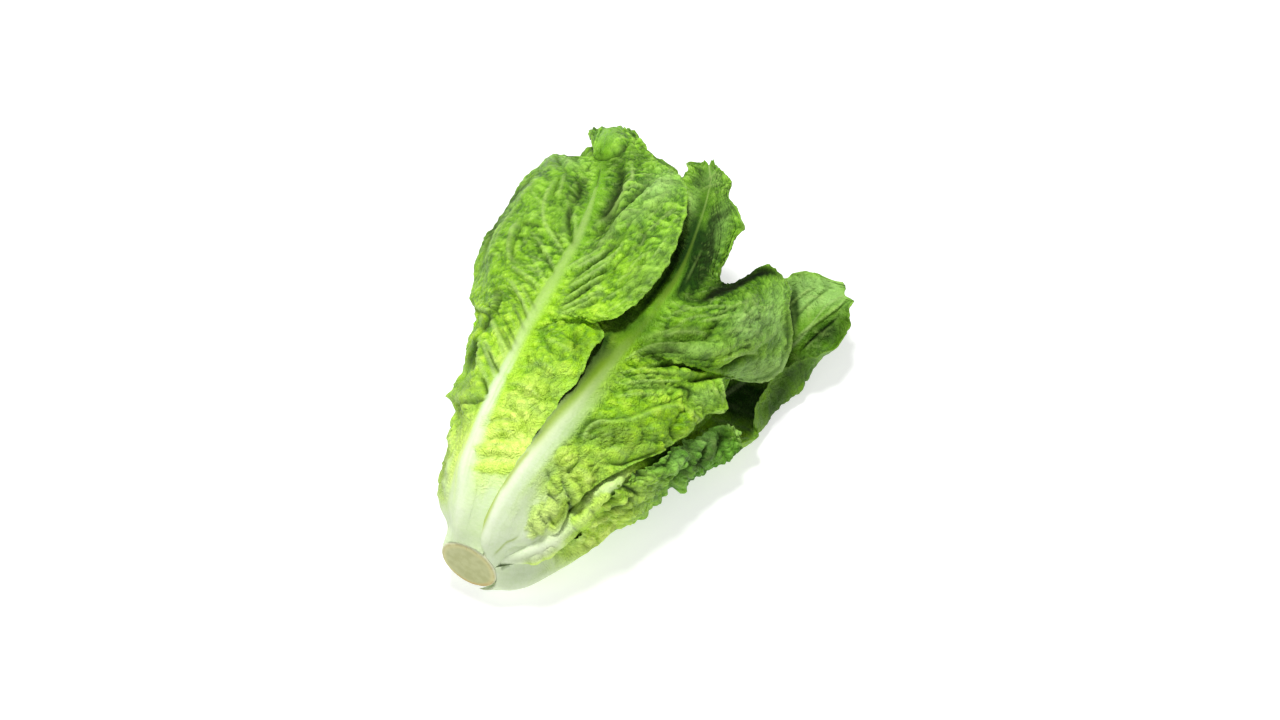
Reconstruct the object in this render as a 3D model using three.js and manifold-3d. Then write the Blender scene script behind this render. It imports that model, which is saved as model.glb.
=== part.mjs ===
import * as THREE from 'three';
import { mergeVertices } from 'three/addons/utils/BufferGeometryUtils.js';
import Module from 'manifold-3d';

// A head of romaine lettuce lying on its side. Millimetres, +Z up.
// The cut stem end is at -X and the leaf tips are at +X; the origin is the
// middle of the bottom of the bounding box, so the head rests on z = 0.

// ---- driving dimensions --------------------------------------------------
const BLADE_T = 1.5;          // thickness of a leaf blade
const CLEARANCE = 0.35;       // gap kept between neighbouring leaves
const STEM_X = -139.6;         // the cut face of the stem
const STEM_Y = 5.3;          // axis of the stem at the cut
const STEM_Z = 22.83;         // height of the stem's axis at the cut
const STEM_RISE = 0.10;       // the stem's axis climbs by this much per mm of x
const STEM_SIDES = 36;
const STEM_FACE_CHAMFER = 0.5;
// Radius of the stem core by distance from the cut: it tapers inside the head,
// and each leaf springs from it a little further in than the one outside it.
const STEM_PROFILE = [[0, 14.9], [0.5, 15.4], [1, 15.4], [3, 14.4], [6, 12.6], [10, 11.0],
  [20, 8.4], [35, 5.2], [50, 2.2], [58, 0]];
// Midrib, by fraction of a leaf's length: how far it thickens the leaf, and
// half its width. A leaf's own "rib" factor scales the thickness.
const RIB_AT = [0, 0.05, 0.10, 0.25, 0.50, 0.75, 1.0];
const RIB_HEIGHT = [0.2, 3.6, 5.2, 5.0, 3.0, 1.5, 0.3];
const RIB_HALF_WIDTH = [9, 13, 14, 11, 7, 4.5, 2.5];
const RIB_OUTSIDE = 0.72;     // share of the rib that stands out on the back of the leaf

// ---- looks -----------------------------------------------------------------
const GREEN = '#7fae45', DEEP = '#5d8a34', LIME = '#a9cf63', HEART = '#cfe08f', STEM = '#d5d9ab';

// ---- the leaves, from the outside in ---------------------------------------
// Each leaf is a sheet through a grid of points: rows run from one margin over
// the midrib to the other, and follow each other from the base to the tip.
const LEAVES = [
  { // outermost leaf of the near side, its rib low down and its lower blade tucked under the head
    name: 'outer_leaf_01', rib: 0.9, rows: 17, cols: 9, facetRows: 20, facetCols: 9,
    points: [
      -138.4,-10.8,25.8, -138.5,-11.1,23.2, -138.6,-11.1,20.7, -138.7,-10.6,18.1, -138.8,-9.6,15.6, -138.7,-8,13, -138.6,-5.8,10.7, -138.5,-3.2,8.9, -138.4,-0.3,7.5,
      -132.3,-20.4,25.8, -132.4,-20.2,22.5, -132.5,-19.7,19.2, -132.6,-18.7,16, -132.6,-17,13, -132.4,-14.3,9.8, -132.2,-10.8,7.1, -132,-6.9,5.4, -131.7,-2.8,4.1,
      -125.9,-29.5,26.7, -125.5,-29.3,23.5, -125,-28.8,20.2, -124.6,-28,17.3, -124.2,-26.2,14.2, -123.8,-22.6,10.3, -123.3,-18,6.7, -122.9,-12.7,4.6, -122.5,-7.1,2.9,
      -118.6,-36.2,26.2, -117.9,-36.1,23.6, -117.1,-35.8,21, -116.3,-35.4,18.8, -115.5,-33.9,16.1, -114.7,-29.9,11.5, -113.9,-24.5,6.9, -113.1,-18.1,4.1, -112.3,-11.2,1.9,
      -110.8,-42.3,27.1, -109.5,-42.2,24.8, -108.2,-41.9,22.4, -107,-41.8,20.5, -105.7,-40.4,17.9, -104.5,-36,12.7, -103.2,-29.8,7.4, -102,-22.4,4.2, -100.7,-14.4,1.6,
      -103,-47.5,31.8, -101,-47.7,28.7, -99.1,-47.7,25.5, -97,-47.5,22.7, -95.1,-45.9,19.3, -93.4,-41.1,13.7, -91.7,-34.4,8, -90,-26.2,4.4, -88.4,-17.3,1.5,
      -95.6,-50.7,39.9, -92.9,-52.1,34.9, -90.1,-52.9,29.9, -87.3,-52.6,25, -84.6,-50.5,19.9, -82.4,-45.4,13.9, -80.3,-38.3,8.2, -78.2,-29.6,4.4, -76,-20.2,1.2,
      -88,-52.6,48.7, -84.5,-55.8,41.7, -81,-58,34.6, -77.4,-57.6,27.1, -74.1,-54.8,19.9, -71.4,-49.1,13.8, -69,-41.4,8.6, -66.5,-32.3,4.9, -64,-22.5,1.9,
      -79.7,-53.2,54.3, -75.7,-58.3,46.6, -71.7,-61.9,38.6, -67.4,-62,29.4, -63.6,-59.2,20.8, -60.9,-53.1,14.5, -58.6,-45.1,9.6, -56.1,-35.9,6, -53.6,-26.1,3,
      -70.5,-55.3,57.1, -66.4,-61.1,48.9, -62.2,-65.4,40.3, -57.9,-65.8,30.2, -53.9,-63.1,20.8, -51,-56.7,14.7, -48.5,-48.3,10.3, -45.7,-39.1,7, -43,-29.5,4.2,
      -60.3,-59.8,54.4, -56.5,-64.6,46.9, -52.7,-68.2,39.2, -48.8,-69.1,30.1, -45.1,-67.1,21.6, -42.2,-60.8,15.8, -39.5,-52.3,11.3, -36.8,-43.4,8, -34,-34,5.2,
      -47.8,-63.1,53.4, -44.9,-67.6,46.2, -42,-71.1,38.8, -39.1,-72.4,29.9, -36.3,-71,21.8, -33.6,-65,16.6, -31.1,-56.9,12.7, -28.5,-48.7,9.7, -25.9,-40.2,7.2,
      -34.2,-66.2,48.8, -32.7,-70.1,42.8, -31.1,-73.3,36.5, -29.6,-75.2,29.1, -28,-74.7,22.3, -25.7,-69.4,17.8, -23.2,-62,14.6, -20.8,-54.8,11.9, -18.4,-47.3,9.6,
      -20.3,-69.4,42.7, -20.3,-72.5,38.3, -20.4,-75.2,33.6, -20.7,-77.8,28.3, -20.4,-78.2,23.2, -18.6,-73.6,19.6, -16.2,-67.1,16.7, -14.1,-60.9,14.2, -12,-54.5,12,
      -7.5,-72.4,37.9, -9.1,-75.2,34.7, -10.8,-77.8,31.4, -12.8,-80.6,27.6, -14,-81.6,24.1, -12.9,-78.2,21.3, -10.9,-73.1,19, -9.4,-68.4,17, -7.8,-63.6,15.2,
      -0.1,-76.6,30.9, -2.4,-78.8,29.5, -4.8,-80.8,28.1, -7.6,-83.2,26.6, -9.5,-84.6,25, -9.1,-83,23.5, -7.9,-80.4,22, -7.1,-78.1,20.6, -6.3,-75.9,19.3,
      -0.8,-81.6,30, -2.2,-82.9,29.2, -3.5,-84.2,28.4, -5,-85.8,27.7, -6.1,-86.7,26.8, -5.8,-85.6,25.6, -5.1,-83.8,24.3, -4.6,-82.3,23, -4.1,-80.7,21.8
    ] },
  { // big leaf over the top, far half; its right blade lies over the groove down the middle
    name: 'outer_leaf_02', rib: 1.15, rows: 23, cols: 11, facetRows: 30, facetCols: 13,
    points: [
      -138.6,21.5,26.4, -138.6,20.4,29.5, -138.6,18.9,32.3, -138.6,16.9,34.7, -138.6,14.3,36.8, -138.6,11.5,38.3, -138.6,8.8,39.2, -138.6,6.1,39.5, -138.6,3.4,39.3, -138.6,0.7,38.8, -138.6,-1.9,37.8,
      -130,26.6,28.3, -130.8,24.9,32.7, -131.6,23,37, -132.5,19.9,40.3, -133.4,15.5,42.8, -134.1,11.6,44.6, -134,9.2,45.6, -133.7,7.5,45.8, -133.4,5.5,46.1, -133.2,3.4,46.1, -133,1.3,46.1,
      -122.6,32,31.5, -123.7,29.8,36.9, -124.8,27.2,42.1, -126,23.2,46.2, -127.4,17.5,49.3, -128.2,12.5,51.6, -127.8,9.9,52.7, -126.9,8.2,53.1, -126.2,6.3,53.5, -125.6,4.1,53.8, -124.9,1.9,54.1,
      -115.5,36.7,35.3, -116.4,34,41.3, -117.3,31.1,47.1, -118.3,26.5,51.8, -119.5,20,55.6, -120,14.3,58.4, -119.3,11,59.9, -118,8.7,60.4, -116.8,6.1,60.9, -115.8,3.3,61.2, -114.7,0.5,61.5,
      -105.9,40.7,39, -106.5,37.8,45.2, -107.1,34.8,51.3, -107.8,29.9,56.5, -108.7,23.2,61.1, -109,17,64.5, -108,12.8,66.2, -106.3,9.4,67, -104.8,5.7,67.6, -103.5,1.8,68, -102.1,-2.1,68.4,
      -88.9,46.9,42, -89.9,43.7,48.5, -91,40.3,54.8, -92.2,35.1,60.3, -93.8,28,65.1, -94.2,21.1,68.9, -92.6,15.8,71.4, -89.9,11,72.9, -87.5,5.7,74.1, -85.3,0.1,74.8, -83,-5.5,75.4,
      -72.2,57,45.2, -73.8,52.4,52.3, -75.4,47.6,59.1, -77.2,41,64.7, -79.4,32.4,69.2, -80.3,24.1,72.8, -78.7,17.5,75.8, -75.8,11.3,78, -73.4,4.6,79.5, -71.1,-2.7,80.1, -68.8,-10,80.6,
      -54.1,63.8,47.8, -56.6,58.4,55.3, -59.2,52.8,62.6, -62,45.2,68.5, -65.3,35.4,73.1, -66.8,26,76.9, -64.8,18.5,80.2, -61,11.6,82.8, -57.8,4,84.4, -54.7,-4.2,85, -51.7,-12.5,85.4,
      -37.5,66.6,49, -40.8,61.4,57, -44.2,55.8,64.8, -47.8,47.8,71.2, -52.2,37.2,76.5, -54.1,27.1,80.8, -51.1,19.4,84, -45.6,12.5,86.4, -40.9,4.8,87.9, -36.5,-3.6,88.5, -32.1,-12.1,88.8,
      -27.9,70.2,48.3, -30.9,64.9,57.1, -33.9,59.2,65.6, -37.2,50.6,72.8, -41.4,38.8,78.7, -42.9,27.8,83.3, -39.1,20.2,86.1, -32.7,13.8,87.7, -27.1,6.6,88.7, -21.8,-1.1,89, -16.6,-8.8,89.1,
      -14.1,72.9,48.9, -17.7,67.7,58, -21.2,62.1,66.9, -25,53,74.4, -29.6,40.1,80.8, -31.8,28.8,85.5, -29.1,22.2,87.9, -24.1,17.6,88.7, -19.7,12.2,89.5, -15.7,6.3,89.8, -11.7,0.4,90.1,
      -6.6,76.7,50.8, -10,70.8,60.1, -13.4,64.5,69.1, -17,54.7,76.6, -21.2,41,82.7, -23.6,29,87.4, -22.7,21.8,90, -20,16.6,91.2, -17.9,10.5,92.3, -15.9,3.7,92.9, -14,-3.2,93.5,
      1.2,82.1,52.6, -2,75.1,62.2, -5.3,67.7,71.5, -8.8,56.8,78.9, -12.7,42.2,84.7, -15.1,29,89.2, -14.8,20.2,92.4, -12.9,13.2,94.4, -11.6,4.9,95.9, -10.4,-4.3,96.7, -9.2,-13.5,97.3,
      17.2,88.7,53.4, 13.2,80.8,63.4, 9.2,72.4,73.2, 5,60.3,80.9, -0,44.2,86.8, -2.7,29.5,91.4, -0.9,19.6,94.8, 3.2,11.4,97, 6.6,1.8,98.5, 9.8,-9.1,99, 12.9,-20.1,99.3,
      37.9,94,54.6, 32.9,85.3,64.6, 27.8,76.1,74.2, 22.4,63.3,81.9, 16.1,46.4,87.7, 12.8,31,92.3, 15.6,20.9,95.8, 21.4,12.7,98.1, 26.3,2.7,99.5, 30.8,-8.6,99.9, 35.3,-20.1,100.1,
      59.3,95.7,56.6, 53.5,87.2,66.1, 47.6,78.1,75.3, 41.3,65.3,82.6, 33.8,48.4,88, 30,33.2,92.3, 33.6,23.6,95.8, 40.9,16,98.4, 47.1,6.5,100, 52.8,-4.5,100.5, 58.5,-15.7,100.8,
      81.4,96.1,56.9, 74.5,87.9,66.1, 67.5,79.1,74.9, 60,66.9,81.9, 51.2,50.7,87.3, 46.6,36.3,91.5, 50.5,27.4,95, 58.7,20.5,97.5, 65.5,11.8,99, 71.9,1.6,99.5, 78.2,-8.7,99.8,
      101.4,96.1,55.2, 93.5,88.3,64, 85.5,80,72.6, 77,68.5,79.7, 67,53.5,85.4, 61.6,40.3,89.9, 65.2,32.1,93, 73.3,26,95, 80,18.3,96.3, 86.1,9.4,96.6, 92.2,0.3,96.8,
      112.5,95.2,54.1, 105.2,88.2,62, 97.8,80.8,69.6, 90,70.5,76.4, 80.9,57,82.3, 75.8,45.2,86.9, 78.6,38.4,89.6, 85.4,33.5,91, 90.9,27.2,92, 95.9,19.8,92.5, 101,12.2,92.8,
      102.9,80.4,68.7, 100,75.2,72.2, 97,70,75.6, 93.8,63.8,78.7, 89.9,56.6,81.4, 88.2,49.9,83.7, 90.6,45,85.4, 95.2,40.6,86.8, 99.1,35.5,87.8, 102.7,29.8,88.4, 106.3,24,89,
      101.3,69.5,77.4, 101.2,66.5,78, 101.1,63.6,78.7, 100.9,60.8,79.2, 100.5,58.1,79.6, 100.9,55.1,80.2, 103.2,51.5,81.1, 106.5,47.5,82.2, 109.4,43.3,82.9, 112.3,38.8,83.4, 115.1,34.3,83.8,
      111.6,68.8,75.4, 112.2,67,75.6, 112.8,65.3,75.7, 113.2,63.6,75.8, 113.6,62.1,75.9, 114.4,60.1,76, 116.4,57.3,76.5, 118.9,54,77.1, 121.3,50.6,77.4, 123.5,47.3,77.5, 125.8,43.9,77.6,
      126.8,77.4,66.4, 127,74.8,67.4, 127.3,72.2,68.4, 127.6,69.5,69.2, 127.7,66.6,70.1, 128.2,64,70.8, 129.2,61.9,71.2, 130.5,60,71.4, 131.7,58,71.7, 132.9,55.9,71.8, 134.1,53.8,72
    ] },
  { // big leaf over the top, near half; the outer part of its blade is spread out sideways
    name: 'outer_leaf_03', rib: 1.15, rows: 25, cols: 11, facetRows: 32, facetCols: 13,
    points: [
      -136.7,4.8,38.7, -136.7,3,38.5, -136.6,1.3,38.1, -136.5,-0.4,37.5, -136.5,-2,36.8, -136.8,-3.7,35.9, -137.9,-5.8,35, -138.1,-7.6,33.1, -138,-8.9,31, -137.9,-9.8,28.7, -136.6,-9.9,26.2,
      -128.3,6.9,45.4, -129.2,4.9,45.2, -129.5,2.9,44.5, -130,1.1,43.3, -130.8,-0.5,42, -133.8,-3,42.7, -133.5,-5.9,42.5, -132.4,-9.1,42.1, -131.4,-12,41.1, -130.5,-14.6,39.6, -129.4,-17.2,38.1,
      -119.8,9.5,51.5, -121.3,6.8,51.9, -122,4.3,51.2, -122.6,1.9,49.8, -126,-0.8,50.7, -127.7,-3.7,50.2, -127.8,-7.7,49.7, -127.1,-12,48.8, -126.5,-15.8,47.2, -126,-19.3,44.8, -125.5,-22.6,42.4,
      -103.1,14.5,58.4, -106.1,10.6,59.5, -109,6.7,60.2, -111.6,2.9,59.3, -113.6,-0.5,56.3, -118.4,-5.2,58.7, -119,-10.3,58.1, -118.3,-15.8,56.8, -117.9,-20.6,54.6, -117.6,-24.8,51.7, -117.4,-28.9,48.6,
      -81.9,20.6,64.1, -86.6,15.1,65.7, -91.2,9.6,67, -95.9,4,67.1, -100.4,-1.4,64.6, -105.3,-7.4,66.1, -106.5,-13.5,65.4, -106.2,-19.8,63.8, -106.2,-25.3,61.4, -106.4,-30.2,58, -106.7,-35,54.5,
      -58.5,27.5,69.3, -64.9,20,71.6, -71.2,12.6,73.6, -77.7,4.8,74.1, -84.3,-3.1,71.8, -90.2,-10.9,72.2, -91.6,-17.7,71.1, -90.9,-24.1,69.4, -90.8,-29.9,66.9, -91,-35.2,63.5, -91.2,-40.4,60,
      -34.7,33.7,73.1, -42.8,24.4,76.1, -50.9,15,78.9, -59.3,5.2,79.7, -68.6,-5.1,78.7, -75.1,-14.8,77.4, -75.8,-23.5,75.7, -73.5,-31.3,73.4, -72.2,-38.4,69.9, -71.2,-44.5,65.4, -70.2,-50.4,60.6,
      -9.5,38.6,75.7, -19.5,27.8,79, -29.4,16.9,82, -39.9,5.6,83.1, -51.6,-6,82.6, -59.3,-17.5,81, -58.8,-28.8,78.4, -54.3,-39.5,74.6, -51,-48.2,69.1, -48.2,-54.9,62, -45.3,-60.6,54.2,
      13,42.2,77.2, 1.6,30.4,80.7, -9.7,18.6,83.9, -21.7,6.4,85.2, -35.2,-6,84.8, -43.9,-18.4,82.9, -42.9,-31,79.6, -37,-43.1,74.8, -32.7,-52.4,68.2, -28.9,-59,59.7, -25.2,-65.2,50.9,
      27,44.5,77.4, 15.1,32.1,81.4, 3.1,19.7,85, -9.4,6.9,86.4, -23.6,-6.3,85.8, -32.7,-19.2,83.7, -31.9,-32,80.6, -26.2,-44.1,76.2, -22,-53.9,70, -18.4,-61.3,61.7, -14.8,-68.4,53.2,
      38.2,46.2,77.8, 25.5,33.2,82, 12.7,20.1,85.9, -0.7,6.8,87.4, -15.9,-6.9,86.7, -25.5,-20.5,84.6, -24.2,-34.7,81.6, -17.4,-48.4,77, -12.3,-59.5,70.2, -8.1,-67.8,60.9, -3.8,-75.7,51.2,
      47.3,47.1,78.1, 34.2,33.8,82.5, 21.2,20.4,86.5, 7.5,6.4,88.1, -8,-8.2,87.4, -17.9,-21.9,85.6, -16.6,-33.4,83.3, -9.7,-43.7,80, -4.1,-52.8,75.1, 1,-60.6,68.5, 6.3,-68.2,61.6,
      57.4,47.6,78.2, 44,34.2,82.7, 30.6,20.8,86.9, 16.5,6.6,88.7, 0.9,-8.1,88.4, -9.7,-22.9,86.5, -11.5,-38.1,84.3, -7.3,-52.6,79.8, 2.1,-63.8,69.3, 17.6,-71.6,52.4, 34.2,-78.9,34.6,
      66.6,47.7,77.8, 53.2,34.5,82.4, 39.7,21.2,86.8, 25.5,6.9,88.8, 9.5,-8.3,88.7, -0.7,-23.6,87.2, -0.7,-39.3,85.7, 6.3,-54.4,82, 18.8,-66.2,71.6, 37.9,-74.7,54.2, 58,-82.6,35.7,
      75,47.8,77.1, 61.7,34.8,82.1, 48.4,21.6,86.6, 34.3,7.1,88.9, 18.2,-8.8,88.9, 8.5,-24.2,87.8, 10.1,-38.9,86.8, 18.9,-52.4,84.4, 31.5,-62.9,78.3, 49.3,-70,68.3, 67.9,-76.6,57.8,
      82.4,47.7,76.3, 69.5,34.8,81.6, 56.6,21.8,86.5, 42.9,7.1,88.9, 27.2,-9.4,89, 17.8,-24.7,88.1, 19.3,-37.4,87.6, 28.1,-48.3,86, 41.8,-57.2,80.3, 61.7,-63.9,70.6, 82.6,-70.3,60.2,
      89.7,47.5,75, 77.3,34.8,80.6, 64.8,21.8,85.9, 51.6,7,88.6, 36.7,-10,88.8, 27.4,-24.8,88.1, 27.8,-34.7,87.5, 34.8,-41.8,86, 46.2,-48,81.7, 63.2,-52.8,74.4, 81.2,-57.3,66.6,
      97.1,48.3,73.8, 85.1,35.5,79.8, 73.1,22.4,85.3, 60.5,7.4,88.2, 46.5,-10,88.6, 37.2,-24.3,88, 36.6,-32,87.3, 41.2,-36.2,85.8, 46.9,-40.1,83, 54.6,-43.2,78.6, 62.7,-46.1,74.1,
      104.3,49.6,72.8, 92.9,36.6,78.9, 81.5,23.4,84.6, 69.5,8.4,87.7, 56.2,-9.2,88.3, 47.1,-23.2,88, 46.3,-29.6,87.4, 49.8,-32.3,86.2, 52.2,-35.2,84.4, 54.4,-37.8,81.9, 56.6,-40.3,79.4,
      112.1,51.1,71.4, 101.4,38.3,77.5, 90.7,25.3,83.2, 79.5,10.4,86.6, 66.9,-7.2,87.8, 58.7,-21,87.9, 59.2,-27,87.2, 64.2,-29,85.7, 67.8,-31.8,84.1, 70.9,-34.6,82.2, 74.1,-37.3,80.2,
      121.2,54.7,68.7, 111.5,42.2,74.9, 101.8,29.3,80.7, 91.5,14.3,84.5, 79.8,-3.7,86.4, 72.7,-17.7,87, 75,-23,86, 82,-24.2,84, 87.5,-26.3,82.1, 92.3,-28.8,80, 97.2,-31.2,77.9,
      124.5,46,69.4, 117.2,35.7,74.4, 109.8,25.2,79, 102,12.8,82.2, 92.9,-2.3,84.1, 87.7,-13.7,84.9, 90.5,-17.2,84.1, 97.1,-17,82.3, 102.6,-17.8,80.6, 107.5,-18.9,79, 112.5,-20,77.3,
      115.6,10,78.5, 112.9,6.2,79.3, 110.2,2.4,80, 107.3,-1.5,80.7, 103.6,-5.7,81.4, 102.2,-8.9,81.6, 105.4,-10.1,80.8, 110.8,-10.3,79.3, 115.5,-10.7,77.9, 119.9,-11.1,76.3, 124.3,-11.4,74.7,
      124.6,11.8,75.6, 122.7,8.8,76.3, 120.8,5.7,76.9, 118.8,2.5,77.5, 116.2,-1.2,78.1, 115.2,-3.8,78.3, 117.2,-4.3,77.8, 120.8,-3.8,76.9, 123.9,-3.6,75.9, 126.8,-3.5,74.9, 129.8,-3.4,73.8,
      128.2,8.5,74.5, 127.1,7,75, 126,5.4,75.6, 124.8,3.8,76.1, 123.3,1.9,76.7, 122.7,0.7,77, 123.8,0.7,76.7, 125.8,1.2,76.1, 127.6,1.6,75.5, 129.2,2,74.9, 130.8,2.3,74.3
    ] },
  { // leaf that has fallen open on the near side and lies hollow side up on the table
    name: 'outer_leaf_04', rib: 0.8, rows: 18, cols: 9, facetRows: 20, facetCols: 9,
    points: [
      -136.1,-8.8,17.5, -136.2,-8,15.6, -136.3,-6.9,13.8, -136.4,-5.5,12.1, -136.5,-3.8,10.6, -136.5,-1.9,9.5, -136.5,0.2,8.6, -136.6,2.4,7.9, -136.6,4.8,7.6,
      -120.3,-27.2,22.8, -120.8,-25.6,19.1, -121.2,-23.5,15.7, -121.1,-20.1,13.3, -121.5,-16.8,10.7, -121.8,-13.3,8.6, -121.9,-9.3,6.2, -122.1,-4.9,4.3, -122.2,-0.2,3.2,
      -95,-41.2,26.2, -95.5,-38.5,21.9, -95.9,-35.5,17.8, -96.4,-31.6,14.4, -96.8,-26.9,11.3, -96.9,-21.1,7.9, -96.9,-14.6,4.9, -97,-7.2,3.4, -97.1,0.4,2.5,
      -66.9,-48.9,27.4, -67.6,-45.2,23.2, -68.4,-41.2,19.1, -69.1,-36.8,15.6, -69.7,-31.3,12.3, -69.6,-24,8.4, -69.3,-15.4,5, -69,-6,3.6, -68.8,3.9,2.7,
      -38.9,-59.8,26.4, -40.5,-55.3,21.5, -42.1,-50.3,17.2, -44.5,-44.2,14.4, -46.1,-36.8,11.8, -45.3,-27.4,7.2, -43.7,-16.7,3.4, -42.4,-5,2.3, -41.2,7,2,
      -12.3,-74.8,23.3, -16.3,-69.2,19.6, -20.3,-62.3,16.8, -24.9,-52.9,13.6, -27.8,-41.5,12.3, -25.9,-31.3,6.2, -22.5,-19.9,3.1, -19.9,-7.8,2.4, -17.3,4.4,2.4,
      7.1,-83.6,21.2, 1.8,-80.2,14.5, -3.2,-74.2,9.6, -8.8,-58.4,15.4, -12.3,-45.8,8.8, -9.4,-34.6,6.4, -4.4,-24,4.5, -0.4,-13,4, 3.5,-2.1,4,
      16.3,-80.4,23.1, 13.9,-80.2,14.6, 11.2,-77,8.3, 6.4,-64.6,7.9, 3.6,-50.2,8.4, 7.7,-38.8,6.4, 14,-28,4.4, 19.2,-16.8,4, 24.5,-5.6,3.9,
      29.3,-77.7,23.9, 26.8,-80,14.8, 24.3,-78.8,7.9, 20.8,-67.2,7.7, 19.4,-52.9,9, 24.4,-42.1,7.3, 31.5,-32,5.4, 37.5,-21.6,5, 43.6,-11.1,5,
      40.5,-78,24.8, 39.1,-81.6,15.1, 37.6,-81.5,7.8, 34.6,-70.4,8.1, 33.5,-56.4,10.2, 38.9,-46.5,9, 46.5,-37.3,7.4, 52.9,-27.7,7.3, 59.4,-18.2,7.6,
      51.1,-80,25.6, 50.3,-83.7,15.9, 49.3,-84.1,8.6, 46.7,-74.2,9.3, 46,-61.6,11.9, 51.9,-52.6,11.3, 59.9,-44.2,10.4, 66.8,-35.5,10.9, 73.7,-26.8,11.8,
      59.3,-84.9,26.5, 59,-87.8,16.6, 58.6,-87.7,9.5, 57.2,-78.4,10.7, 57.7,-66.9,14, 63.9,-59,14.3, 72.1,-51.7,14.4, 79.3,-44.1,15.9, 86.5,-36.5,17.7,
      65.1,-90.4,27.4, 66.2,-90.9,17.7, 67.2,-89.4,10.8, 67.1,-81.6,12.5, 68.6,-72.4,16.5, 75.1,-65.5,17.7, 83.2,-59.1,18.8, 90.5,-52.4,21.2, 97.8,-45.8,24.1,
      72.7,-95,28.3, 74.7,-93.4,19.6, 76.5,-90.6,13.5, 77,-84.2,15.4, 78.7,-76.8,19.6, 85,-70.9,21.3, 92.9,-65.2,23.1, 99.9,-59.4,26.1, 107,-53.6,29.5,
      83.4,-98.4,29.2, 84.9,-95.7,22.3, 86.3,-92.2,17.5, 86.6,-86.1,19.5, 88.1,-79.6,23.3, 93.6,-74.4,24.9, 100.5,-69.5,26.5, 106.6,-64.4,29.5, 112.8,-59.4,32.8,
      94.5,-99.7,30.1, 95.2,-96.3,25.2, 95.9,-92.4,22, 95.7,-86.8,23.7, 96.5,-81.2,26.7, 100.6,-76.9,27.8, 105.8,-72.9,28.9, 110.5,-68.8,31.4, 115.2,-64.7,34.2,
      103.5,-96.9,31, 104,-93.8,28.2, 104.3,-90.5,26.4, 103.4,-86.7,27.7, 103.2,-83,29.7, 106,-80.2,30.2, 109.8,-77.8,30.8, 113.1,-75.1,32.6, 116.4,-72.5,34.9,
      109.8,-94.3,31.8, 109.7,-92,31.1, 109.4,-89.7,30.8, 108.7,-87.5,31.8, 108.4,-85.7,32.8, 109.8,-84.6,32.6, 111.8,-83.7,32.3, 113.5,-82.8,33.4, 115.2,-81.8,34.8
    ] },
  { // outer leaf of the far side
    name: 'outer_leaf_05', rib: 0.9, rows: 12, cols: 7, facetRows: 13, facetCols: 7,
    points: [
      -137.1,9,7.5, -137.1,13.1,9.3, -137.1,16.6,12, -137.1,19.3,15.6, -137.1,20.8,19.9, -136.8,20.9,24.2, -136.5,19.8,28.6,
      -118.5,17.1,2.8, -121.3,19,6.5, -123.8,20.7,10.7, -125.4,22.7,15.4, -123.8,25.8,20, -121.2,28.9,24.5, -118.4,31.7,28.9,
      -94.7,24,5.5, -100.7,27.9,7.6, -106,31.4,10.1, -109.4,34.6,13.7, -106,37.6,20.2, -100.7,40.2,27.1, -94.7,42.4,33.7,
      -69.8,28.8,6.4, -78.5,32.5,9.4, -86.3,36,13, -91.1,39.3,17.7, -86.3,43.7,24.4, -78.5,47.8,31.5, -69.8,51.4,38.7,
      -45.9,31.1,5.9, -56.2,36.3,9.8, -65.4,40.8,14.5, -71.2,44.9,20.4, -65.4,50.6,27.9, -56.2,55.5,35.7, -45.9,59.4,43.6,
      -23.8,31,4.7, -34.5,39,8.9, -44,45.9,14.4, -49.9,51.9,21.6, -44,58.6,30.5, -34.5,63.8,39.8, -23.8,67.5,49,
      -3.9,29.2,2.9, -13.6,41,7.5, -22.3,51.1,14, -27.6,59.3,22.7, -22.3,67.3,33.2, -13.6,72.5,44, -3.7,75,54.7,
      14.4,27,1.1, 6.7,43.3,6, -0.1,57,13.3, -4.4,67.6,23.5, -0.1,76.5,35.6, 6.7,80.9,47.8, 14.5,81,59.8,
      32.1,26.2,0.8, 27,46.3,4.6, 22.5,63.2,12.6, 19.7,76,23.9, 22.5,85.2,37.2, 27.1,87.8,50.6, 32.4,83.8,63.1,
      50.6,29.2,0.8, 48.1,51.2,3.8, 46,69.9,12, 44.6,83.9,23.7, 46,92.4,37.3, 48.1,93.3,51.3, 50.6,88,65.2,
      70.3,41.3,0.9, 70.4,60.4,5.4, 70.4,76.8,12.9, 70.2,89.1,22.9, 70.4,96,34.6, 70.4,96.7,46.8, 70.3,92,58.6,
      90.2,72.2,9.3, 93.5,80.2,12.9, 95.7,87.5,16.9, 96.4,93.4,21.4, 95.7,96.8,26.8, 93.5,98.7,32.4, 90.2,99.6,38.3
    ] },
  { // outer leaf underneath, on the table
    name: 'outer_leaf_06', rib: 0.8, rows: 12, cols: 7, facetRows: 13, facetCols: 7,
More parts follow.
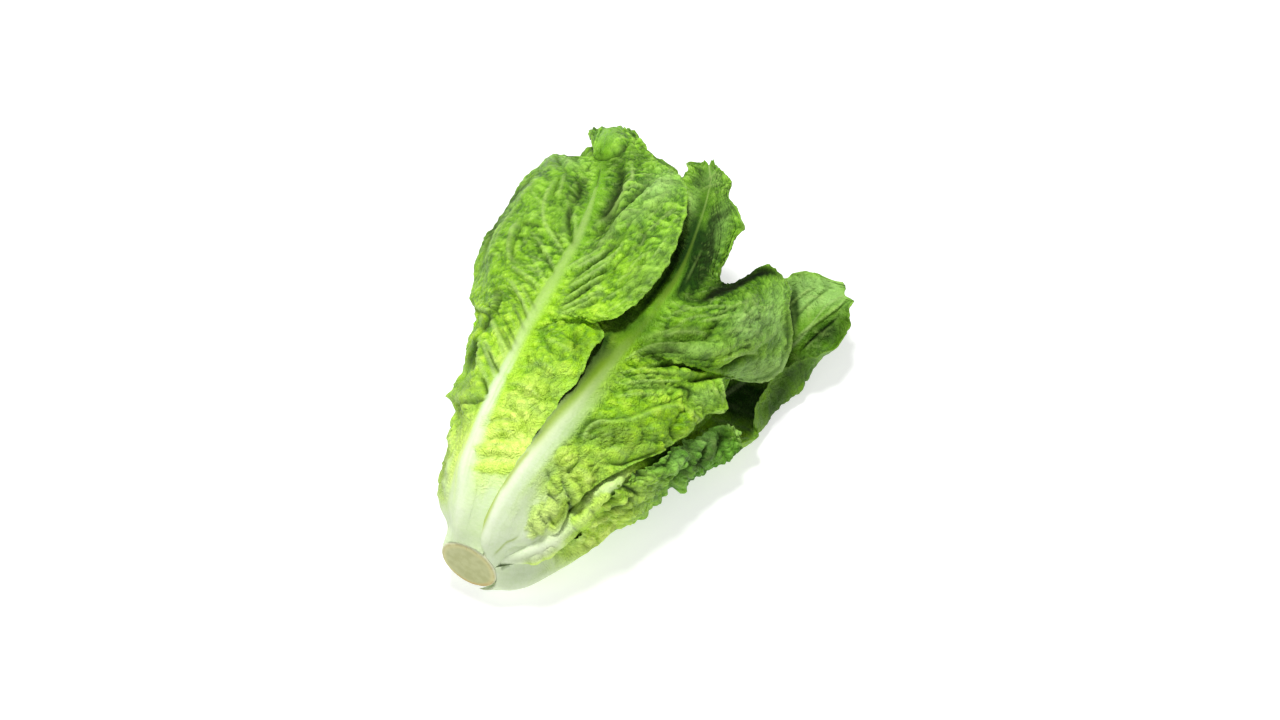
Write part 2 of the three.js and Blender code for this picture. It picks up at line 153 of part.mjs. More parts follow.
    points: [
      -134.7,-2.6,11.4, -134.6,1.1,9.7, -134.6,4.9,9, -135.3,7.9,8.7, -135,11.8,10.2, -134.9,14.8,12.4, -134.6,17.1,15.2,
      -119.9,-5.2,7.1, -122.6,-0.7,7.1, -124.6,4.1,7.8, -126.2,8.6,7.9, -124.6,13,9, -122.1,16.8,10.5, -118.9,20.6,12.7,
      -98.8,-12,7.1, -104.4,-4.1,5.5, -109.3,2.8,2.5, -112.3,9.2,3.8, -109.2,14.6,2.6, -104.3,18.8,4.9, -98.8,23,9.3,
      -76.4,-15.6,7.5, -84.4,-8.5,6, -91.5,-0.9,5.2, -95.8,6.5,3.9, -91.4,14,3.7, -84.4,21.2,6.4, -76.5,28.1,10.3,
      -54.6,-19,7.1, -64,-10.9,6.1, -72.5,-2.3,5.2, -77.7,6.6,3.7, -72.5,16.5,5, -64.2,26.1,8.3, -54.8,35.5,12.5,
      -34.6,-24.2,7.2, -44.4,-13.5,5.1, -53.1,-2.6,2.6, -58.5,9,3.1, -53.1,21.4,5.4, -44.5,33.3,9.8, -34.8,44.4,15.4,
      -16.6,-30.5,8.4, -25.5,-17,5.1, -33.3,-3,4, -38.2,11.9,2.9, -33.3,27.4,6.1, -25.5,41.6,11.7, -16.7,54.4,18.8,
      -0.1,-36.5,10.2, -7.1,-20.2,6.2, -13.4,-3,4.6, -17.1,15.3,3.1, -13.2,33.7,7.1, -7.1,50.1,13.6, -0.1,64.1,22.3,
      16,-40.8,11.5, 11.4,-22.2,6.4, 7.3,-2.2,6, 4.8,19.1,3.2, 7.3,40.1,7.4, 11.4,57.8,15.2, 16,72.2,25.5,
      32.7,-41.1,11.5, 30.4,-21.1,6.6, 28.6,0.4,2.2, 27.4,23.2,3.2, 28.6,45.3,7.4, 30.6,63.3,15.8, 32.8,77.6,26.8,
      50.4,-30.4,9.2, 50.2,-11.6,7.6, 50.7,7.5,1.6, 50.6,27.5,3, 50.8,46.6,6.3, 50.8,62.6,13.1, 50.6,75.8,22.1,
      68.5,1.4,2.1, 71.6,11.4,1.5, 73.7,21.2,1.2, 74.4,30.7,1.7, 73.8,39.7,3.3, 71.7,48,5.8, 68.6,55.8,8.8
    ] },
  { // leaf showing between the near outer leaf and the big near one
    name: 'outer_leaf_07', rib: 0.95, rows: 14, cols: 9, facetRows: 17, facetCols: 9,
    points: [
      -135.2,-4.4,34.5, -135.8,-5.8,33.3, -135.9,-7.1,31.9, -136,-8.1,30.3, -135.7,-8.6,29, -134.9,-8.7,27.3, -134.1,-8.6,25.2, -135.3,-9.5,22, -134.4,-8.5,19.9,
      -127.1,-7.2,44.4, -126.4,-12,43.4, -125.5,-16.4,41.7, -123.2,-20.2,38.4, -124.1,-24.3,35.6, -123.8,-25.4,31.9, -123.6,-25.2,27.8, -123.4,-24.1,24.1, -122.4,-22.1,20.6,
      -118.7,-8.8,51, -118.3,-14.9,49.7, -117.8,-20.6,47.8, -116.9,-25.8,43.9, -117,-30.5,40, -116.5,-32.4,35.2, -115.8,-32.5,30.2, -114.2,-29.8,26, -113.7,-28.2,21.2,
      -110.4,-9.4,55.4, -110.4,-16.4,54.1, -110.5,-23.1,52, -110.7,-29.4,48, -110.7,-34.4,43.1, -109.5,-36.9,37.7, -107.9,-37.5,32.1, -106.4,-36.1,26.8, -104.5,-33,22.2,
      -101.2,-9.6,58.8, -101.5,-17.6,57.7, -101.7,-25.3,55.8, -102.2,-32.6,51.6, -102.2,-38.5,46.2, -100.6,-41.5,40.3, -98.6,-42.3,34.2, -96.4,-39.9,28.8, -94.5,-37.2,23.2,
      -90.5,-9.7,61.8, -90.9,-18.5,61, -91.2,-27,59.3, -91.8,-35.4,55.2, -91.9,-42.2,49.8, -90.4,-45.6,43.3, -88.2,-46.6,36.4, -86.3,-45,30, -84.1,-40.7,24.7,
      -78.5,-9.3,64.7, -79.3,-19,64, -80.2,-28.4,62.3, -81.5,-37.7,58, -81.9,-45.3,52.3, -80,-49.2,45.6, -77.2,-50.5,38.6, -74.8,-49,31.7, -72.3,-46.3,25,
      -65.8,-9.2,68.9, -66.9,-20.2,67.8, -68.1,-30.8,65.6, -69.8,-41.1,60.4, -70.5,-49.1,53.8, -68.1,-52.8,47.3, -64.6,-53.8,40.5, -61.7,-52.4,33.7, -58.5,-49.2,27.5,
      -53.3,-9.8,71.8, -55.2,-22.3,70, -57.1,-34.1,67, -59.8,-44.8,60.4, -61,-53,52.7, -58,-55.9,46.4, -53.6,-56,40.4, -49.9,-54.5,34.3, -46.2,-52.2,28.2,
      -38.8,-11.9,74, -41.2,-25.7,71.1, -43.5,-38.5,66.9, -46.7,-49.1,58.3, -48.2,-56.5,49.3, -44.9,-58.4,43.7, -40,-57.6,39.1, -36,-56.2,34, -31.9,-54.2,29,
      -22.4,-17.2,75.7, -24,-32.6,70.3, -25.6,-46,63.4, -27.8,-54.1,51.5, -28.7,-58.5,40.4, -25.9,-59.3,36.6, -21.8,-58.3,35.1, -18.3,-57.5,32.5, -14.8,-56.4,29.8,
      -5.9,-26.5,75.9, -6.7,-41.7,68.1, -7.5,-54.2,59.2, -8.7,-59.2,45.2, -9,-60.6,33.1, -6.8,-60.6,30.9, -3.6,-59.6,31.8, -0.9,-59,31.2, 1.8,-58.4,30.5,
      9.1,-39.2,72.7, 7.9,-50,65.3, 6.8,-59,57.3, 5.2,-63,46.1, 4.6,-64.2,36.5, 6.6,-63.6,33.9, 9.6,-62,33.7, 12.1,-60.7,32.3, 14.6,-59.3,31,
      23.4,-53.6,64.2, 22.7,-57.6,59.7, 21.9,-61,55.1, 20.9,-63.4,49.8, 20.4,-64.6,44.9, 21.4,-64.3,41.4, 22.9,-63.3,38.5, 24.2,-61.9,35.4, 25.4,-60.4,32.3
    ] },
  { // second leaf underneath
    name: 'outer_leaf_08', rib: 0.7, rows: 12, cols: 7, facetRows: 13, facetCols: 7,
    points: [
      -134.3,-5.2,13.6, -132.5,-2.2,12.6, -132.1,1.5,11.1, -132.8,7.7,10.7, -132.9,8.2,10.8, -132.5,11.2,11.8, -132.4,13.8,13.4,
      -119.7,-8.8,12.3, -121.7,-4.4,11.5, -123.2,0.1,12.3, -123.5,4.8,13, -122.8,8.4,12.7, -121.1,11.8,11.7, -119.2,15.6,11.7,
      -100.9,-18.5,7.6, -105.4,-10.2,9.8, -109.3,-2.6,10.7, -111.5,3.7,10.6, -109.6,5.7,8.2, -105.5,10.2,6.4, -100.9,13.3,6.1,
      -81.2,-24.6,8.6, -88,-16.8,8.6, -94.1,-9.4,9.6, -97.9,-1.5,11.7, -94.2,3.6,8.3, -88.2,9,6.8, -81.3,15,6.8,
      -62,-27.3,12.4, -70.4,-20.3,9.7, -77.6,-12.2,10.7, -82.4,-4.5,12, -77.7,3.7,7.7, -70.5,11.7,7, -62.3,20.1,8.2,
      -44.6,-32.4,13, -53.2,-23.8,9.6, -60.7,-14.3,9, -65.1,-3.6,10.2, -60.8,6.4,6.5, -53.3,17,7.5, -44.8,27.5,10.4,
      -29,-38.3,14.9, -36.7,-27.7,10.1, -43.5,-15.8,8.1, -47.8,-3.1,7.4, -43.6,10.4,6.3, -36.8,23.5,9, -29.1,36,13.6,
      -14.6,-43.3,18.5, -20.7,-31.1,11.8, -26.1,-17.2,7.6, -29.5,-1.5,7.2, -26.1,14.8,6.6, -20.7,30.2,10.5, -14.6,44.3,16.8,
      -0.5,-47,21.7, -4.6,-33.5,13.4, -8.1,-17.7,8.2, -10.5,0.5,7.5, -8.1,19.2,6.8, -4.6,36.4,11.4, -0.5,51.7,18.7,
      14.1,-47.8,22, 12.1,-33.5,13.6, 10.4,-16.6,8.2, 9.6,3.1,7.7, 10.5,22.6,6.5, 12.2,40.6,10.9, 14.1,56.6,18.1,
      29.6,-40.9,17.1, 29.7,-26.9,11, 29.7,-11.5,6.8, 29.6,5.5,5.2, 29.8,22.7,5.6, 29.8,38.7,8.5, 29.7,53.4,13.5,
      44.8,-15.3,10.5, 47.6,-7,7.9, 49.7,0.7,5.6, 50.4,8.7,4.9, 49.8,16.7,4.7, 48.1,24.5,5.1, 45.4,32,6
    ] },
  { // second leaf of the far side
    name: 'outer_leaf_09', rib: 0.75, rows: 12, cols: 7, facetRows: 13, facetCols: 7,
    points: [
      -132.4,17,17.4, -134.5,18.7,18.5, -134.7,19.4,20.6, -134.7,19.7,23.1, -134.5,19.3,26.2, -134.7,18.1,29.8, -136.3,17.4,32.7,
      -123.5,20.3,17.5, -123.7,22.6,22.2, -123.2,23.6,26.6, -123.1,23.6,31.7, -124.6,23.1,36.8, -125,19.6,41, -125.2,15.1,44.3,
      -106,27.3,17.6, -106.2,30.8,24.3, -106.5,32.5,31.3, -106.7,31.7,38.5, -106.7,28,44.9, -106.5,22.3,50.1, -106.4,15.4,54,
      -81,34.3,18.9, -81.8,38.7,26.9, -82.7,40.6,35.2, -83.5,39.3,43.6, -82.8,34.4,51.3, -81.9,27,57.4, -81,18.2,61.9,
      -53,42.8,20.6, -54.6,47.9,29.4, -56.4,50.1,38.7, -57.8,48.4,48.1, -56.4,42.4,56.9, -54.6,33.5,63.8, -53,22.7,68.9,
      -26.4,52.3,22.1, -28.3,57.5,31.6, -30.3,59.6,41.3, -32,57.3,51.1, -30.3,50.4,60.5, -28.3,40.3,67.8, -26.5,28.1,73,
      -0.8,62.7,24.1, -3.3,67.7,33.5, -6.1,69.2,43.4, -8.2,66.3,53.3, -6,58.7,62.9, -3.3,47.8,70.2, -0.8,34.8,75.5,
      23.6,72.9,27.1, 19.9,77.8,35.4, 16.1,78.4,45.1, 13,74.8,54.8, 16.1,67,64.2, 19.8,55.9,71.5, 23.2,42.3,75.9,
      45.4,83.9,28.2, 41.5,86.5,37.3, 37.2,86.2,46.3, 33.7,82.1,55.2, 36.6,74.3,64.1, 40.3,63.5,71.2, 43.6,50.5,76.4,
      64.6,91.2,31.3, 60,92.1,39.5, 55.1,91.1,47.6, 51,87.2,55.4, 54.3,80,63.4, 58.5,70.4,69.8, 62.3,58.9,74.8,
      79.2,95.2,35.7, 74.7,95.1,42.2, 69.7,93.8,48.8, 65.6,90.6,55.2, 69.1,84.9,61.7, 73.4,77.2,67.1, 77.3,68.3,71.4,
      89.5,97.2,41.2, 85.9,95.7,45.4, 81.8,93.7,49.6, 78.6,91.7,54, 81.4,89.4,59, 85.1,84.5,63, 88.4,78.7,66.4
    ] },
  { // third leaf of the far side
    name: 'outer_leaf_10', rib: 0.75, rows: 12, cols: 7, facetRows: 13, facetCols: 7,
    points: [
      -131.9,11,12.9, -131,17.4,20.1, -131.6,17.9,21.1, -131.5,18,22.2, -131.9,18.2,25.9, -132.4,17,29.8, -133.4,14.8,33.3,
      -113.8,18.5,12.1, -116.5,19.6,15.7, -118.1,18.3,20, -119.8,18.6,24, -118.4,20.4,27.9, -116.5,22.7,32.6, -114,23.8,37.5,
      -89.8,29.4,16, -95.4,29.2,20.7, -100.1,28.1,24.9, -102.7,27.6,27.6, -100.1,31,33.2, -94.9,32.8,38.8, -88.6,33.7,43.6,
      -64.3,36.2,17.8, -72.7,36.1,22.7, -80.1,35.7,27.3, -84.4,34.7,31.8, -79.8,38.5,37.5, -71.7,40.6,43.4, -62.8,42.2,49,
      -39.7,41.1,17.5, -49.9,42.3,22.9, -59,43,28.4, -64.2,42.2,34.6, -58.6,46.2,41.1, -49,48.4,47.4, -38.2,49.7,53.7,
      -16.7,43.6,18.8, -27.7,48.3,21.9, -37.1,50.2,28.7, -42.7,50.3,36.4, -36.8,54.2,44.2, -26.7,55.7,51.5, -15.5,55.8,58.4,
      4.1,45,16.8, -6.4,53.7,20.2, -14.9,57.6,28.4, -20,59.1,37.8, -14.7,62.7,47.5, -5.5,62.3,56, 4.8,59.3,63.5,
      22.7,44.3,13.8, 14.8,56.4,20.1, 7.6,65.1,27.7, 3.5,68.9,38.8, 7.6,71.2,50.3, 14.9,67.3,60.2, 23.1,59.4,68.1,
      40.6,41.7,11.1, 35.2,59.3,16.5, 30.6,72,26.4, 27.7,78.6,39, 30.6,78.9,52.2, 35.5,71.2,63, 40.9,58.1,71.2,
      59.3,41.6,7.8, 56.8,62.2,15.5, 54.6,77.7,25.7, 53.2,86.1,38.7, 54.6,85.7,52.4, 57,76.3,63.5, 59.6,60.6,71.9,
      79.6,52.8,9.8, 79.7,70,17.3, 79.6,83,26.5, 79.5,90.4,37.6, 79.7,91,49.1, 79.8,85,59.4, 79.6,73.5,66.8,
      100.4,81.8,20.9, 103.6,87,25.3, 105.7,91,30, 106.4,93.8,35.1, 105.7,95.6,40.3, 103.6,96,45.6, 100.4,95.3,50.8
    ] },
  { // leaf whose tip shows past the top of the far big leaf
    name: 'outer_leaf_11', rib: 0.7, rows: 12, cols: 7, facetRows: 13, facetCols: 7,
    points: [
      -129.1,16.6,27.3, -129,16.2,28.7, -129.8,15.3,30.8, -130.4,13.3,33.4, -130.5,10,35.3, -130.6,6.4,36.2, -130.6,2.6,36,
      -108.8,23.4,34, -112.2,20.9,34.8, -115.1,17.8,35.9, -116.9,14.2,37.8, -115.2,10.7,41.2, -112.4,7,45, -109.3,3.2,48.5,
      -81.5,33.2,49.8, -88.1,28.4,51.3, -93.9,23,51, -97.6,17.9,50.9, -93.8,14,56.3, -88.4,10.8,62.9, -81.6,6.4,66.2,
      -52.8,41.6,54.7, -62.7,35.5,56.7, -71.2,28.7,57.6, -75.9,21.4,57.2, -70.9,17.4,63.3, -62.7,13.7,69.8, -52.8,9.1,73.7,
      -25.1,50.4,56.2, -37,43.3,59.6, -47.3,35.4,62, -53.1,26.5,62.5, -47,21.4,68.8, -37,16.5,74.8, -25.1,10.7,78.4,
      0.4,60.1,55.6, -11.9,52.2,60.7, -22.7,43,64.8, -29,32.6,66.8, -22.8,25.9,74.6, -11.9,18.4,79.3, 0.4,10.3,82.4,
      23.4,68.7,53.1, 12.2,61.2,60.4, 2.3,51.6,66.7, -3.4,39.2,69.6, 2.3,30,78.1, 12.2,19.4,82.3, 23.4,7.9,84.3,
      44.5,75.9,48.8, 35.7,69.6,58.3, 28,59.6,66.1, 23.3,46.3,71.7, 27.9,33.2,79.6, 35.7,18.8,83.4, 44.5,3.3,84.2,
      65,79.9,45.1, 59.2,75.8,56.4, 54.1,67,66, 50.9,52.9,73.3, 53.9,36.6,79.6, 59.1,18.7,83.3, 65,-0.5,82.9,
      86.4,83.6,42.4, 83.6,80.5,54.2, 81.1,72.3,64.8, 79.5,58.1,73.4, 80.7,39.5,76.6, 83.6,20.6,81.1, 86.4,-0.2,80.1,
      109.5,86.4,43, 109.5,82.7,52.7, 109.3,75.1,61.5, 109,62.7,68.6, 109.1,46,71.6, 109.4,29,75.9, 109.5,10.3,76.2,
      134.2,79.9,50.8, 137,75.4,53.5, 138.8,70.1,56.3, 139.4,63.9,59.1, 138.8,56.8,61.8, 137,49.2,64.7, 134.2,41.2,67.6
    ] },
  { // heart leaf
    name: 'inner_leaf_12', rib: 0.7, rows: 12, cols: 7, facetRows: 13, facetCols: 7,
    points: [
      -130.4,-3,14.5, -134.1,0.4,11.8, -135.6,7,11.1, -128.5,10.9,14.1, -126.6,15.2,18.7, -127.7,15.9,19.7, -127.6,16.4,24.4,
      -113.6,-2.8,14.2, -115.9,2.7,15.3, -116.7,8.7,15.9, -118.9,11.6,16.4, -117.4,14,16.7, -114.1,15.4,19, -111.6,18.1,23.6,
      -92.3,-3.7,14.9, -97.4,3.7,11.8, -102.4,8.3,11.1, -105.4,13.3,12.4, -102.3,18.2,14.9, -97.3,22.7,18.3, -91.6,27,22.3,
      -68.4,-3.5,13.2, -76.8,3.2,10.5, -84.1,9.1,9.7, -88.6,15.3,11.4, -84.1,22.1,14.8, -76.9,28.5,19.1, -68.8,34.5,23.8,
      -46.3,-5.3,10.4, -56.1,2.7,9.7, -64.7,10.3,9.9, -70,18,12.2, -64.7,26.8,16.4, -56.1,34.9,21.7, -46.4,42.2,27.4,
      -25.8,-8.5,9.6, -35.8,1.7,9.1, -44.7,11.8,10, -50.2,21.8,13, -44.7,32.6,18.1, -35.8,42,24.5, -25.8,50.1,31.7,
      -7.2,-13.1,10.3, -16.3,0.1,9.7, -24.4,13.1,10, -29.4,25.9,13.6, -24.4,38.9,19.9, -16.3,49.4,27.9, -7.2,57.6,36.9,
      9.8,-19.4,12.4, 2.6,-2.6,9.8, -3.7,14.2,10, -7.7,30.8,14.1, -3.7,45.9,21.8, 2.6,56.7,31.7, 9.8,63.4,43,
      26.3,-23.7,14.8, 21.6,-4,10.6, 17.4,16.1,10.1, 14.8,35.8,14.4, 17.4,52.6,23, 21.6,63.2,34.3, 26.3,68.3,47.1,
      43.7,-23.2,15.3, 41.4,-2,10.8, 39.3,19.7,10.1, 38,40.8,14.4, 39.3,58.1,23, 41.4,68.7,34.3, 43.7,73.5,47.2,
      62.3,-10.9,13.1, 62.3,8,10.3, 62.1,26.9,10.4, 61.9,45,14.1, 62.1,60,21, 62.3,70.1,30, 62.3,76,40.4,
      80.8,21.4,8.9, 83.8,30.8,9.8, 85.8,39.8,11.3, 86.4,48.2,13.6, 85.8,56,16.2, 83.8,62.8,19.5, 80.8,68.6,23.2
    ] },
  { // heart leaf
    name: 'inner_leaf_13', rib: 0.65, rows: 12, cols: 7, facetRows: 13, facetCols: 7,
    points: [
      -125.4,15.5,28.4, -125.6,13.4,31.6, -125.8,10.5,33.9, -126.8,7.2,35.4, -127.5,3.4,35.5, -128.4,-0,34.7, -128.6,-3.4,32.6,
      -109.9,16.9,36.1, -112.1,13.5,36.2, -114.2,9.7,36.1, -116.2,6,37.2, -115.8,1.7,40, -113.7,-3.4,41.3, -111.2,-8.4,42.2,
      -88.8,19.5,50, -94.2,14.3,50.8, -98.9,9.2,50.5, -101.1,4,48.6, -99.7,-1.7,53.5, -95,-7.6,55.9, -89.6,-13.5,57.3,
      -65.5,24.5,56.5, -73.7,16.3,59.7, -81.4,10.7,61.6, -84.9,3.7,59.6, -81.5,-3.3,64.1, -73.8,-10,64.1, -66.4,-16.7,66.2,
      -44,31.7,60.4, -53.2,21.9,62.7, -62.3,14.4,66, -67.6,5.3,66.9, -62.5,-3.1,69.1, -53.9,-11.2,69.4, -44.5,-19.2,69.8,
      -24.1,39.8,61.6, -33.5,29,64.5, -42.7,19.1,69, -48.2,7.8,71.2, -42.8,-3,72.9, -34.1,-13.2,72.5, -24.2,-23,71.1,
      -5.9,48.2,60.3, -14.6,37,65.5, -22.8,25,71.5, -27.8,10.8,74.5, -22.8,-3,76, -14.9,-15.9,74.8, -5.9,-27.8,71.6,
      10.8,56.1,57.3, 3.8,45.3,66.2, -2.5,31.4,73.2, -6.4,14.2,77.4, -2.5,-3.1,78.4, 3.8,-18.9,75.9, 10.8,-33.2,70.6,
      27.2,63.1,55.2, 22.5,52.4,65.9, 18.5,37.2,73.9, 15.8,18,79.1, 18.4,-2.2,79.8, 22.5,-20.4,76.1, 27.1,-36.5,69.1,
      44.3,68.4,55.6, 42,57.5,66.5, 40,42,74.7, 38.7,21.9,79.8, 40,0.6,80.4, 42,-18.8,76.4, 44.3,-35.9,68.9,
      62.6,67.2,60.5, 62.6,56.7,69, 62.5,42.9,75.4, 62.3,25.7,79.2, 62.5,7.2,79.8, 62.6,-10.1,76.9, 62.6,-25.9,71.2,
      81,52,71.3, 83.9,45,73.3, 85.7,37.2,74.7, 86.4,28.8,76.5, 85.8,19.9,77.1, 83.9,10.6,77.1, 81,1.3,76.6
    ] },
  { // heart leaf
    name: 'inner_leaf_14', rib: 0.6, rows: 12, cols: 7, facetRows: 13, facetCols: 7,
    points: [
      -125.6,-5.7,28.9, -125.6,-6.4,25.2, -125.6,-6.1,21.6, -125.6,-4.7,18.5, -126,-3.3,16.9, -127.7,-4.3,17.5, -133.4,-5.8,15.6,
      -109,-14.7,33.2, -111.5,-12.8,28.6, -113.7,-10.3,24.2, -115.1,-7.5,20.1, -113.9,-5.4,17.8, -112.1,-3.8,17.8, -110,-1.8,17.5,
      -88.3,-31.3,35.4, -93.6,-27.8,30.9, -98.3,-23.6,26.7, -101.2,-18.9,22.9, -98.3,-17,19.4, -93.7,-15,17, -88.5,-12.4,15.3,
      -66.3,-40.5,38.9, -74,-37.8,33.6, -80.8,-33.8,28.6, -85,-28.8,24, -80.8,-25.6,20.1, -74,-21.6,17.2, -66.3,-16.7,15.1,
      -45.1,-41.3,43.9, -54.3,-40.2,37.1, -62.4,-37.7,30.4, -67.4,-33.2,24.2, -62.4,-27.5,20.1, -54.3,-20.4,17.3, -45.1,-12.4,15.5,
      -25.6,-41.5,48.9, -35.1,-41.6,40.9, -43.5,-39.3,33.1, -48.7,-34.2,25.8, -43.5,-26.7,20.5, -35.1,-17.3,17.1, -25.6,-6.8,15.2,
      -8.1,-41.3,54.1, -16.7,-42.9,44.8, -24.3,-41,35.6, -29,-34.9,26.8, -24.3,-25.4,20.4, -16.7,-13.5,16.6, -8.1,0,14.9,
      8,-39.8,59.1, 1.2,-43.8,48.6, -4.8,-42.7,38, -8.5,-35.6,27.8, -4.8,-23.4,20.2, 1.2,-8.2,16.1, 8,8.9,14.9,
      23.6,-38.1,62.3, 19.2,-43.9,51, 15.2,-43.6,39.5, 12.8,-35.6,28.4, 15.2,-21.1,20.1, 19.2,-3.1,16, 23.6,17.1,15.6,
      40.1,-37.2,62.8, 37.9,-43.3,51.4, 35.9,-43,39.7, 34.7,-34.5,28.6, 35.9,-19.1,20.3, 37.9,0,16.3, 40.1,21.3,16,
      57.6,-37.6,57.5, 57.6,-41.2,47.5, 57.5,-39.9,37.6, 57.3,-32.3,28.4, 57.5,-19.3,21.3, 57.6,-3.1,17.5, 57.6,15,16.5,
      75.2,-38.5,41.5, 78,-36.5,36.5, 79.8,-33.6,31.8, 80.4,-29.5,27.6, 79.8,-23.8,24, 78,-17.3,21.2, 75.2,-10.1,18.8
    ] },
  { // heart leaf
    name: 'inner_leaf_15', rib: 0.55, rows: 12, cols: 7, facetRows: 13, facetCols: 7,
    points: [
      -131,11,13.5, -124.7,14.4,20, -124.6,14.2,19.7, -122.2,15.2,26.4, -122.2,15.2,27.2, -121,13.9,29.5, -120.7,12.9,30.8,
      -107.6,7.8,19.2, -109.5,11.2,20.8, -111.2,13.3,23.2, -112.4,14.6,26.5, -110.9,14.3,30.8, -108.6,12.9,35, -105.9,10.5,38.8,
      -86.4,15.1,22.4, -91.5,16.2,24.7, -96,16.6,27.6, -98.8,16.6,31.3, -95.9,18,35.9, -91.3,18.9,40.6, -86.1,19.1,45.2,
      -64.8,21.3,24, -72.2,22.4,27, -78.9,22.8,30.6, -83,22.8,34.7, -78.9,24.7,40.1, -72.2,26.1,45.5, -64.7,26.7,50.6,
      -44.1,23.3,23.9, -53,26.6,27.4, -60.9,28.8,31.5, -65.8,29.8,36.5, -60.9,31.2,43, -53,31.2,49.4, -44.1,30.1,55.4,
      -25.1,24.2,22.7, -34.3,29.1,26.9, -42.5,32.4,32.1, -47.6,33.9,38.6, -42.5,35.2,46.1, -34.3,34.6,53.3, -25.1,32.2,60,
      -7.9,23.9,21.3, -16.3,31.3,26.1, -23.7,36.4,32.3, -28.4,38.7,40.1, -23.7,39.6,49, -16.3,37.4,57.2, -7.9,32.4,64.5,
      7.7,20.8,19.9, 1.1,32.2,25, -4.7,40.3,32.1, -8.4,44.2,41.5, -4.7,44.1,51.8, 1.1,38.8,60.8, 7.7,29.5,68.3,
      23,17.8,19.4, 18.7,33.1,24.3, 14.8,44.4,31.9, 12.4,49.9,42.4, 14.8,48.7,53.7, 18.7,40.6,63.1, 23,27.3,70.4,
      39.1,18.9,19.4, 36.9,36.2,24.4, 35,49,32.2, 33.8,55.4,42.8, 35,53.8,54.1, 36.9,44.8,63.5, 39.1,30.3,70.9,
      56.2,29.5,21.7, 56.2,43.9,26.7, 56,54.6,33.6, 55.8,60.1,42.6, 56,59.3,52, 56.2,52.7,60.3, 56.2,41.7,67.4,
      73.6,53.4,29.6, 76.2,57.8,33.3, 77.9,61.2,37.3, 78.4,63.1,41.6, 77.9,63.8,46, 76.2,63.1,50.4, 73.6,61.3,54.9
    ] },
  { // heart leaf
    name: 'inner_leaf_16', rib: 0.5, rows: 12, cols: 7, facetRows: 13, facetCols: 7,
    points: [
      -117.5,4.9,34.1, -118.4,3.4,34.6, -118.6,0.6,34.4, -118.6,-2.3,32.9, -118.6,-4.4,30.6, -118.6,-5.5,27.8, -118.6,-5.8,24.7,
      -103,2.5,41.9, -105.4,0.1,40.6, -107.6,-2.5,38.7, -108.9,-5.4,36.3, -107.6,-8.7,34.3, -105.5,-11.5,32.5, -103.2,-13.7,30.7,
      -83.9,-3.8,53, -88.9,-6.6,50, -93.2,-9.4,46.7, -96,-12.4,43.4, -93.2,-16.9,41.8, -88.9,-21.1,40.7, -84,-24.9,39.7,
      -63.6,-5.3,61.1, -70.7,-10.2,58.1, -77,-14.6,54.6, -81,-18.7,50.8, -77,-23.7,48.9, -70.7,-28,47.1, -63.6,-31.4,45.1,
      -44,-1,64.7, -52.5,-8.7,62.8, -60,-15.7,59.9, -64.7,-21.8,55.9, -60,-27.1,52.9, -52.5,-30.6,49.5, -44,-32.8,45.6,
      -25.9,5.5,66.4, -34.7,-4.4,65.2, -42.5,-13.7,62.7, -47.3,-21.9,58.7, -42.5,-27.9,54.3, -34.7,-31.5,49.4, -25.9,-33.1,44.1,
      -9.7,13.1,67.2, -17.6,0.7,67.3, -24.7,-11,65.2, -29.1,-21.5,60.9, -24.7,-28.9,55.3, -17.6,-32.6,48.9, -9.7,-33.3,42.1,
      5.2,21.7,66.7, -1,6.7,68.6, -6.6,-7.9,67.6, -10,-21.1,63, -6.6,-30,56, -1,-33.6,47.9, 5.2,-32.7,39.3,
      19.8,28.3,66.4, 15.6,11.6,69.6, 12,-5,69.3, 9.7,-20.2,64.5, 12,-30.4,56.6, 15.6,-34,47.2, 19.8,-32.1,37.4,
      35,31.1,67.7, 33,13.9,70.7, 31.2,-3,70.1, 30,-18.6,65.2, 31.2,-29.5,57.2, 33,-33.5,47.7, 35,-31.8,37.5,
      51.4,25.3,69.9, 51.3,10.7,70.9, 51.2,-3.5,69.5, 51,-16.4,65.1, 51.2,-26,58.5, 51.3,-30.6,50.6, 51.4,-30.8,42,
      68,4.2,70.3, 70.4,-2.2,68.7, 71.9,-8.2,66.7, 72.4,-13.9,64.2, 71.9,-18.9,61.2, 70.4,-22.9,57.9, 68,-26.2,54.2
    ] },
  { // heart leaf
    name: 'heart_leaf_17', rib: 0.45, rows: 12, cols: 7, facetRows: 13, facetCols: 7,
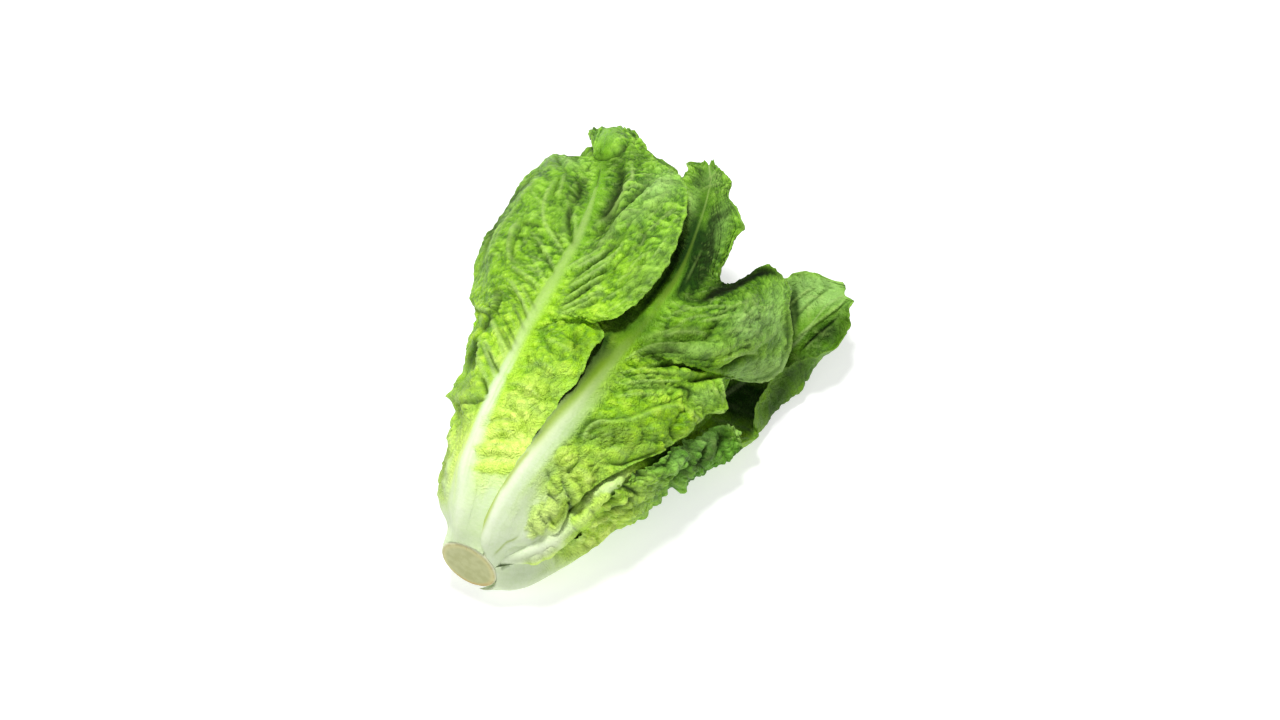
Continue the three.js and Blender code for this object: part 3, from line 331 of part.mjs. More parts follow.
    points: [
      -114.6,-4.6,23.4, -114.6,-2.8,21.2, -114.7,-1.1,19.7, -114.8,1.8,17.4, -114.9,2.6,17.4, -124.2,13.2,19.2, -119.9,13.8,27.3,
      -100,-11.8,28.9, -102.2,-8.2,25.7, -104.2,-4.4,23.2, -105.4,-0.5,21.4, -104.6,1.9,20.2, -103.4,5.2,20.1, -101.1,10.6,29.3,
      -81.8,-16.6,27.7, -86.4,-12.5,26, -90.6,-8,24.7, -93.2,-3.4,24, -90.7,0.8,23.9, -86.7,4.8,24.8, -82,8.6,26.7,
      -62.5,-19.3,26.5, -69.2,-14.8,24.8, -75.2,-10,23.8, -78.9,-4.6,23.6, -75.2,0.9,23.4, -69.2,6.4,24.1, -62.5,11.8,25.5,
      -43.9,-21.1,28.1, -51.9,-16.1,24.9, -59.1,-10.4,22.8, -63.5,-4,22.2, -59.1,3.2,22.5, -51.9,10.2,24.3, -43.9,16.8,27.3,
      -26.8,-23.2,31.3, -35.1,-17.5,27.1, -42.4,-10.7,24.1, -47,-2.7,22.7, -42.4,6.3,23.8, -35.1,14.8,26.6, -26.8,22.6,30.6,
      -11.3,-25.5,35.3, -18.9,-19.2,29.6, -25.6,-11.1,25.4, -29.8,-1,23.6, -25.6,10.1,25, -18.9,20,28.8, -11.3,28.6,34.3,
      2.8,-26.9,39.9, -3.2,-20.7,32.3, -8.4,-11.5,26.9, -11.7,0.9,24.4, -8.4,14.4,26.1, -3.2,25.6,30.9, 2.8,34.4,37.9,
      16.5,-27.5,42.8, 12.6,-21.4,34, 9.1,-11.2,27.7, 7,3.2,24.9, 9.1,18.5,26.7, 12.6,30.7,32, 16.5,39.6,39.9,
      31,-27.4,42.2, 29,-20.4,33.7, 27.3,-9.3,27.7, 26.2,5.9,25.1, 27.3,21.7,26.6, 29,34.4,31.7, 31,43.7,39.3,
      46.5,-23.2,37, 46.4,-15.1,30.8, 46.3,-4.4,26.6, 46.1,8.8,24.9, 46.3,22.4,25.9, 46.4,33.7,29.5, 46.5,42.8,35.2,
      62.4,-7.6,27, 64.6,-1.5,25.6, 66,4.9,24.7, 66.4,11.5,24.5, 66,18,24.7, 64.6,24.2,25.6, 62.4,30,27
    ] },
  { // heart leaf
    name: 'heart_leaf_18', rib: 0.4, rows: 12, cols: 7, facetRows: 13, facetCols: 7,
    points: [
      -111.6,11,30.9, -110.9,10.9,31, -110.6,9.8,32, -110.6,8,33.5, -110.6,5.8,34.8, -110.6,3.4,35.4, -110.6,0.7,35.4,
      -96.9,7,33.3, -98.9,7.3,34.5, -100.7,6.9,35.8, -101.9,5.4,37.1, -100.7,2.2,39.2, -98.9,-1.4,40.8, -96.8,-5.1,41.7,
      -79.6,10.9,37.8, -84,9.2,38.8, -87.9,7.3,40, -90.3,4.8,41.4, -87.9,1.8,43.9, -84,-1.2,46.3, -79.6,-4.2,48.3,
      -61.4,16.9,41.1, -67.7,14.2,42.8, -73.4,11,44.4, -76.9,7.2,46.1, -73.4,4.4,49.1, -67.7,1.5,51.9, -61.4,-1.6,54.1,
      -43.8,21.5,42.3, -51.4,19.3,45.3, -58.1,15.8,47.9, -62.3,11.3,50.2, -58.1,7.7,53.7, -51.4,3.7,56.4, -43.8,-0.9,58,
      -27.6,24.2,41.2, -35.5,22.7,45.4, -42.4,19.5,49.4, -46.8,14.7,53.1, -42.4,9.4,56.5, -35.5,3.7,58.8, -27.6,-2.3,59.9,
      -13.1,27.1,40, -20.2,26.3,45.2, -26.5,23.1,50.2, -30.4,17.4,54.8, -26.5,10.6,58.8, -20.2,3.2,60.9, -13.1,-4.5,61.6,
      0.3,29.2,38.2, -5.3,29.9,44.6, -10.3,27.2,50.8, -13.4,20.5,56.6, -10.3,11.7,60.8, -5.3,2.1,62.4, 0.3,-7.9,61.6,
      13.3,30.9,36.8, 9.6,33.3,44.1, 6.3,31.3,51.4, 4.2,24,58, 6.3,13.2,62.2, 9.6,1.6,63, 13.3,-10.2,60.7,
      26.9,33.4,36.7, 25.1,36.6,44.4, 23.5,35,51.9, 22.5,27.6,58.7, 23.5,16,62.8, 25.1,3.3,63.2, 26.9,-9.6,60.4,
      41.7,37,40, 41.6,39.2,46.7, 41.4,37.6,53.2, 41.2,31.3,58.9, 41.4,21.3,62.4, 41.6,10.1,63.1, 41.7,-1.6,61.4,
      57,40.9,50, 58.8,39.7,53.2, 60,37.7,56.2, 60.4,34.5,58.8, 60,30.1,60.8, 58.8,25,62.3, 57,19.4,63.4
    ] },
  { // heart leaf
    name: 'heart_leaf_19', rib: 0.35, rows: 12, cols: 7, facetRows: 13, facetCols: 7,
    points: [
      -106.6,-3.8,34.5, -106.6,-5.2,33, -106.6,-6,31.4, -106.6,-6.3,29.5, -106.6,-5.8,27.6, -106.6,-4.6,26.1, -106.6,-3,24.9,
      -93.9,-7.8,40.1, -95.8,-9.4,38.3, -97.5,-10.1,36, -98.6,-9.9,33.2, -97.5,-9.8,31.8, -95.8,-8.8,30.6, -93.9,-6.9,29.4,
      -78.1,-11.1,44, -82.2,-12.3,41.5, -85.8,-12.8,38.7, -88,-12.7,35.8, -85.8,-12.5,34, -82.2,-11.7,32.6, -78.1,-10.2,31.6,
      -61.4,-13.5,47.4, -67.2,-14.7,44.3, -72.4,-15.3,41.1, -75.7,-15.2,37.9, -72.4,-15.1,35.6, -67.2,-14.2,33.8, -61.4,-12.8,32.4,
      -45.3,-13.8,50.6, -52.2,-16.2,47.3, -58.4,-17.5,43.6, -62.3,-17.7,39.7, -58.4,-17.3,36.9, -52.2,-15.8,34.6, -45.3,-13.4,32.6,
      -30.4,-11.3,53.4, -37.6,-15.7,49.8, -44,-18.5,45.7, -48,-19.3,41.2, -44,-18.2,37.5, -37.6,-15.2,34.6, -30.4,-10.9,32.3,
      -17,-8.5,56.2, -23.6,-14.1,52.4, -29.4,-17.8,47.8, -33,-19,42.5, -29.4,-17.3,37.9, -23.6,-13.2,34.5, -17,-7.3,32,
      -4.8,-4.4,58.4, -9.9,-11.9,54.8, -14.5,-17,49.9, -17.4,-18.6,43.8, -14.5,-16,38.3, -9.9,-10,34.4, -4.8,-1.5,32,
      7.1,0.1,59.7, 3.7,-9.3,56.4, 0.7,-15.8,51.5, -1.2,-17.9,44.9, 0.7,-14.4,38.6, 3.7,-6.7,34.5, 7.1,4,32.5,
      19.7,3.1,60, 18,-7.3,57, 16.5,-14.4,52.1, 15.6,-16.9,45.5, 16.5,-13.2,39.1, 18,-4.9,34.9, 19.7,6.4,32.8,
      33.3,1.1,58.5, 33.1,-7.5,55.6, 33,-13.4,51.3, 32.8,-15.5,45.7, 33,-12.8,40.3, 33.1,-6.5,36.3, 33.3,2.3,33.7,
      47.6,-9.5,53.3, 49.1,-11.6,50.9, 50.1,-13,48.4, 50.4,-13.6,45.7, 50.1,-13.3,43.1, 49.1,-12.1,40.6, 47.6,-10.4,38.3
    ] },
  { // heart leaf
    name: 'heart_leaf_20', rib: 0.3, rows: 12, cols: 7, facetRows: 13, facetCols: 7,
    points: [
      -101.6,-0.6,26.9, -101.6,-0.3,27.5, -101.6,0.2,29.1, -101.6,2.2,31.4, -101.6,4.4,32.2, -101.6,5.2,32.3, -101.6,5.3,32.5,
      -90.3,-3.6,30.6, -92,-1.8,30.6, -93.5,-0.1,31.2, -94.5,1.6,32.1, -93.5,2.8,33.6, -92,3.3,35, -90.3,3.4,36.6,
      -76.2,-3.5,32.3, -79.8,-1.7,32.2, -83,0,32.5, -85,1.7,33.4, -83,3.1,35, -79.8,4.1,37, -76.2,4.8,39,
      -61.3,-1.9,32.8, -66.5,-0.2,32.9, -71.1,1.4,33.4, -74,3,34.5, -71.1,5,36.4, -66.5,6.7,38.6, -61.3,8.1,40.8,
      -46.9,-0.5,32.9, -53.1,1.5,33.2, -58.6,3.4,34.1, -62.1,5.2,35.5, -58.6,7.7,37.7, -53.1,9.9,40.2, -46.9,11.5,42.8,
      -33.7,-0.5,33.2, -40.1,2.6,33.3, -45.8,5.3,34.2, -49.3,7.7,36.1, -45.8,10.6,38.8, -40.1,12.6,41.9, -33.7,13.5,45.2,
      -21.7,-2,34.3, -27.6,2.4,34, -32.8,6.5,34.7, -36,10.1,36.8, -32.8,13,40.3, -27.6,14.2,44.2, -21.7,13.8,48.1,
      -10.8,-4.2,36.3, -15.4,1.7,35.1, -19.5,7.3,35.5, -22,12.3,37.8, -19.5,15.4,42, -15.4,15.6,46.5, -10.8,13.4,50.8,
      -0.2,-5.4,38.1, -3.2,1.6,36.1, -5.9,8.5,36.2, -7.6,14.6,38.7, -5.9,18,43.2, -3.2,17.8,48, -0.2,14.5,52.4,
      11,-4.3,38.2, 9.5,3.3,36.4, 8.2,10.8,36.6, 7.3,17.3,39.3, 8.2,21,43.7, 9.5,21.1,48.3, 11,18.3,52.8,
      23.2,1.9,36.8, 23.1,8.6,36.3, 22.8,14.8,37.2, 22.7,20.2,39.6, 22.8,23.7,43.1, 23.1,24.7,46.8, 23.2,23.7,50.6,
      36.4,16,35.8, 37.5,18.8,36.8, 38.2,21.2,38, 38.4,23.2,39.5, 38.2,25.3,41, 37.5,26.9,42.5, 36.4,27.9,44.2
    ] },
  { // heart leaf
    name: 'heart_leaf_21', rib: 0.25, rows: 12, cols: 7, facetRows: 13, facetCols: 7,
    points: [
      -96.6,-0.4,37.8, -96.6,-1.3,38.1, -96.6,-2.3,38.3, -96.6,-3.3,38.3, -96.6,-4.2,38, -96.5,-5.1,37.6, -96.5,-5.9,37.2,
      -86.7,-0.8,39.7, -88.2,-1.9,39.9, -89.5,-3,39.9, -90.3,-4.2,39.8, -89.5,-5.4,39.7, -88.1,-6.5,39.5, -86.6,-7.6,39.1,
      -74.3,-0,41.9, -77.5,-1.5,41.8, -80.3,-3,41.5, -82,-4.4,41.2, -80.3,-5.9,41.3, -77.5,-7.1,41.4, -74.3,-8.1,41.3,
      -61.2,1.5,44.1, -65.8,-0.4,43.8, -69.8,-2.3,43.4, -72.4,-4.2,42.9, -69.8,-5.8,43.1, -65.8,-7.1,43.2, -61.2,-8.1,43.2,
      -48.6,3.6,45.7, -54,1.3,45.6, -58.8,-1.2,45.3, -61.9,-3.6,44.8, -58.8,-5.5,44.8, -54,-6.9,44.6, -48.6,-8,44.2,
      -36.9,6,46.3, -42.6,3.2,46.7, -47.6,0.3,46.8, -50.7,-2.8,46.4, -47.6,-5.1,46.1, -42.6,-6.7,45.4, -36.9,-7.6,44.4,
      -26.4,8.2,45.9, -31.6,5.4,47.2, -36.1,2,47.9, -38.9,-1.7,47.9, -36.1,-4.7,47.2, -31.6,-6.4,45.8, -26.4,-7,43.9,
      -16.8,9.6,44.9, -20.9,7.4,47.3, -24.5,4,48.8, -26.7,-0.5,49.2, -24.5,-4.2,48.2, -20.9,-6.1,46.3, -16.8,-6.4,43.7,
      -7.5,11.2,44.7, -10.2,9.4,47.8, -12.5,5.9,49.8, -14,0.9,50.4, -12.5,-3.4,49.3, -10.2,-5.9,47.1, -7.5,-6.5,44.3,
      2.3,13.6,46.2, 1,11.3,49.1, -0.2,7.6,51, -0.9,2.4,51.4, -0.2,-2.2,50.4, 1,-5.2,48.4, 2.3,-6.7,45.6,
      13.2,15,49.3, 13,12.1,51.1, 12.8,8.5,52.1, 12.6,4.1,52.2, 12.8,0,51.5, 13,-3,50, 13.2,-5.1,47.9,
      25.1,11.8,53.1, 25.8,10,53.2, 26.3,8.1,53, 26.4,6,52.7, 26.3,4,52.4, 25.8,2,51.9, 25.1,0.2,51.2
    ] },
];

const interp = (x, xs, ys) => {
  if (x <= xs[0]) return ys[0];
  for (let i = 1; i < xs.length; i++) {
    if (x <= xs[i]) return ys[i - 1] + (ys[i] - ys[i - 1]) * (x - xs[i - 1]) / (xs[i] - xs[i - 1]);
  }
  return ys[ys.length - 1];
};

// Catmull-Rom through a list of vectors, at t from 0 to n-1.
function through(list, t) {
  const n = list.length;
  const i = Math.min(Math.max(Math.floor(t), 0), n - 2), f = t - i;
  const at = (k) => {
    if (k < 0) return list[0].clone().multiplyScalar(2).sub(list[1]);
    if (k > n - 1) return list[n - 1].clone().multiplyScalar(2).sub(list[n - 2]);
    return list[k];
  };
  const p0 = at(i - 1), p1 = at(i), p2 = at(i + 1), p3 = at(i + 2);
  const h = (a, b, c, d) => 0.5 * (2 * b + (c - a) * f + (2 * a - 5 * b + 4 * c - d) * f * f + (3 * b - a - 3 * c + d) * f * f * f);
  return new THREE.Vector3(h(p0.x, p1.x, p2.x, p3.x), h(p0.y, p1.y, p2.y, p3.y), h(p0.z, p1.z, p2.z, p3.z));
}

// The sheet of a leaf: facetRows x facetCols points, row by row.
function sheet(leaf) {
  const grid = [];
  for (let r = 0; r < leaf.rows; r++) {
    const row = [];
    for (let c = 0; c < leaf.cols; c++) {
      const k = 3 * (r * leaf.cols + c);
      row.push(new THREE.Vector3(leaf.points[k], leaf.points[k + 1], leaf.points[k + 2]));
    }
    grid.push(row);
  }
  const R = leaf.facetRows, C = leaf.facetCols;
  const out = [];
  for (let i = 0; i < R; i++) {
    const row = [];
    for (let c = 0; c < leaf.cols; c++) row.push(through(grid.map((g) => g[c]), i * (leaf.rows - 1) / (R - 1)));
    const fine = [];
    for (let j = 0; j < C; j++) fine.push(through(row, j * (leaf.cols - 1) / (C - 1)));
    out.push(fine);
  }
  return out;
}

// Back-of-the-leaf normals of a sheet.
function sheetNormals(S) {
  const R = S.length, C = S[0].length;
  return S.map((row, i) => row.map((p, j) => {
    const du = S[i][Math.min(j + 1, C - 1)].clone().sub(S[i][Math.max(j - 1, 0)]);
    const dv = S[Math.min(i + 1, R - 1)][j].clone().sub(S[Math.max(i - 1, 0)][j]);
    return du.cross(dv).normalize();
  }));
}

// A leaf as a closed body: blade thickness, plus the midrib down the middle.
// grow > 0 makes the slightly larger body that is cut out of the leaf inside it.
function leafSolid(leaf, grow = 0) {
  let S = sheet(leaf);
  const R = S.length, C = S[0].length, mid = (C - 1) / 2;
  const across = S.map((row) => {
    const x = new Array(C).fill(0);
    for (let j = mid + 1; j < C; j++) x[j] = x[j - 1] + row[j].distanceTo(row[j - 1]);
    for (let j = mid - 1; j >= 0; j--) x[j] = x[j + 1] + row[j].distanceTo(row[j + 1]);
    return x;
  });
  const N = sheetNormals(S);
  if (grow > 0) {
    const edge = (p, q) => p.clone().add(p.clone().sub(q).normalize().multiplyScalar(grow));
    S = S.map((row) => row.map((p, j) => (j === 0 ? edge(p, row[1]) : j === C - 1 ? edge(p, row[C - 2]) : p)));
    S = S.map((row, i) => row.map((p, j) => (i === 0 ? edge(p, S[1][j]) : i === R - 1 ? edge(p, S[R - 2][j]) : p)));
  }
  const pos = [];
  for (const side of [1, -1]) {
    for (let i = 0; i < R; i++) {
      const v = i / (R - 1);
      const ribH = interp(v, RIB_AT, RIB_HEIGHT) * leaf.rib;
      const ribW = interp(v, RIB_AT, RIB_HALF_WIDTH) * (0.55 + 0.45 * leaf.rib);
      for (let j = 0; j < C; j++) {
        const rib = ribH * Math.pow(Math.max(0, 1 - (across[i][j] / ribW) ** 2), 1.5);
        const d = side > 0 ? BLADE_T / 2 + RIB_OUTSIDE * rib + grow : -(BLADE_T / 2 + (1 - RIB_OUTSIDE) * rib + grow);
        const p = S[i][j].clone().addScaledVector(N[i][j], d);
        pos.push(p.x, p.y, p.z);
      }
    }
  }
  const n = R * C, tri = [];
  for (let i = 0; i < R - 1; i++) {
    for (let j = 0; j < C - 1; j++) {
      const a = i * C + j, b = a + 1, c = a + C, d = c + 1;
      if (S[i][j].distanceTo(S[i + 1][j + 1]) <= S[i][j + 1].distanceTo(S[i + 1][j])) {
        tri.push(a, b, d, a, d, c, n + a, n + d, n + b, n + a, n + c, n + d);
      } else {
        tri.push(a, b, c, b, d, c, n + a, n + c, n + b, n + b, n + c, n + d);
      }
    }
  }
  const rim = [];
  for (let j = 0; j < C; j++) rim.push(j);
  for (let i = 1; i < R; i++) rim.push(i * C + C - 1);
  for (let j = C - 2; j >= 0; j--) rim.push((R - 1) * C + j);
  for (let i = R - 2; i > 0; i--) rim.push(i * C);
  rim.forEach((a, k) => {
    const b = rim[(k + 1) % rim.length];
    tri.push(a, n + a, n + b, a, n + b, b);
  });
  return solid(pos, tri);
}

const wasm = await Module();
wasm.setup();
function solid(pos, tri) {
  return new wasm.Manifold(new wasm.Mesh({ numProp: 3, vertProperties: Float32Array.from(pos), triVerts: Uint32Array.from(tri) }));
}
function biggest(body) {
  const parts = body.decompose();
  return parts.reduce((a, b) => (b.volume() > a.volume() ? b : a));
}
function geometryOf(body) {
  const m = body.getMesh();
  const g = new THREE.BufferGeometry();
  const xyz = new Float32Array(m.numVert * 3);
  for (let i = 0; i < m.numVert; i++) for (let k = 0; k < 3; k++) xyz[3 * i + k] = m.vertProperties[i * m.numProp + k];
  g.setAttribute('position', new THREE.BufferAttribute(xyz, 3));
  g.setIndex(new THREE.BufferAttribute(Uint32Array.from(m.triVerts), 1));
  g.computeVertexNormals();
  return g;
}

// ---- the stem core ----------------------------------------------------------
function stemGeometry(grow = 0) {
  const pts = STEM_PROFILE.map(([x, r], i) => new THREE.Vector2(i === STEM_PROFILE.length - 1 ? 0 : r + grow, x + (i === 0 ? -grow : i === STEM_PROFILE.length - 1 ? grow : 0)));
  pts.unshift(new THREE.Vector2(0, pts[0].y));
  const g = new THREE.LatheGeometry(pts, STEM_SIDES);
  g.rotateZ(-Math.PI / 2);                                  // the lathe's axis becomes +X
  const p = g.attributes.position;
  for (let i = 0; i < p.count; i++) p.setZ(i, p.getZ(i) + STEM_RISE * p.getX(i));
  g.translate(STEM_X, STEM_Y, STEM_Z);
  return g;
}
function solidOf(geometry) {
  let g = geometry.clone();
  g.deleteAttribute('normal');
  g.deleteAttribute('uv');
  g = mergeVertices(g, 1e-4);
  const tri = [];
  const ix = g.index.array;
  for (let i = 0; i < ix.length; i += 3) {
    if (ix[i] !== ix[i + 1] && ix[i + 1] !== ix[i + 2] && ix[i] !== ix[i + 2]) tri.push(ix[i], ix[i + 1], ix[i + 2]);
  }
  return solid(g.attributes.position.array, tri);
}

const head = new THREE.Group();
head.name = 'romaine_head';
function add(name, body, colour, roughness) {
  const mesh = new THREE.Mesh(geometryOf(body), new THREE.MeshStandardMaterial({ color: colour, roughness, metalness: 0 }));
  mesh.name = name;
  head.add(mesh);
}

let stem = solidOf(stemGeometry());
if (stem.volume() < 0) throw new Error('the stem faces inwards');
const stemRoom = solidOf(stemGeometry(CLEARANCE));
add('stem', stem, STEM, 0.6);

// Each leaf gives way to the stem and to the leaves outside it.
const NUDGES = [[0, 0, 0], [0.3, 0, 0], [-0.3, 0, 0], [0, 0.3, 0], [0, -0.3, 0], [0, 0, 0.3], [0, 0, -0.3]];
const done = [];
LEAVES.forEach((leaf, k) => {
  let body = leafSolid(leaf);
  if (body.intersect(stem).volume() > 0.001) body = biggest(body.subtract(stemRoom));
  for (const other of done) {
    if (body.intersect(other.body).volume() > 0.001) body = biggest(body.subtract(other.room));
    if (body.intersect(other.body).volume() > 0.0001) {
      for (const d of NUDGES) body = biggest(body.subtract(other.body.translate(d)));
    }
  }
  done.push({ body, room: leafSolid(leaf, CLEARANCE) });
  const colour = k >= 16 ? HEART : k >= 11 ? LIME : (k === 0 || k === 3) ? DEEP : GREEN;
  add(leaf.name, body, colour, 0.55);
});

export default head;
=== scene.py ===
import bpy, math
import numpy as np
from mathutils import Vector, Matrix


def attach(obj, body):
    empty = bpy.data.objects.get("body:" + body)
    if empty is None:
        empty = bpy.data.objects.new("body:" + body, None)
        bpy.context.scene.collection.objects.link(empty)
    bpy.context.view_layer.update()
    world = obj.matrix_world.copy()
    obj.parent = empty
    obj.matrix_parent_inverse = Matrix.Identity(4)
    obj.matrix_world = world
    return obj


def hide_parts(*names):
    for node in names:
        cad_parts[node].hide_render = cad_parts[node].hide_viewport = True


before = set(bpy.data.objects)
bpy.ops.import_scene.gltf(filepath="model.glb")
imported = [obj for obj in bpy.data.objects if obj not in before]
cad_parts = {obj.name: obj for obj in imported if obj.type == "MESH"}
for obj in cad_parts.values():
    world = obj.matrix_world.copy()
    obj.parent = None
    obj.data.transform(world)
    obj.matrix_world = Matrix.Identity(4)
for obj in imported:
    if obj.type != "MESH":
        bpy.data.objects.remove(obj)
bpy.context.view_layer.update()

# A head of romaine lettuce. Leaves are sheets through the same grids of points as the solids
# (millimetres, from the base to the tip, margin to margin over the midrib), with the blisters,
# veins, folds and frilled margins of the real leaf added here. Everything is made in metres.

RIB_AT = [0, .05, .10, .25, .50, .75, 1.0]
RIB_HEIGHT = [.2, 3.6, 5.2, 5.0, 3.0, 1.5, .3]
RIB_HALF_WIDTH = [9, 13, 14, 11, 7, 4.5, 2.5]

STEM_X, STEM_Y, STEM_Z = -139.60, 5.30, 22.83
AMBIENT = 0.30
CAM_R = (0.469472, -0.882948, 0.0)
CAM_U = (0.676377, 0.359636, 0.642788)
CAM_F = (0.567548, 0.301771, -0.766044)
CAM_C = (-0.913698, -0.50715, 1.290015)

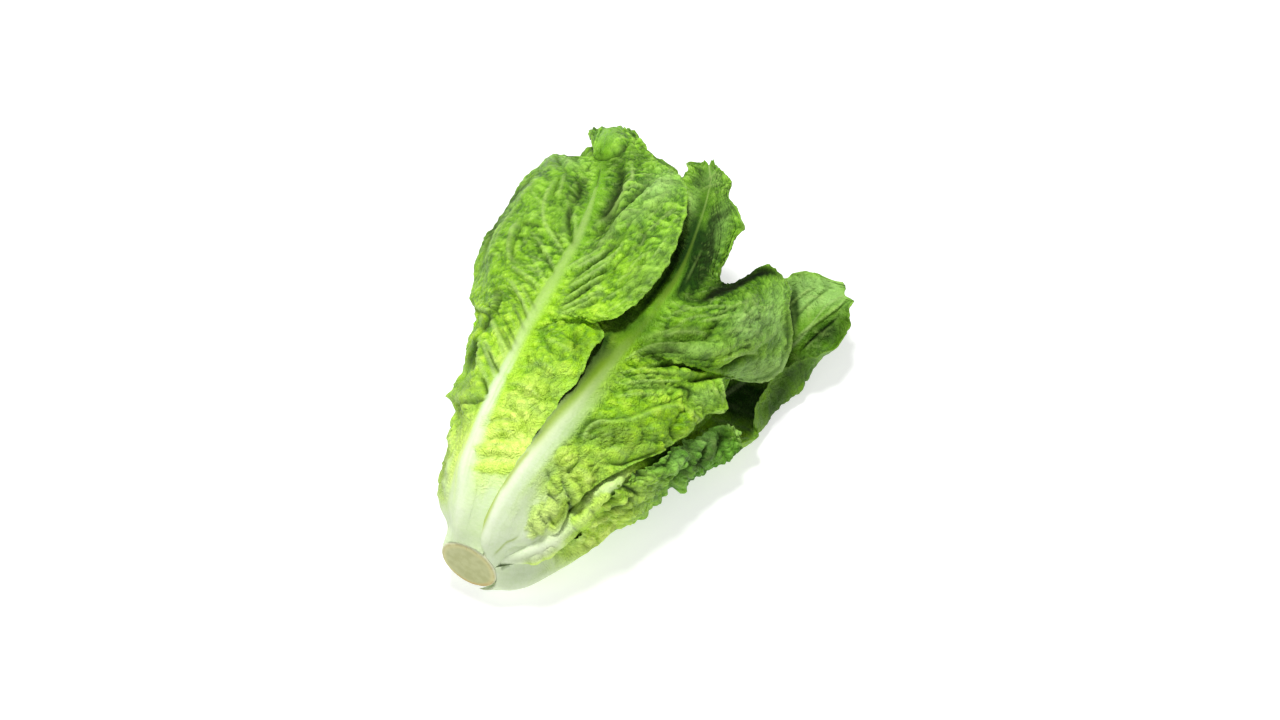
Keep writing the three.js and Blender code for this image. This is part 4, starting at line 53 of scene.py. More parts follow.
LEAVES = {
"outer_leaf_01": {"rib": 0.9, "rows": 17, "cols": 9, "p": [
  -138.4,-10.8,25.8, -138.5,-11.1,23.2, -138.6,-11.1,20.7, -138.7,-10.6,18.1, -138.8,-9.6,15.6, -138.7,-8,13, -138.6,-5.8,10.7, -138.5,-3.2,8.9, -138.4,-0.3,7.5,
  -132.3,-20.4,25.8, -132.4,-20.2,22.5, -132.5,-19.7,19.2, -132.6,-18.7,16, -132.6,-17,13, -132.4,-14.3,9.8, -132.2,-10.8,7.1, -132,-6.9,5.4, -131.7,-2.8,4.1,
  -125.9,-29.5,26.7, -125.5,-29.3,23.5, -125,-28.8,20.2, -124.6,-28,17.3, -124.2,-26.2,14.2, -123.8,-22.6,10.3, -123.3,-18,6.7, -122.9,-12.7,4.6, -122.5,-7.1,2.9,
  -118.6,-36.2,26.2, -117.9,-36.1,23.6, -117.1,-35.8,21, -116.3,-35.4,18.8, -115.5,-33.9,16.1, -114.7,-29.9,11.5, -113.9,-24.5,6.9, -113.1,-18.1,4.1, -112.3,-11.2,1.9,
  -110.8,-42.3,27.1, -109.5,-42.2,24.8, -108.2,-41.9,22.4, -107,-41.8,20.5, -105.7,-40.4,17.9, -104.5,-36,12.7, -103.2,-29.8,7.4, -102,-22.4,4.2, -100.7,-14.4,1.6,
  -103,-47.5,31.8, -101,-47.7,28.7, -99.1,-47.7,25.5, -97,-47.5,22.7, -95.1,-45.9,19.3, -93.4,-41.1,13.7, -91.7,-34.4,8, -90,-26.2,4.4, -88.4,-17.3,1.5,
  -95.6,-50.7,39.9, -92.9,-52.1,34.9, -90.1,-52.9,29.9, -87.3,-52.6,25, -84.6,-50.5,19.9, -82.4,-45.4,13.9, -80.3,-38.3,8.2, -78.2,-29.6,4.4, -76,-20.2,1.2,
  -88,-52.6,48.7, -84.5,-55.8,41.7, -81,-58,34.6, -77.4,-57.6,27.1, -74.1,-54.8,19.9, -71.4,-49.1,13.8, -69,-41.4,8.6, -66.5,-32.3,4.9, -64,-22.5,1.9,
  -79.7,-53.2,54.3, -75.7,-58.3,46.6, -71.7,-61.9,38.6, -67.4,-62,29.4, -63.6,-59.2,20.8, -60.9,-53.1,14.5, -58.6,-45.1,9.6, -56.1,-35.9,6, -53.6,-26.1,3,
  -70.5,-55.3,57.1, -66.4,-61.1,48.9, -62.2,-65.4,40.3, -57.9,-65.8,30.2, -53.9,-63.1,20.8, -51,-56.7,14.7, -48.5,-48.3,10.3, -45.7,-39.1,7, -43,-29.5,4.2,
  -60.3,-59.8,54.4, -56.5,-64.6,46.9, -52.7,-68.2,39.2, -48.8,-69.1,30.1, -45.1,-67.1,21.6, -42.2,-60.8,15.8, -39.5,-52.3,11.3, -36.8,-43.4,8, -34,-34,5.2,
  -47.8,-63.1,53.4, -44.9,-67.6,46.2, -42,-71.1,38.8, -39.1,-72.4,29.9, -36.3,-71,21.8, -33.6,-65,16.6, -31.1,-56.9,12.7, -28.5,-48.7,9.7, -25.9,-40.2,7.2,
  -34.2,-66.2,48.8, -32.7,-70.1,42.8, -31.1,-73.3,36.5, -29.6,-75.2,29.1, -28,-74.7,22.3, -25.7,-69.4,17.8, -23.2,-62,14.6, -20.8,-54.8,11.9, -18.4,-47.3,9.6,
  -20.3,-69.4,42.7, -20.3,-72.5,38.3, -20.4,-75.2,33.6, -20.7,-77.8,28.3, -20.4,-78.2,23.2, -18.6,-73.6,19.6, -16.2,-67.1,16.7, -14.1,-60.9,14.2, -12,-54.5,12,
  -7.5,-72.4,37.9, -9.1,-75.2,34.7, -10.8,-77.8,31.4, -12.8,-80.6,27.6, -14,-81.6,24.1, -12.9,-78.2,21.3, -10.9,-73.1,19, -9.4,-68.4,17, -7.8,-63.6,15.2,
  -0.1,-76.6,30.9, -2.4,-78.8,29.5, -4.8,-80.8,28.1, -7.6,-83.2,26.6, -9.5,-84.6,25, -9.1,-83,23.5, -7.9,-80.4,22, -7.1,-78.1,20.6, -6.3,-75.9,19.3,
  -0.8,-81.6,30, -2.2,-82.9,29.2, -3.5,-84.2,28.4, -5,-85.8,27.7, -6.1,-86.7,26.8, -5.8,-85.6,25.6, -5.1,-83.8,24.3, -4.6,-82.3,23, -4.1,-80.7,21.8]},
"outer_leaf_02": {"rib": 1.15, "rows": 23, "cols": 11, "p": [
  -138.6,21.5,26.4, -138.6,20.4,29.5, -138.6,18.9,32.3, -138.6,16.9,34.7, -138.6,14.3,36.8, -138.6,11.5,38.3, -138.6,8.8,39.2, -138.6,6.1,39.5, -138.6,3.4,39.3, -138.6,0.7,38.8, -138.6,-1.9,37.8,
  -130,26.6,28.3, -130.8,24.9,32.7, -131.6,23,37, -132.5,19.9,40.3, -133.4,15.5,42.8, -134.1,11.6,44.6, -134,9.2,45.6, -133.7,7.5,45.8, -133.4,5.5,46.1, -133.2,3.4,46.1, -133,1.3,46.1,
  -122.6,32,31.5, -123.7,29.8,36.9, -124.8,27.2,42.1, -126,23.2,46.2, -127.4,17.5,49.3, -128.2,12.5,51.6, -127.8,9.9,52.7, -126.9,8.2,53.1, -126.2,6.3,53.5, -125.6,4.1,53.8, -124.9,1.9,54.1,
  -115.5,36.7,35.3, -116.4,34,41.3, -117.3,31.1,47.1, -118.3,26.5,51.8, -119.5,20,55.6, -120,14.3,58.4, -119.3,11,59.9, -118,8.7,60.4, -116.8,6.1,60.9, -115.8,3.3,61.2, -114.7,0.5,61.5,
  -105.9,40.7,39, -106.5,37.8,45.2, -107.1,34.8,51.3, -107.8,29.9,56.5, -108.7,23.2,61.1, -109,17,64.5, -108,12.8,66.2, -106.3,9.4,67, -104.8,5.7,67.6, -103.5,1.8,68, -102.1,-2.1,68.4,
  -88.9,46.9,42, -89.9,43.7,48.5, -91,40.3,54.8, -92.2,35.1,60.3, -93.8,28,65.1, -94.2,21.1,68.9, -92.6,15.8,71.4, -89.9,11,72.9, -87.5,5.7,74.1, -85.3,0.1,74.8, -83,-5.5,75.4,
  -72.2,57,45.2, -73.8,52.4,52.3, -75.4,47.6,59.1, -77.2,41,64.7, -79.4,32.4,69.2, -80.3,24.1,72.8, -78.7,17.5,75.8, -75.8,11.3,78, -73.4,4.6,79.5, -71.1,-2.7,80.1, -68.8,-10,80.6,
  -54.1,63.8,47.8, -56.6,58.4,55.3, -59.2,52.8,62.6, -62,45.2,68.5, -65.3,35.4,73.1, -66.8,26,76.9, -64.8,18.5,80.2, -61,11.6,82.8, -57.8,4,84.4, -54.7,-4.2,85, -51.7,-12.5,85.4,
  -37.5,66.6,49, -40.8,61.4,57, -44.2,55.8,64.8, -47.8,47.8,71.2, -52.2,37.2,76.5, -54.1,27.1,80.8, -51.1,19.4,84, -45.6,12.5,86.4, -40.9,4.8,87.9, -36.5,-3.6,88.5, -32.1,-12.1,88.8,
  -27.9,70.2,48.3, -30.9,64.9,57.1, -33.9,59.2,65.6, -37.2,50.6,72.8, -41.4,38.8,78.7, -42.9,27.8,83.3, -39.1,20.2,86.1, -32.7,13.8,87.7, -27.1,6.6,88.7, -21.8,-1.1,89, -16.6,-8.8,89.1,
  -14.1,72.9,48.9, -17.7,67.7,58, -21.2,62.1,66.9, -25,53,74.4, -29.6,40.1,80.8, -31.8,28.8,85.5, -29.1,22.2,87.9, -24.1,17.6,88.7, -19.7,12.2,89.5, -15.7,6.3,89.8, -11.7,0.4,90.1,
  -6.6,76.7,50.8, -10,70.8,60.1, -13.4,64.5,69.1, -17,54.7,76.6, -21.2,41,82.7, -23.6,29,87.4, -22.7,21.8,90, -20,16.6,91.2, -17.9,10.5,92.3, -15.9,3.7,92.9, -14,-3.2,93.5,
  1.2,82.1,52.6, -2,75.1,62.2, -5.3,67.7,71.5, -8.8,56.8,78.9, -12.7,42.2,84.7, -15.1,29,89.2, -14.8,20.2,92.4, -12.9,13.2,94.4, -11.6,4.9,95.9, -10.4,-4.3,96.7, -9.2,-13.5,97.3,
  17.2,88.7,53.4, 13.2,80.8,63.4, 9.2,72.4,73.2, 5,60.3,80.9, -0,44.2,86.8, -2.7,29.5,91.4, -0.9,19.6,94.8, 3.2,11.4,97, 6.6,1.8,98.5, 9.8,-9.1,99, 12.9,-20.1,99.3,
  37.9,94,54.6, 32.9,85.3,64.6, 27.8,76.1,74.2, 22.4,63.3,81.9, 16.1,46.4,87.7, 12.8,31,92.3, 15.6,20.9,95.8, 21.4,12.7,98.1, 26.3,2.7,99.5, 30.8,-8.6,99.9, 35.3,-20.1,100.1,
  59.3,95.7,56.6, 53.5,87.2,66.1, 47.6,78.1,75.3, 41.3,65.3,82.6, 33.8,48.4,88, 30,33.2,92.3, 33.6,23.6,95.8, 40.9,16,98.4, 47.1,6.5,100, 52.8,-4.5,100.5, 58.5,-15.7,100.8,
  81.4,96.1,56.9, 74.5,87.9,66.1, 67.5,79.1,74.9, 60,66.9,81.9, 51.2,50.7,87.3, 46.6,36.3,91.5, 50.5,27.4,95, 58.7,20.5,97.5, 65.5,11.8,99, 71.9,1.6,99.5, 78.2,-8.7,99.8,
  101.4,96.1,55.2, 93.5,88.3,64, 85.5,80,72.6, 77,68.5,79.7, 67,53.5,85.4, 61.6,40.3,89.9, 65.2,32.1,93, 73.3,26,95, 80,18.3,96.3, 86.1,9.4,96.6, 92.2,0.3,96.8,
  112.5,95.2,54.1, 105.2,88.2,62, 97.8,80.8,69.6, 90,70.5,76.4, 80.9,57,82.3, 75.8,45.2,86.9, 78.6,38.4,89.6, 85.4,33.5,91, 90.9,27.2,92, 95.9,19.8,92.5, 101,12.2,92.8,
  102.9,80.4,68.7, 100,75.2,72.2, 97,70,75.6, 93.8,63.8,78.7, 89.9,56.6,81.4, 88.2,49.9,83.7, 90.6,45,85.4, 95.2,40.6,86.8, 99.1,35.5,87.8, 102.7,29.8,88.4, 106.3,24,89,
  101.3,69.5,77.4, 101.2,66.5,78, 101.1,63.6,78.7, 100.9,60.8,79.2, 100.5,58.1,79.6, 100.9,55.1,80.2, 103.2,51.5,81.1, 106.5,47.5,82.2, 109.4,43.3,82.9, 112.3,38.8,83.4, 115.1,34.3,83.8,
  111.6,68.8,75.4, 112.2,67,75.6, 112.8,65.3,75.7, 113.2,63.6,75.8, 113.6,62.1,75.9, 114.4,60.1,76, 116.4,57.3,76.5, 118.9,54,77.1, 121.3,50.6,77.4, 123.5,47.3,77.5, 125.8,43.9,77.6,
  126.8,77.4,66.4, 127,74.8,67.4, 127.3,72.2,68.4, 127.6,69.5,69.2, 127.7,66.6,70.1, 128.2,64,70.8, 129.2,61.9,71.2, 130.5,60,71.4, 131.7,58,71.7, 132.9,55.9,71.8, 134.1,53.8,72]},
"outer_leaf_03": {"rib": 1.15, "rows": 25, "cols": 11, "p": [
  -136.7,4.8,38.7, -136.7,3,38.5, -136.6,1.3,38.1, -136.5,-0.4,37.5, -136.5,-2,36.8, -136.8,-3.7,35.9, -137.9,-5.8,35, -138.1,-7.6,33.1, -138,-8.9,31, -137.9,-9.8,28.7, -136.6,-9.9,26.2,
  -128.3,6.9,45.4, -129.2,4.9,45.2, -129.5,2.9,44.5, -130,1.1,43.3, -130.8,-0.5,42, -133.8,-3,42.7, -133.5,-5.9,42.5, -132.4,-9.1,42.1, -131.4,-12,41.1, -130.5,-14.6,39.6, -129.4,-17.2,38.1,
  -119.8,9.5,51.5, -121.3,6.8,51.9, -122,4.3,51.2, -122.6,1.9,49.8, -126,-0.8,50.7, -127.7,-3.7,50.2, -127.8,-7.7,49.7, -127.1,-12,48.8, -126.5,-15.8,47.2, -126,-19.3,44.8, -125.5,-22.6,42.4,
  -103.1,14.5,58.4, -106.1,10.6,59.5, -109,6.7,60.2, -111.6,2.9,59.3, -113.6,-0.5,56.3, -118.4,-5.2,58.7, -119,-10.3,58.1, -118.3,-15.8,56.8, -117.9,-20.6,54.6, -117.6,-24.8,51.7, -117.4,-28.9,48.6,
  -81.9,20.6,64.1, -86.6,15.1,65.7, -91.2,9.6,67, -95.9,4,67.1, -100.4,-1.4,64.6, -105.3,-7.4,66.1, -106.5,-13.5,65.4, -106.2,-19.8,63.8, -106.2,-25.3,61.4, -106.4,-30.2,58, -106.7,-35,54.5,
  -58.5,27.5,69.3, -64.9,20,71.6, -71.2,12.6,73.6, -77.7,4.8,74.1, -84.3,-3.1,71.8, -90.2,-10.9,72.2, -91.6,-17.7,71.1, -90.9,-24.1,69.4, -90.8,-29.9,66.9, -91,-35.2,63.5, -91.2,-40.4,60,
  -34.7,33.7,73.1, -42.8,24.4,76.1, -50.9,15,78.9, -59.3,5.2,79.7, -68.6,-5.1,78.7, -75.1,-14.8,77.4, -75.8,-23.5,75.7, -73.5,-31.3,73.4, -72.2,-38.4,69.9, -71.2,-44.5,65.4, -70.2,-50.4,60.6,
  -9.5,38.6,75.7, -19.5,27.8,79, -29.4,16.9,82, -39.9,5.6,83.1, -51.6,-6,82.6, -59.3,-17.5,81, -58.8,-28.8,78.4, -54.3,-39.5,74.6, -51,-48.2,69.1, -48.2,-54.9,62, -45.3,-60.6,54.2,
  13,42.2,77.2, 1.6,30.4,80.7, -9.7,18.6,83.9, -21.7,6.4,85.2, -35.2,-6,84.8, -43.9,-18.4,82.9, -42.9,-31,79.6, -37,-43.1,74.8, -32.7,-52.4,68.2, -28.9,-59,59.7, -25.2,-65.2,50.9,
  27,44.5,77.4, 15.1,32.1,81.4, 3.1,19.7,85, -9.4,6.9,86.4, -23.6,-6.3,85.8, -32.7,-19.2,83.7, -31.9,-32,80.6, -26.2,-44.1,76.2, -22,-53.9,70, -18.4,-61.3,61.7, -14.8,-68.4,53.2,
  38.2,46.2,77.8, 25.5,33.2,82, 12.7,20.1,85.9, -0.7,6.8,87.4, -15.9,-6.9,86.7, -25.5,-20.5,84.6, -24.2,-34.7,81.6, -17.4,-48.4,77, -12.3,-59.5,70.2, -8.1,-67.8,60.9, -3.8,-75.7,51.2,
  47.3,47.1,78.1, 34.2,33.8,82.5, 21.2,20.4,86.5, 7.5,6.4,88.1, -8,-8.2,87.4, -17.9,-21.9,85.6, -16.6,-33.4,83.3, -9.7,-43.7,80, -4.1,-52.8,75.1, 1,-60.6,68.5, 6.3,-68.2,61.6,
  57.4,47.6,78.2, 44,34.2,82.7, 30.6,20.8,86.9, 16.5,6.6,88.7, 0.9,-8.1,88.4, -9.7,-22.9,86.5, -11.5,-38.1,84.3, -7.3,-52.6,79.8, 2.1,-63.8,69.3, 17.6,-71.6,52.4, 34.2,-78.9,34.6,
  66.6,47.7,77.8, 53.2,34.5,82.4, 39.7,21.2,86.8, 25.5,6.9,88.8, 9.5,-8.3,88.7, -0.7,-23.6,87.2, -0.7,-39.3,85.7, 6.3,-54.4,82, 18.8,-66.2,71.6, 37.9,-74.7,54.2, 58,-82.6,35.7,
  75,47.8,77.1, 61.7,34.8,82.1, 48.4,21.6,86.6, 34.3,7.1,88.9, 18.2,-8.8,88.9, 8.5,-24.2,87.8, 10.1,-38.9,86.8, 18.9,-52.4,84.4, 31.5,-62.9,78.3, 49.3,-70,68.3, 67.9,-76.6,57.8,
  82.4,47.7,76.3, 69.5,34.8,81.6, 56.6,21.8,86.5, 42.9,7.1,88.9, 27.2,-9.4,89, 17.8,-24.7,88.1, 19.3,-37.4,87.6, 28.1,-48.3,86, 41.8,-57.2,80.3, 61.7,-63.9,70.6, 82.6,-70.3,60.2,
  89.7,47.5,75, 77.3,34.8,80.6, 64.8,21.8,85.9, 51.6,7,88.6, 36.7,-10,88.8, 27.4,-24.8,88.1, 27.8,-34.7,87.5, 34.8,-41.8,86, 46.2,-48,81.7, 63.2,-52.8,74.4, 81.2,-57.3,66.6,
  97.1,48.3,73.8, 85.1,35.5,79.8, 73.1,22.4,85.3, 60.5,7.4,88.2, 46.5,-10,88.6, 37.2,-24.3,88, 36.6,-32,87.3, 41.2,-36.2,85.8, 46.9,-40.1,83, 54.6,-43.2,78.6, 62.7,-46.1,74.1,
  104.3,49.6,72.8, 92.9,36.6,78.9, 81.5,23.4,84.6, 69.5,8.4,87.7, 56.2,-9.2,88.3, 47.1,-23.2,88, 46.3,-29.6,87.4, 49.8,-32.3,86.2, 52.2,-35.2,84.4, 54.4,-37.8,81.9, 56.6,-40.3,79.4,
  112.1,51.1,71.4, 101.4,38.3,77.5, 90.7,25.3,83.2, 79.5,10.4,86.6, 66.9,-7.2,87.8, 58.7,-21,87.9, 59.2,-27,87.2, 64.2,-29,85.7, 67.8,-31.8,84.1, 70.9,-34.6,82.2, 74.1,-37.3,80.2,
  121.2,54.7,68.7, 111.5,42.2,74.9, 101.8,29.3,80.7, 91.5,14.3,84.5, 79.8,-3.7,86.4, 72.7,-17.7,87, 75,-23,86, 82,-24.2,84, 87.5,-26.3,82.1, 92.3,-28.8,80, 97.2,-31.2,77.9,
  124.5,46,69.4, 117.2,35.7,74.4, 109.8,25.2,79, 102,12.8,82.2, 92.9,-2.3,84.1, 87.7,-13.7,84.9, 90.5,-17.2,84.1, 97.1,-17,82.3, 102.6,-17.8,80.6, 107.5,-18.9,79, 112.5,-20,77.3,
  115.6,10,78.5, 112.9,6.2,79.3, 110.2,2.4,80, 107.3,-1.5,80.7, 103.6,-5.7,81.4, 102.2,-8.9,81.6, 105.4,-10.1,80.8, 110.8,-10.3,79.3, 115.5,-10.7,77.9, 119.9,-11.1,76.3, 124.3,-11.4,74.7,
  124.6,11.8,75.6, 122.7,8.8,76.3, 120.8,5.7,76.9, 118.8,2.5,77.5, 116.2,-1.2,78.1, 115.2,-3.8,78.3, 117.2,-4.3,77.8, 120.8,-3.8,76.9, 123.9,-3.6,75.9, 126.8,-3.5,74.9, 129.8,-3.4,73.8,
  128.2,8.5,74.5, 127.1,7,75, 126,5.4,75.6, 124.8,3.8,76.1, 123.3,1.9,76.7, 122.7,0.7,77, 123.8,0.7,76.7, 125.8,1.2,76.1, 127.6,1.6,75.5, 129.2,2,74.9, 130.8,2.3,74.3]},
"outer_leaf_04": {"rib": 0.8, "rows": 18, "cols": 9, "p": [
  -136.1,-8.8,17.5, -136.2,-8,15.6, -136.3,-6.9,13.8, -136.4,-5.5,12.1, -136.5,-3.8,10.6, -136.5,-1.9,9.5, -136.5,0.2,8.6, -136.6,2.4,7.9, -136.6,4.8,7.6,
  -120.3,-27.2,22.8, -120.8,-25.6,19.1, -121.2,-23.5,15.7, -121.1,-20.1,13.3, -121.5,-16.8,10.7, -121.8,-13.3,8.6, -121.9,-9.3,6.2, -122.1,-4.9,4.3, -122.2,-0.2,3.2,
  -95,-41.2,26.2, -95.5,-38.5,21.9, -95.9,-35.5,17.8, -96.4,-31.6,14.4, -96.8,-26.9,11.3, -96.9,-21.1,7.9, -96.9,-14.6,4.9, -97,-7.2,3.4, -97.1,0.4,2.5,
  -66.9,-48.9,27.4, -67.6,-45.2,23.2, -68.4,-41.2,19.1, -69.1,-36.8,15.6, -69.7,-31.3,12.3, -69.6,-24,8.4, -69.3,-15.4,5, -69,-6,3.6, -68.8,3.9,2.7,
  -38.9,-59.8,26.4, -40.5,-55.3,21.5, -42.1,-50.3,17.2, -44.5,-44.2,14.4, -46.1,-36.8,11.8, -45.3,-27.4,7.2, -43.7,-16.7,3.4, -42.4,-5,2.3, -41.2,7,2,
  -12.3,-74.8,23.3, -16.3,-69.2,19.6, -20.3,-62.3,16.8, -24.9,-52.9,13.6, -27.8,-41.5,12.3, -25.9,-31.3,6.2, -22.5,-19.9,3.1, -19.9,-7.8,2.4, -17.3,4.4,2.4,
  7.1,-83.6,21.2, 1.8,-80.2,14.5, -3.2,-74.2,9.6, -8.8,-58.4,15.4, -12.3,-45.8,8.8, -9.4,-34.6,6.4, -4.4,-24,4.5, -0.4,-13,4, 3.5,-2.1,4,
  16.3,-80.4,23.1, 13.9,-80.2,14.6, 11.2,-77,8.3, 6.4,-64.6,7.9, 3.6,-50.2,8.4, 7.7,-38.8,6.4, 14,-28,4.4, 19.2,-16.8,4, 24.5,-5.6,3.9,
  29.3,-77.7,23.9, 26.8,-80,14.8, 24.3,-78.8,7.9, 20.8,-67.2,7.7, 19.4,-52.9,9, 24.4,-42.1,7.3, 31.5,-32,5.4, 37.5,-21.6,5, 43.6,-11.1,5,
  40.5,-78,24.8, 39.1,-81.6,15.1, 37.6,-81.5,7.8, 34.6,-70.4,8.1, 33.5,-56.4,10.2, 38.9,-46.5,9, 46.5,-37.3,7.4, 52.9,-27.7,7.3, 59.4,-18.2,7.6,
  51.1,-80,25.6, 50.3,-83.7,15.9, 49.3,-84.1,8.6, 46.7,-74.2,9.3, 46,-61.6,11.9, 51.9,-52.6,11.3, 59.9,-44.2,10.4, 66.8,-35.5,10.9, 73.7,-26.8,11.8,
  59.3,-84.9,26.5, 59,-87.8,16.6, 58.6,-87.7,9.5, 57.2,-78.4,10.7, 57.7,-66.9,14, 63.9,-59,14.3, 72.1,-51.7,14.4, 79.3,-44.1,15.9, 86.5,-36.5,17.7,
  65.1,-90.4,27.4, 66.2,-90.9,17.7, 67.2,-89.4,10.8, 67.1,-81.6,12.5, 68.6,-72.4,16.5, 75.1,-65.5,17.7, 83.2,-59.1,18.8, 90.5,-52.4,21.2, 97.8,-45.8,24.1,
  72.7,-95,28.3, 74.7,-93.4,19.6, 76.5,-90.6,13.5, 77,-84.2,15.4, 78.7,-76.8,19.6, 85,-70.9,21.3, 92.9,-65.2,23.1, 99.9,-59.4,26.1, 107,-53.6,29.5,
  83.4,-98.4,29.2, 84.9,-95.7,22.3, 86.3,-92.2,17.5, 86.6,-86.1,19.5, 88.1,-79.6,23.3, 93.6,-74.4,24.9, 100.5,-69.5,26.5, 106.6,-64.4,29.5, 112.8,-59.4,32.8,
  94.5,-99.7,30.1, 95.2,-96.3,25.2, 95.9,-92.4,22, 95.7,-86.8,23.7, 96.5,-81.2,26.7, 100.6,-76.9,27.8, 105.8,-72.9,28.9, 110.5,-68.8,31.4, 115.2,-64.7,34.2,
  103.5,-96.9,31, 104,-93.8,28.2, 104.3,-90.5,26.4, 103.4,-86.7,27.7, 103.2,-83,29.7, 106,-80.2,30.2, 109.8,-77.8,30.8, 113.1,-75.1,32.6, 116.4,-72.5,34.9,
  109.8,-94.3,31.8, 109.7,-92,31.1, 109.4,-89.7,30.8, 108.7,-87.5,31.8, 108.4,-85.7,32.8, 109.8,-84.6,32.6, 111.8,-83.7,32.3, 113.5,-82.8,33.4, 115.2,-81.8,34.8]},
"outer_leaf_05": {"rib": 0.9, "rows": 12, "cols": 7, "p": [
  -137.1,9,7.5, -137.1,13.1,9.3, -137.1,16.6,12, -137.1,19.3,15.6, -137.1,20.8,19.9, -136.8,20.9,24.2, -136.5,19.8,28.6,
  -118.5,17.1,2.8, -121.3,19,6.5, -123.8,20.7,10.7, -125.4,22.7,15.4, -123.8,25.8,20, -121.2,28.9,24.5, -118.4,31.7,28.9,
  -94.7,24,5.5, -100.7,27.9,7.6, -106,31.4,10.1, -109.4,34.6,13.7, -106,37.6,20.2, -100.7,40.2,27.1, -94.7,42.4,33.7,
  -69.8,28.8,6.4, -78.5,32.5,9.4, -86.3,36,13, -91.1,39.3,17.7, -86.3,43.7,24.4, -78.5,47.8,31.5, -69.8,51.4,38.7,
  -45.9,31.1,5.9, -56.2,36.3,9.8, -65.4,40.8,14.5, -71.2,44.9,20.4, -65.4,50.6,27.9, -56.2,55.5,35.7, -45.9,59.4,43.6,
  -23.8,31,4.7, -34.5,39,8.9, -44,45.9,14.4, -49.9,51.9,21.6, -44,58.6,30.5, -34.5,63.8,39.8, -23.8,67.5,49,
  -3.9,29.2,2.9, -13.6,41,7.5, -22.3,51.1,14, -27.6,59.3,22.7, -22.3,67.3,33.2, -13.6,72.5,44, -3.7,75,54.7,
  14.4,27,1.1, 6.7,43.3,6, -0.1,57,13.3, -4.4,67.6,23.5, -0.1,76.5,35.6, 6.7,80.9,47.8, 14.5,81,59.8,
  32.1,26.2,0.8, 27,46.3,4.6, 22.5,63.2,12.6, 19.7,76,23.9, 22.5,85.2,37.2, 27.1,87.8,50.6, 32.4,83.8,63.1,
  50.6,29.2,0.8, 48.1,51.2,3.8, 46,69.9,12, 44.6,83.9,23.7, 46,92.4,37.3, 48.1,93.3,51.3, 50.6,88,65.2,
  70.3,41.3,0.9, 70.4,60.4,5.4, 70.4,76.8,12.9, 70.2,89.1,22.9, 70.4,96,34.6, 70.4,96.7,46.8, 70.3,92,58.6,
  90.2,72.2,9.3, 93.5,80.2,12.9, 95.7,87.5,16.9, 96.4,93.4,21.4, 95.7,96.8,26.8, 93.5,98.7,32.4, 90.2,99.6,38.3]},
"outer_leaf_06": {"rib": 0.8, "rows": 12, "cols": 7, "p": [
  -134.7,-2.6,11.4, -134.6,1.1,9.7, -134.6,4.9,9, -135.3,7.9,8.7, -135,11.8,10.2, -134.9,14.8,12.4, -134.6,17.1,15.2,
  -119.9,-5.2,7.1, -122.6,-0.7,7.1, -124.6,4.1,7.8, -126.2,8.6,7.9, -124.6,13,9, -122.1,16.8,10.5, -118.9,20.6,12.7,
  -98.8,-12,7.1, -104.4,-4.1,5.5, -109.3,2.8,2.5, -112.3,9.2,3.8, -109.2,14.6,2.6, -104.3,18.8,4.9, -98.8,23,9.3,
  -76.4,-15.6,7.5, -84.4,-8.5,6, -91.5,-0.9,5.2, -95.8,6.5,3.9, -91.4,14,3.7, -84.4,21.2,6.4, -76.5,28.1,10.3,
  -54.6,-19,7.1, -64,-10.9,6.1, -72.5,-2.3,5.2, -77.7,6.6,3.7, -72.5,16.5,5, -64.2,26.1,8.3, -54.8,35.5,12.5,
  -34.6,-24.2,7.2, -44.4,-13.5,5.1, -53.1,-2.6,2.6, -58.5,9,3.1, -53.1,21.4,5.4, -44.5,33.3,9.8, -34.8,44.4,15.4,
  -16.6,-30.5,8.4, -25.5,-17,5.1, -33.3,-3,4, -38.2,11.9,2.9, -33.3,27.4,6.1, -25.5,41.6,11.7, -16.7,54.4,18.8,
  -0.1,-36.5,10.2, -7.1,-20.2,6.2, -13.4,-3,4.6, -17.1,15.3,3.1, -13.2,33.7,7.1, -7.1,50.1,13.6, -0.1,64.1,22.3,
  16,-40.8,11.5, 11.4,-22.2,6.4, 7.3,-2.2,6, 4.8,19.1,3.2, 7.3,40.1,7.4, 11.4,57.8,15.2, 16,72.2,25.5,
  32.7,-41.1,11.5, 30.4,-21.1,6.6, 28.6,0.4,2.2, 27.4,23.2,3.2, 28.6,45.3,7.4, 30.6,63.3,15.8, 32.8,77.6,26.8,
  50.4,-30.4,9.2, 50.2,-11.6,7.6, 50.7,7.5,1.6, 50.6,27.5,3, 50.8,46.6,6.3, 50.8,62.6,13.1, 50.6,75.8,22.1,
  68.5,1.4,2.1, 71.6,11.4,1.5, 73.7,21.2,1.2, 74.4,30.7,1.7, 73.8,39.7,3.3, 71.7,48,5.8, 68.6,55.8,8.8]},
"outer_leaf_07": {"rib": 0.95, "rows": 14, "cols": 9, "p": [
  -135.2,-4.4,34.5, -135.8,-5.8,33.3, -135.9,-7.1,31.9, -136,-8.1,30.3, -135.7,-8.6,29, -134.9,-8.7,27.3, -134.1,-8.6,25.2, -135.3,-9.5,22, -134.4,-8.5,19.9,
  -127.1,-7.2,44.4, -126.4,-12,43.4, -125.5,-16.4,41.7, -123.2,-20.2,38.4, -124.1,-24.3,35.6, -123.8,-25.4,31.9, -123.6,-25.2,27.8, -123.4,-24.1,24.1, -122.4,-22.1,20.6,
  -118.7,-8.8,51, -118.3,-14.9,49.7, -117.8,-20.6,47.8, -116.9,-25.8,43.9, -117,-30.5,40, -116.5,-32.4,35.2, -115.8,-32.5,30.2, -114.2,-29.8,26, -113.7,-28.2,21.2,
  -110.4,-9.4,55.4, -110.4,-16.4,54.1, -110.5,-23.1,52, -110.7,-29.4,48, -110.7,-34.4,43.1, -109.5,-36.9,37.7, -107.9,-37.5,32.1, -106.4,-36.1,26.8, -104.5,-33,22.2,
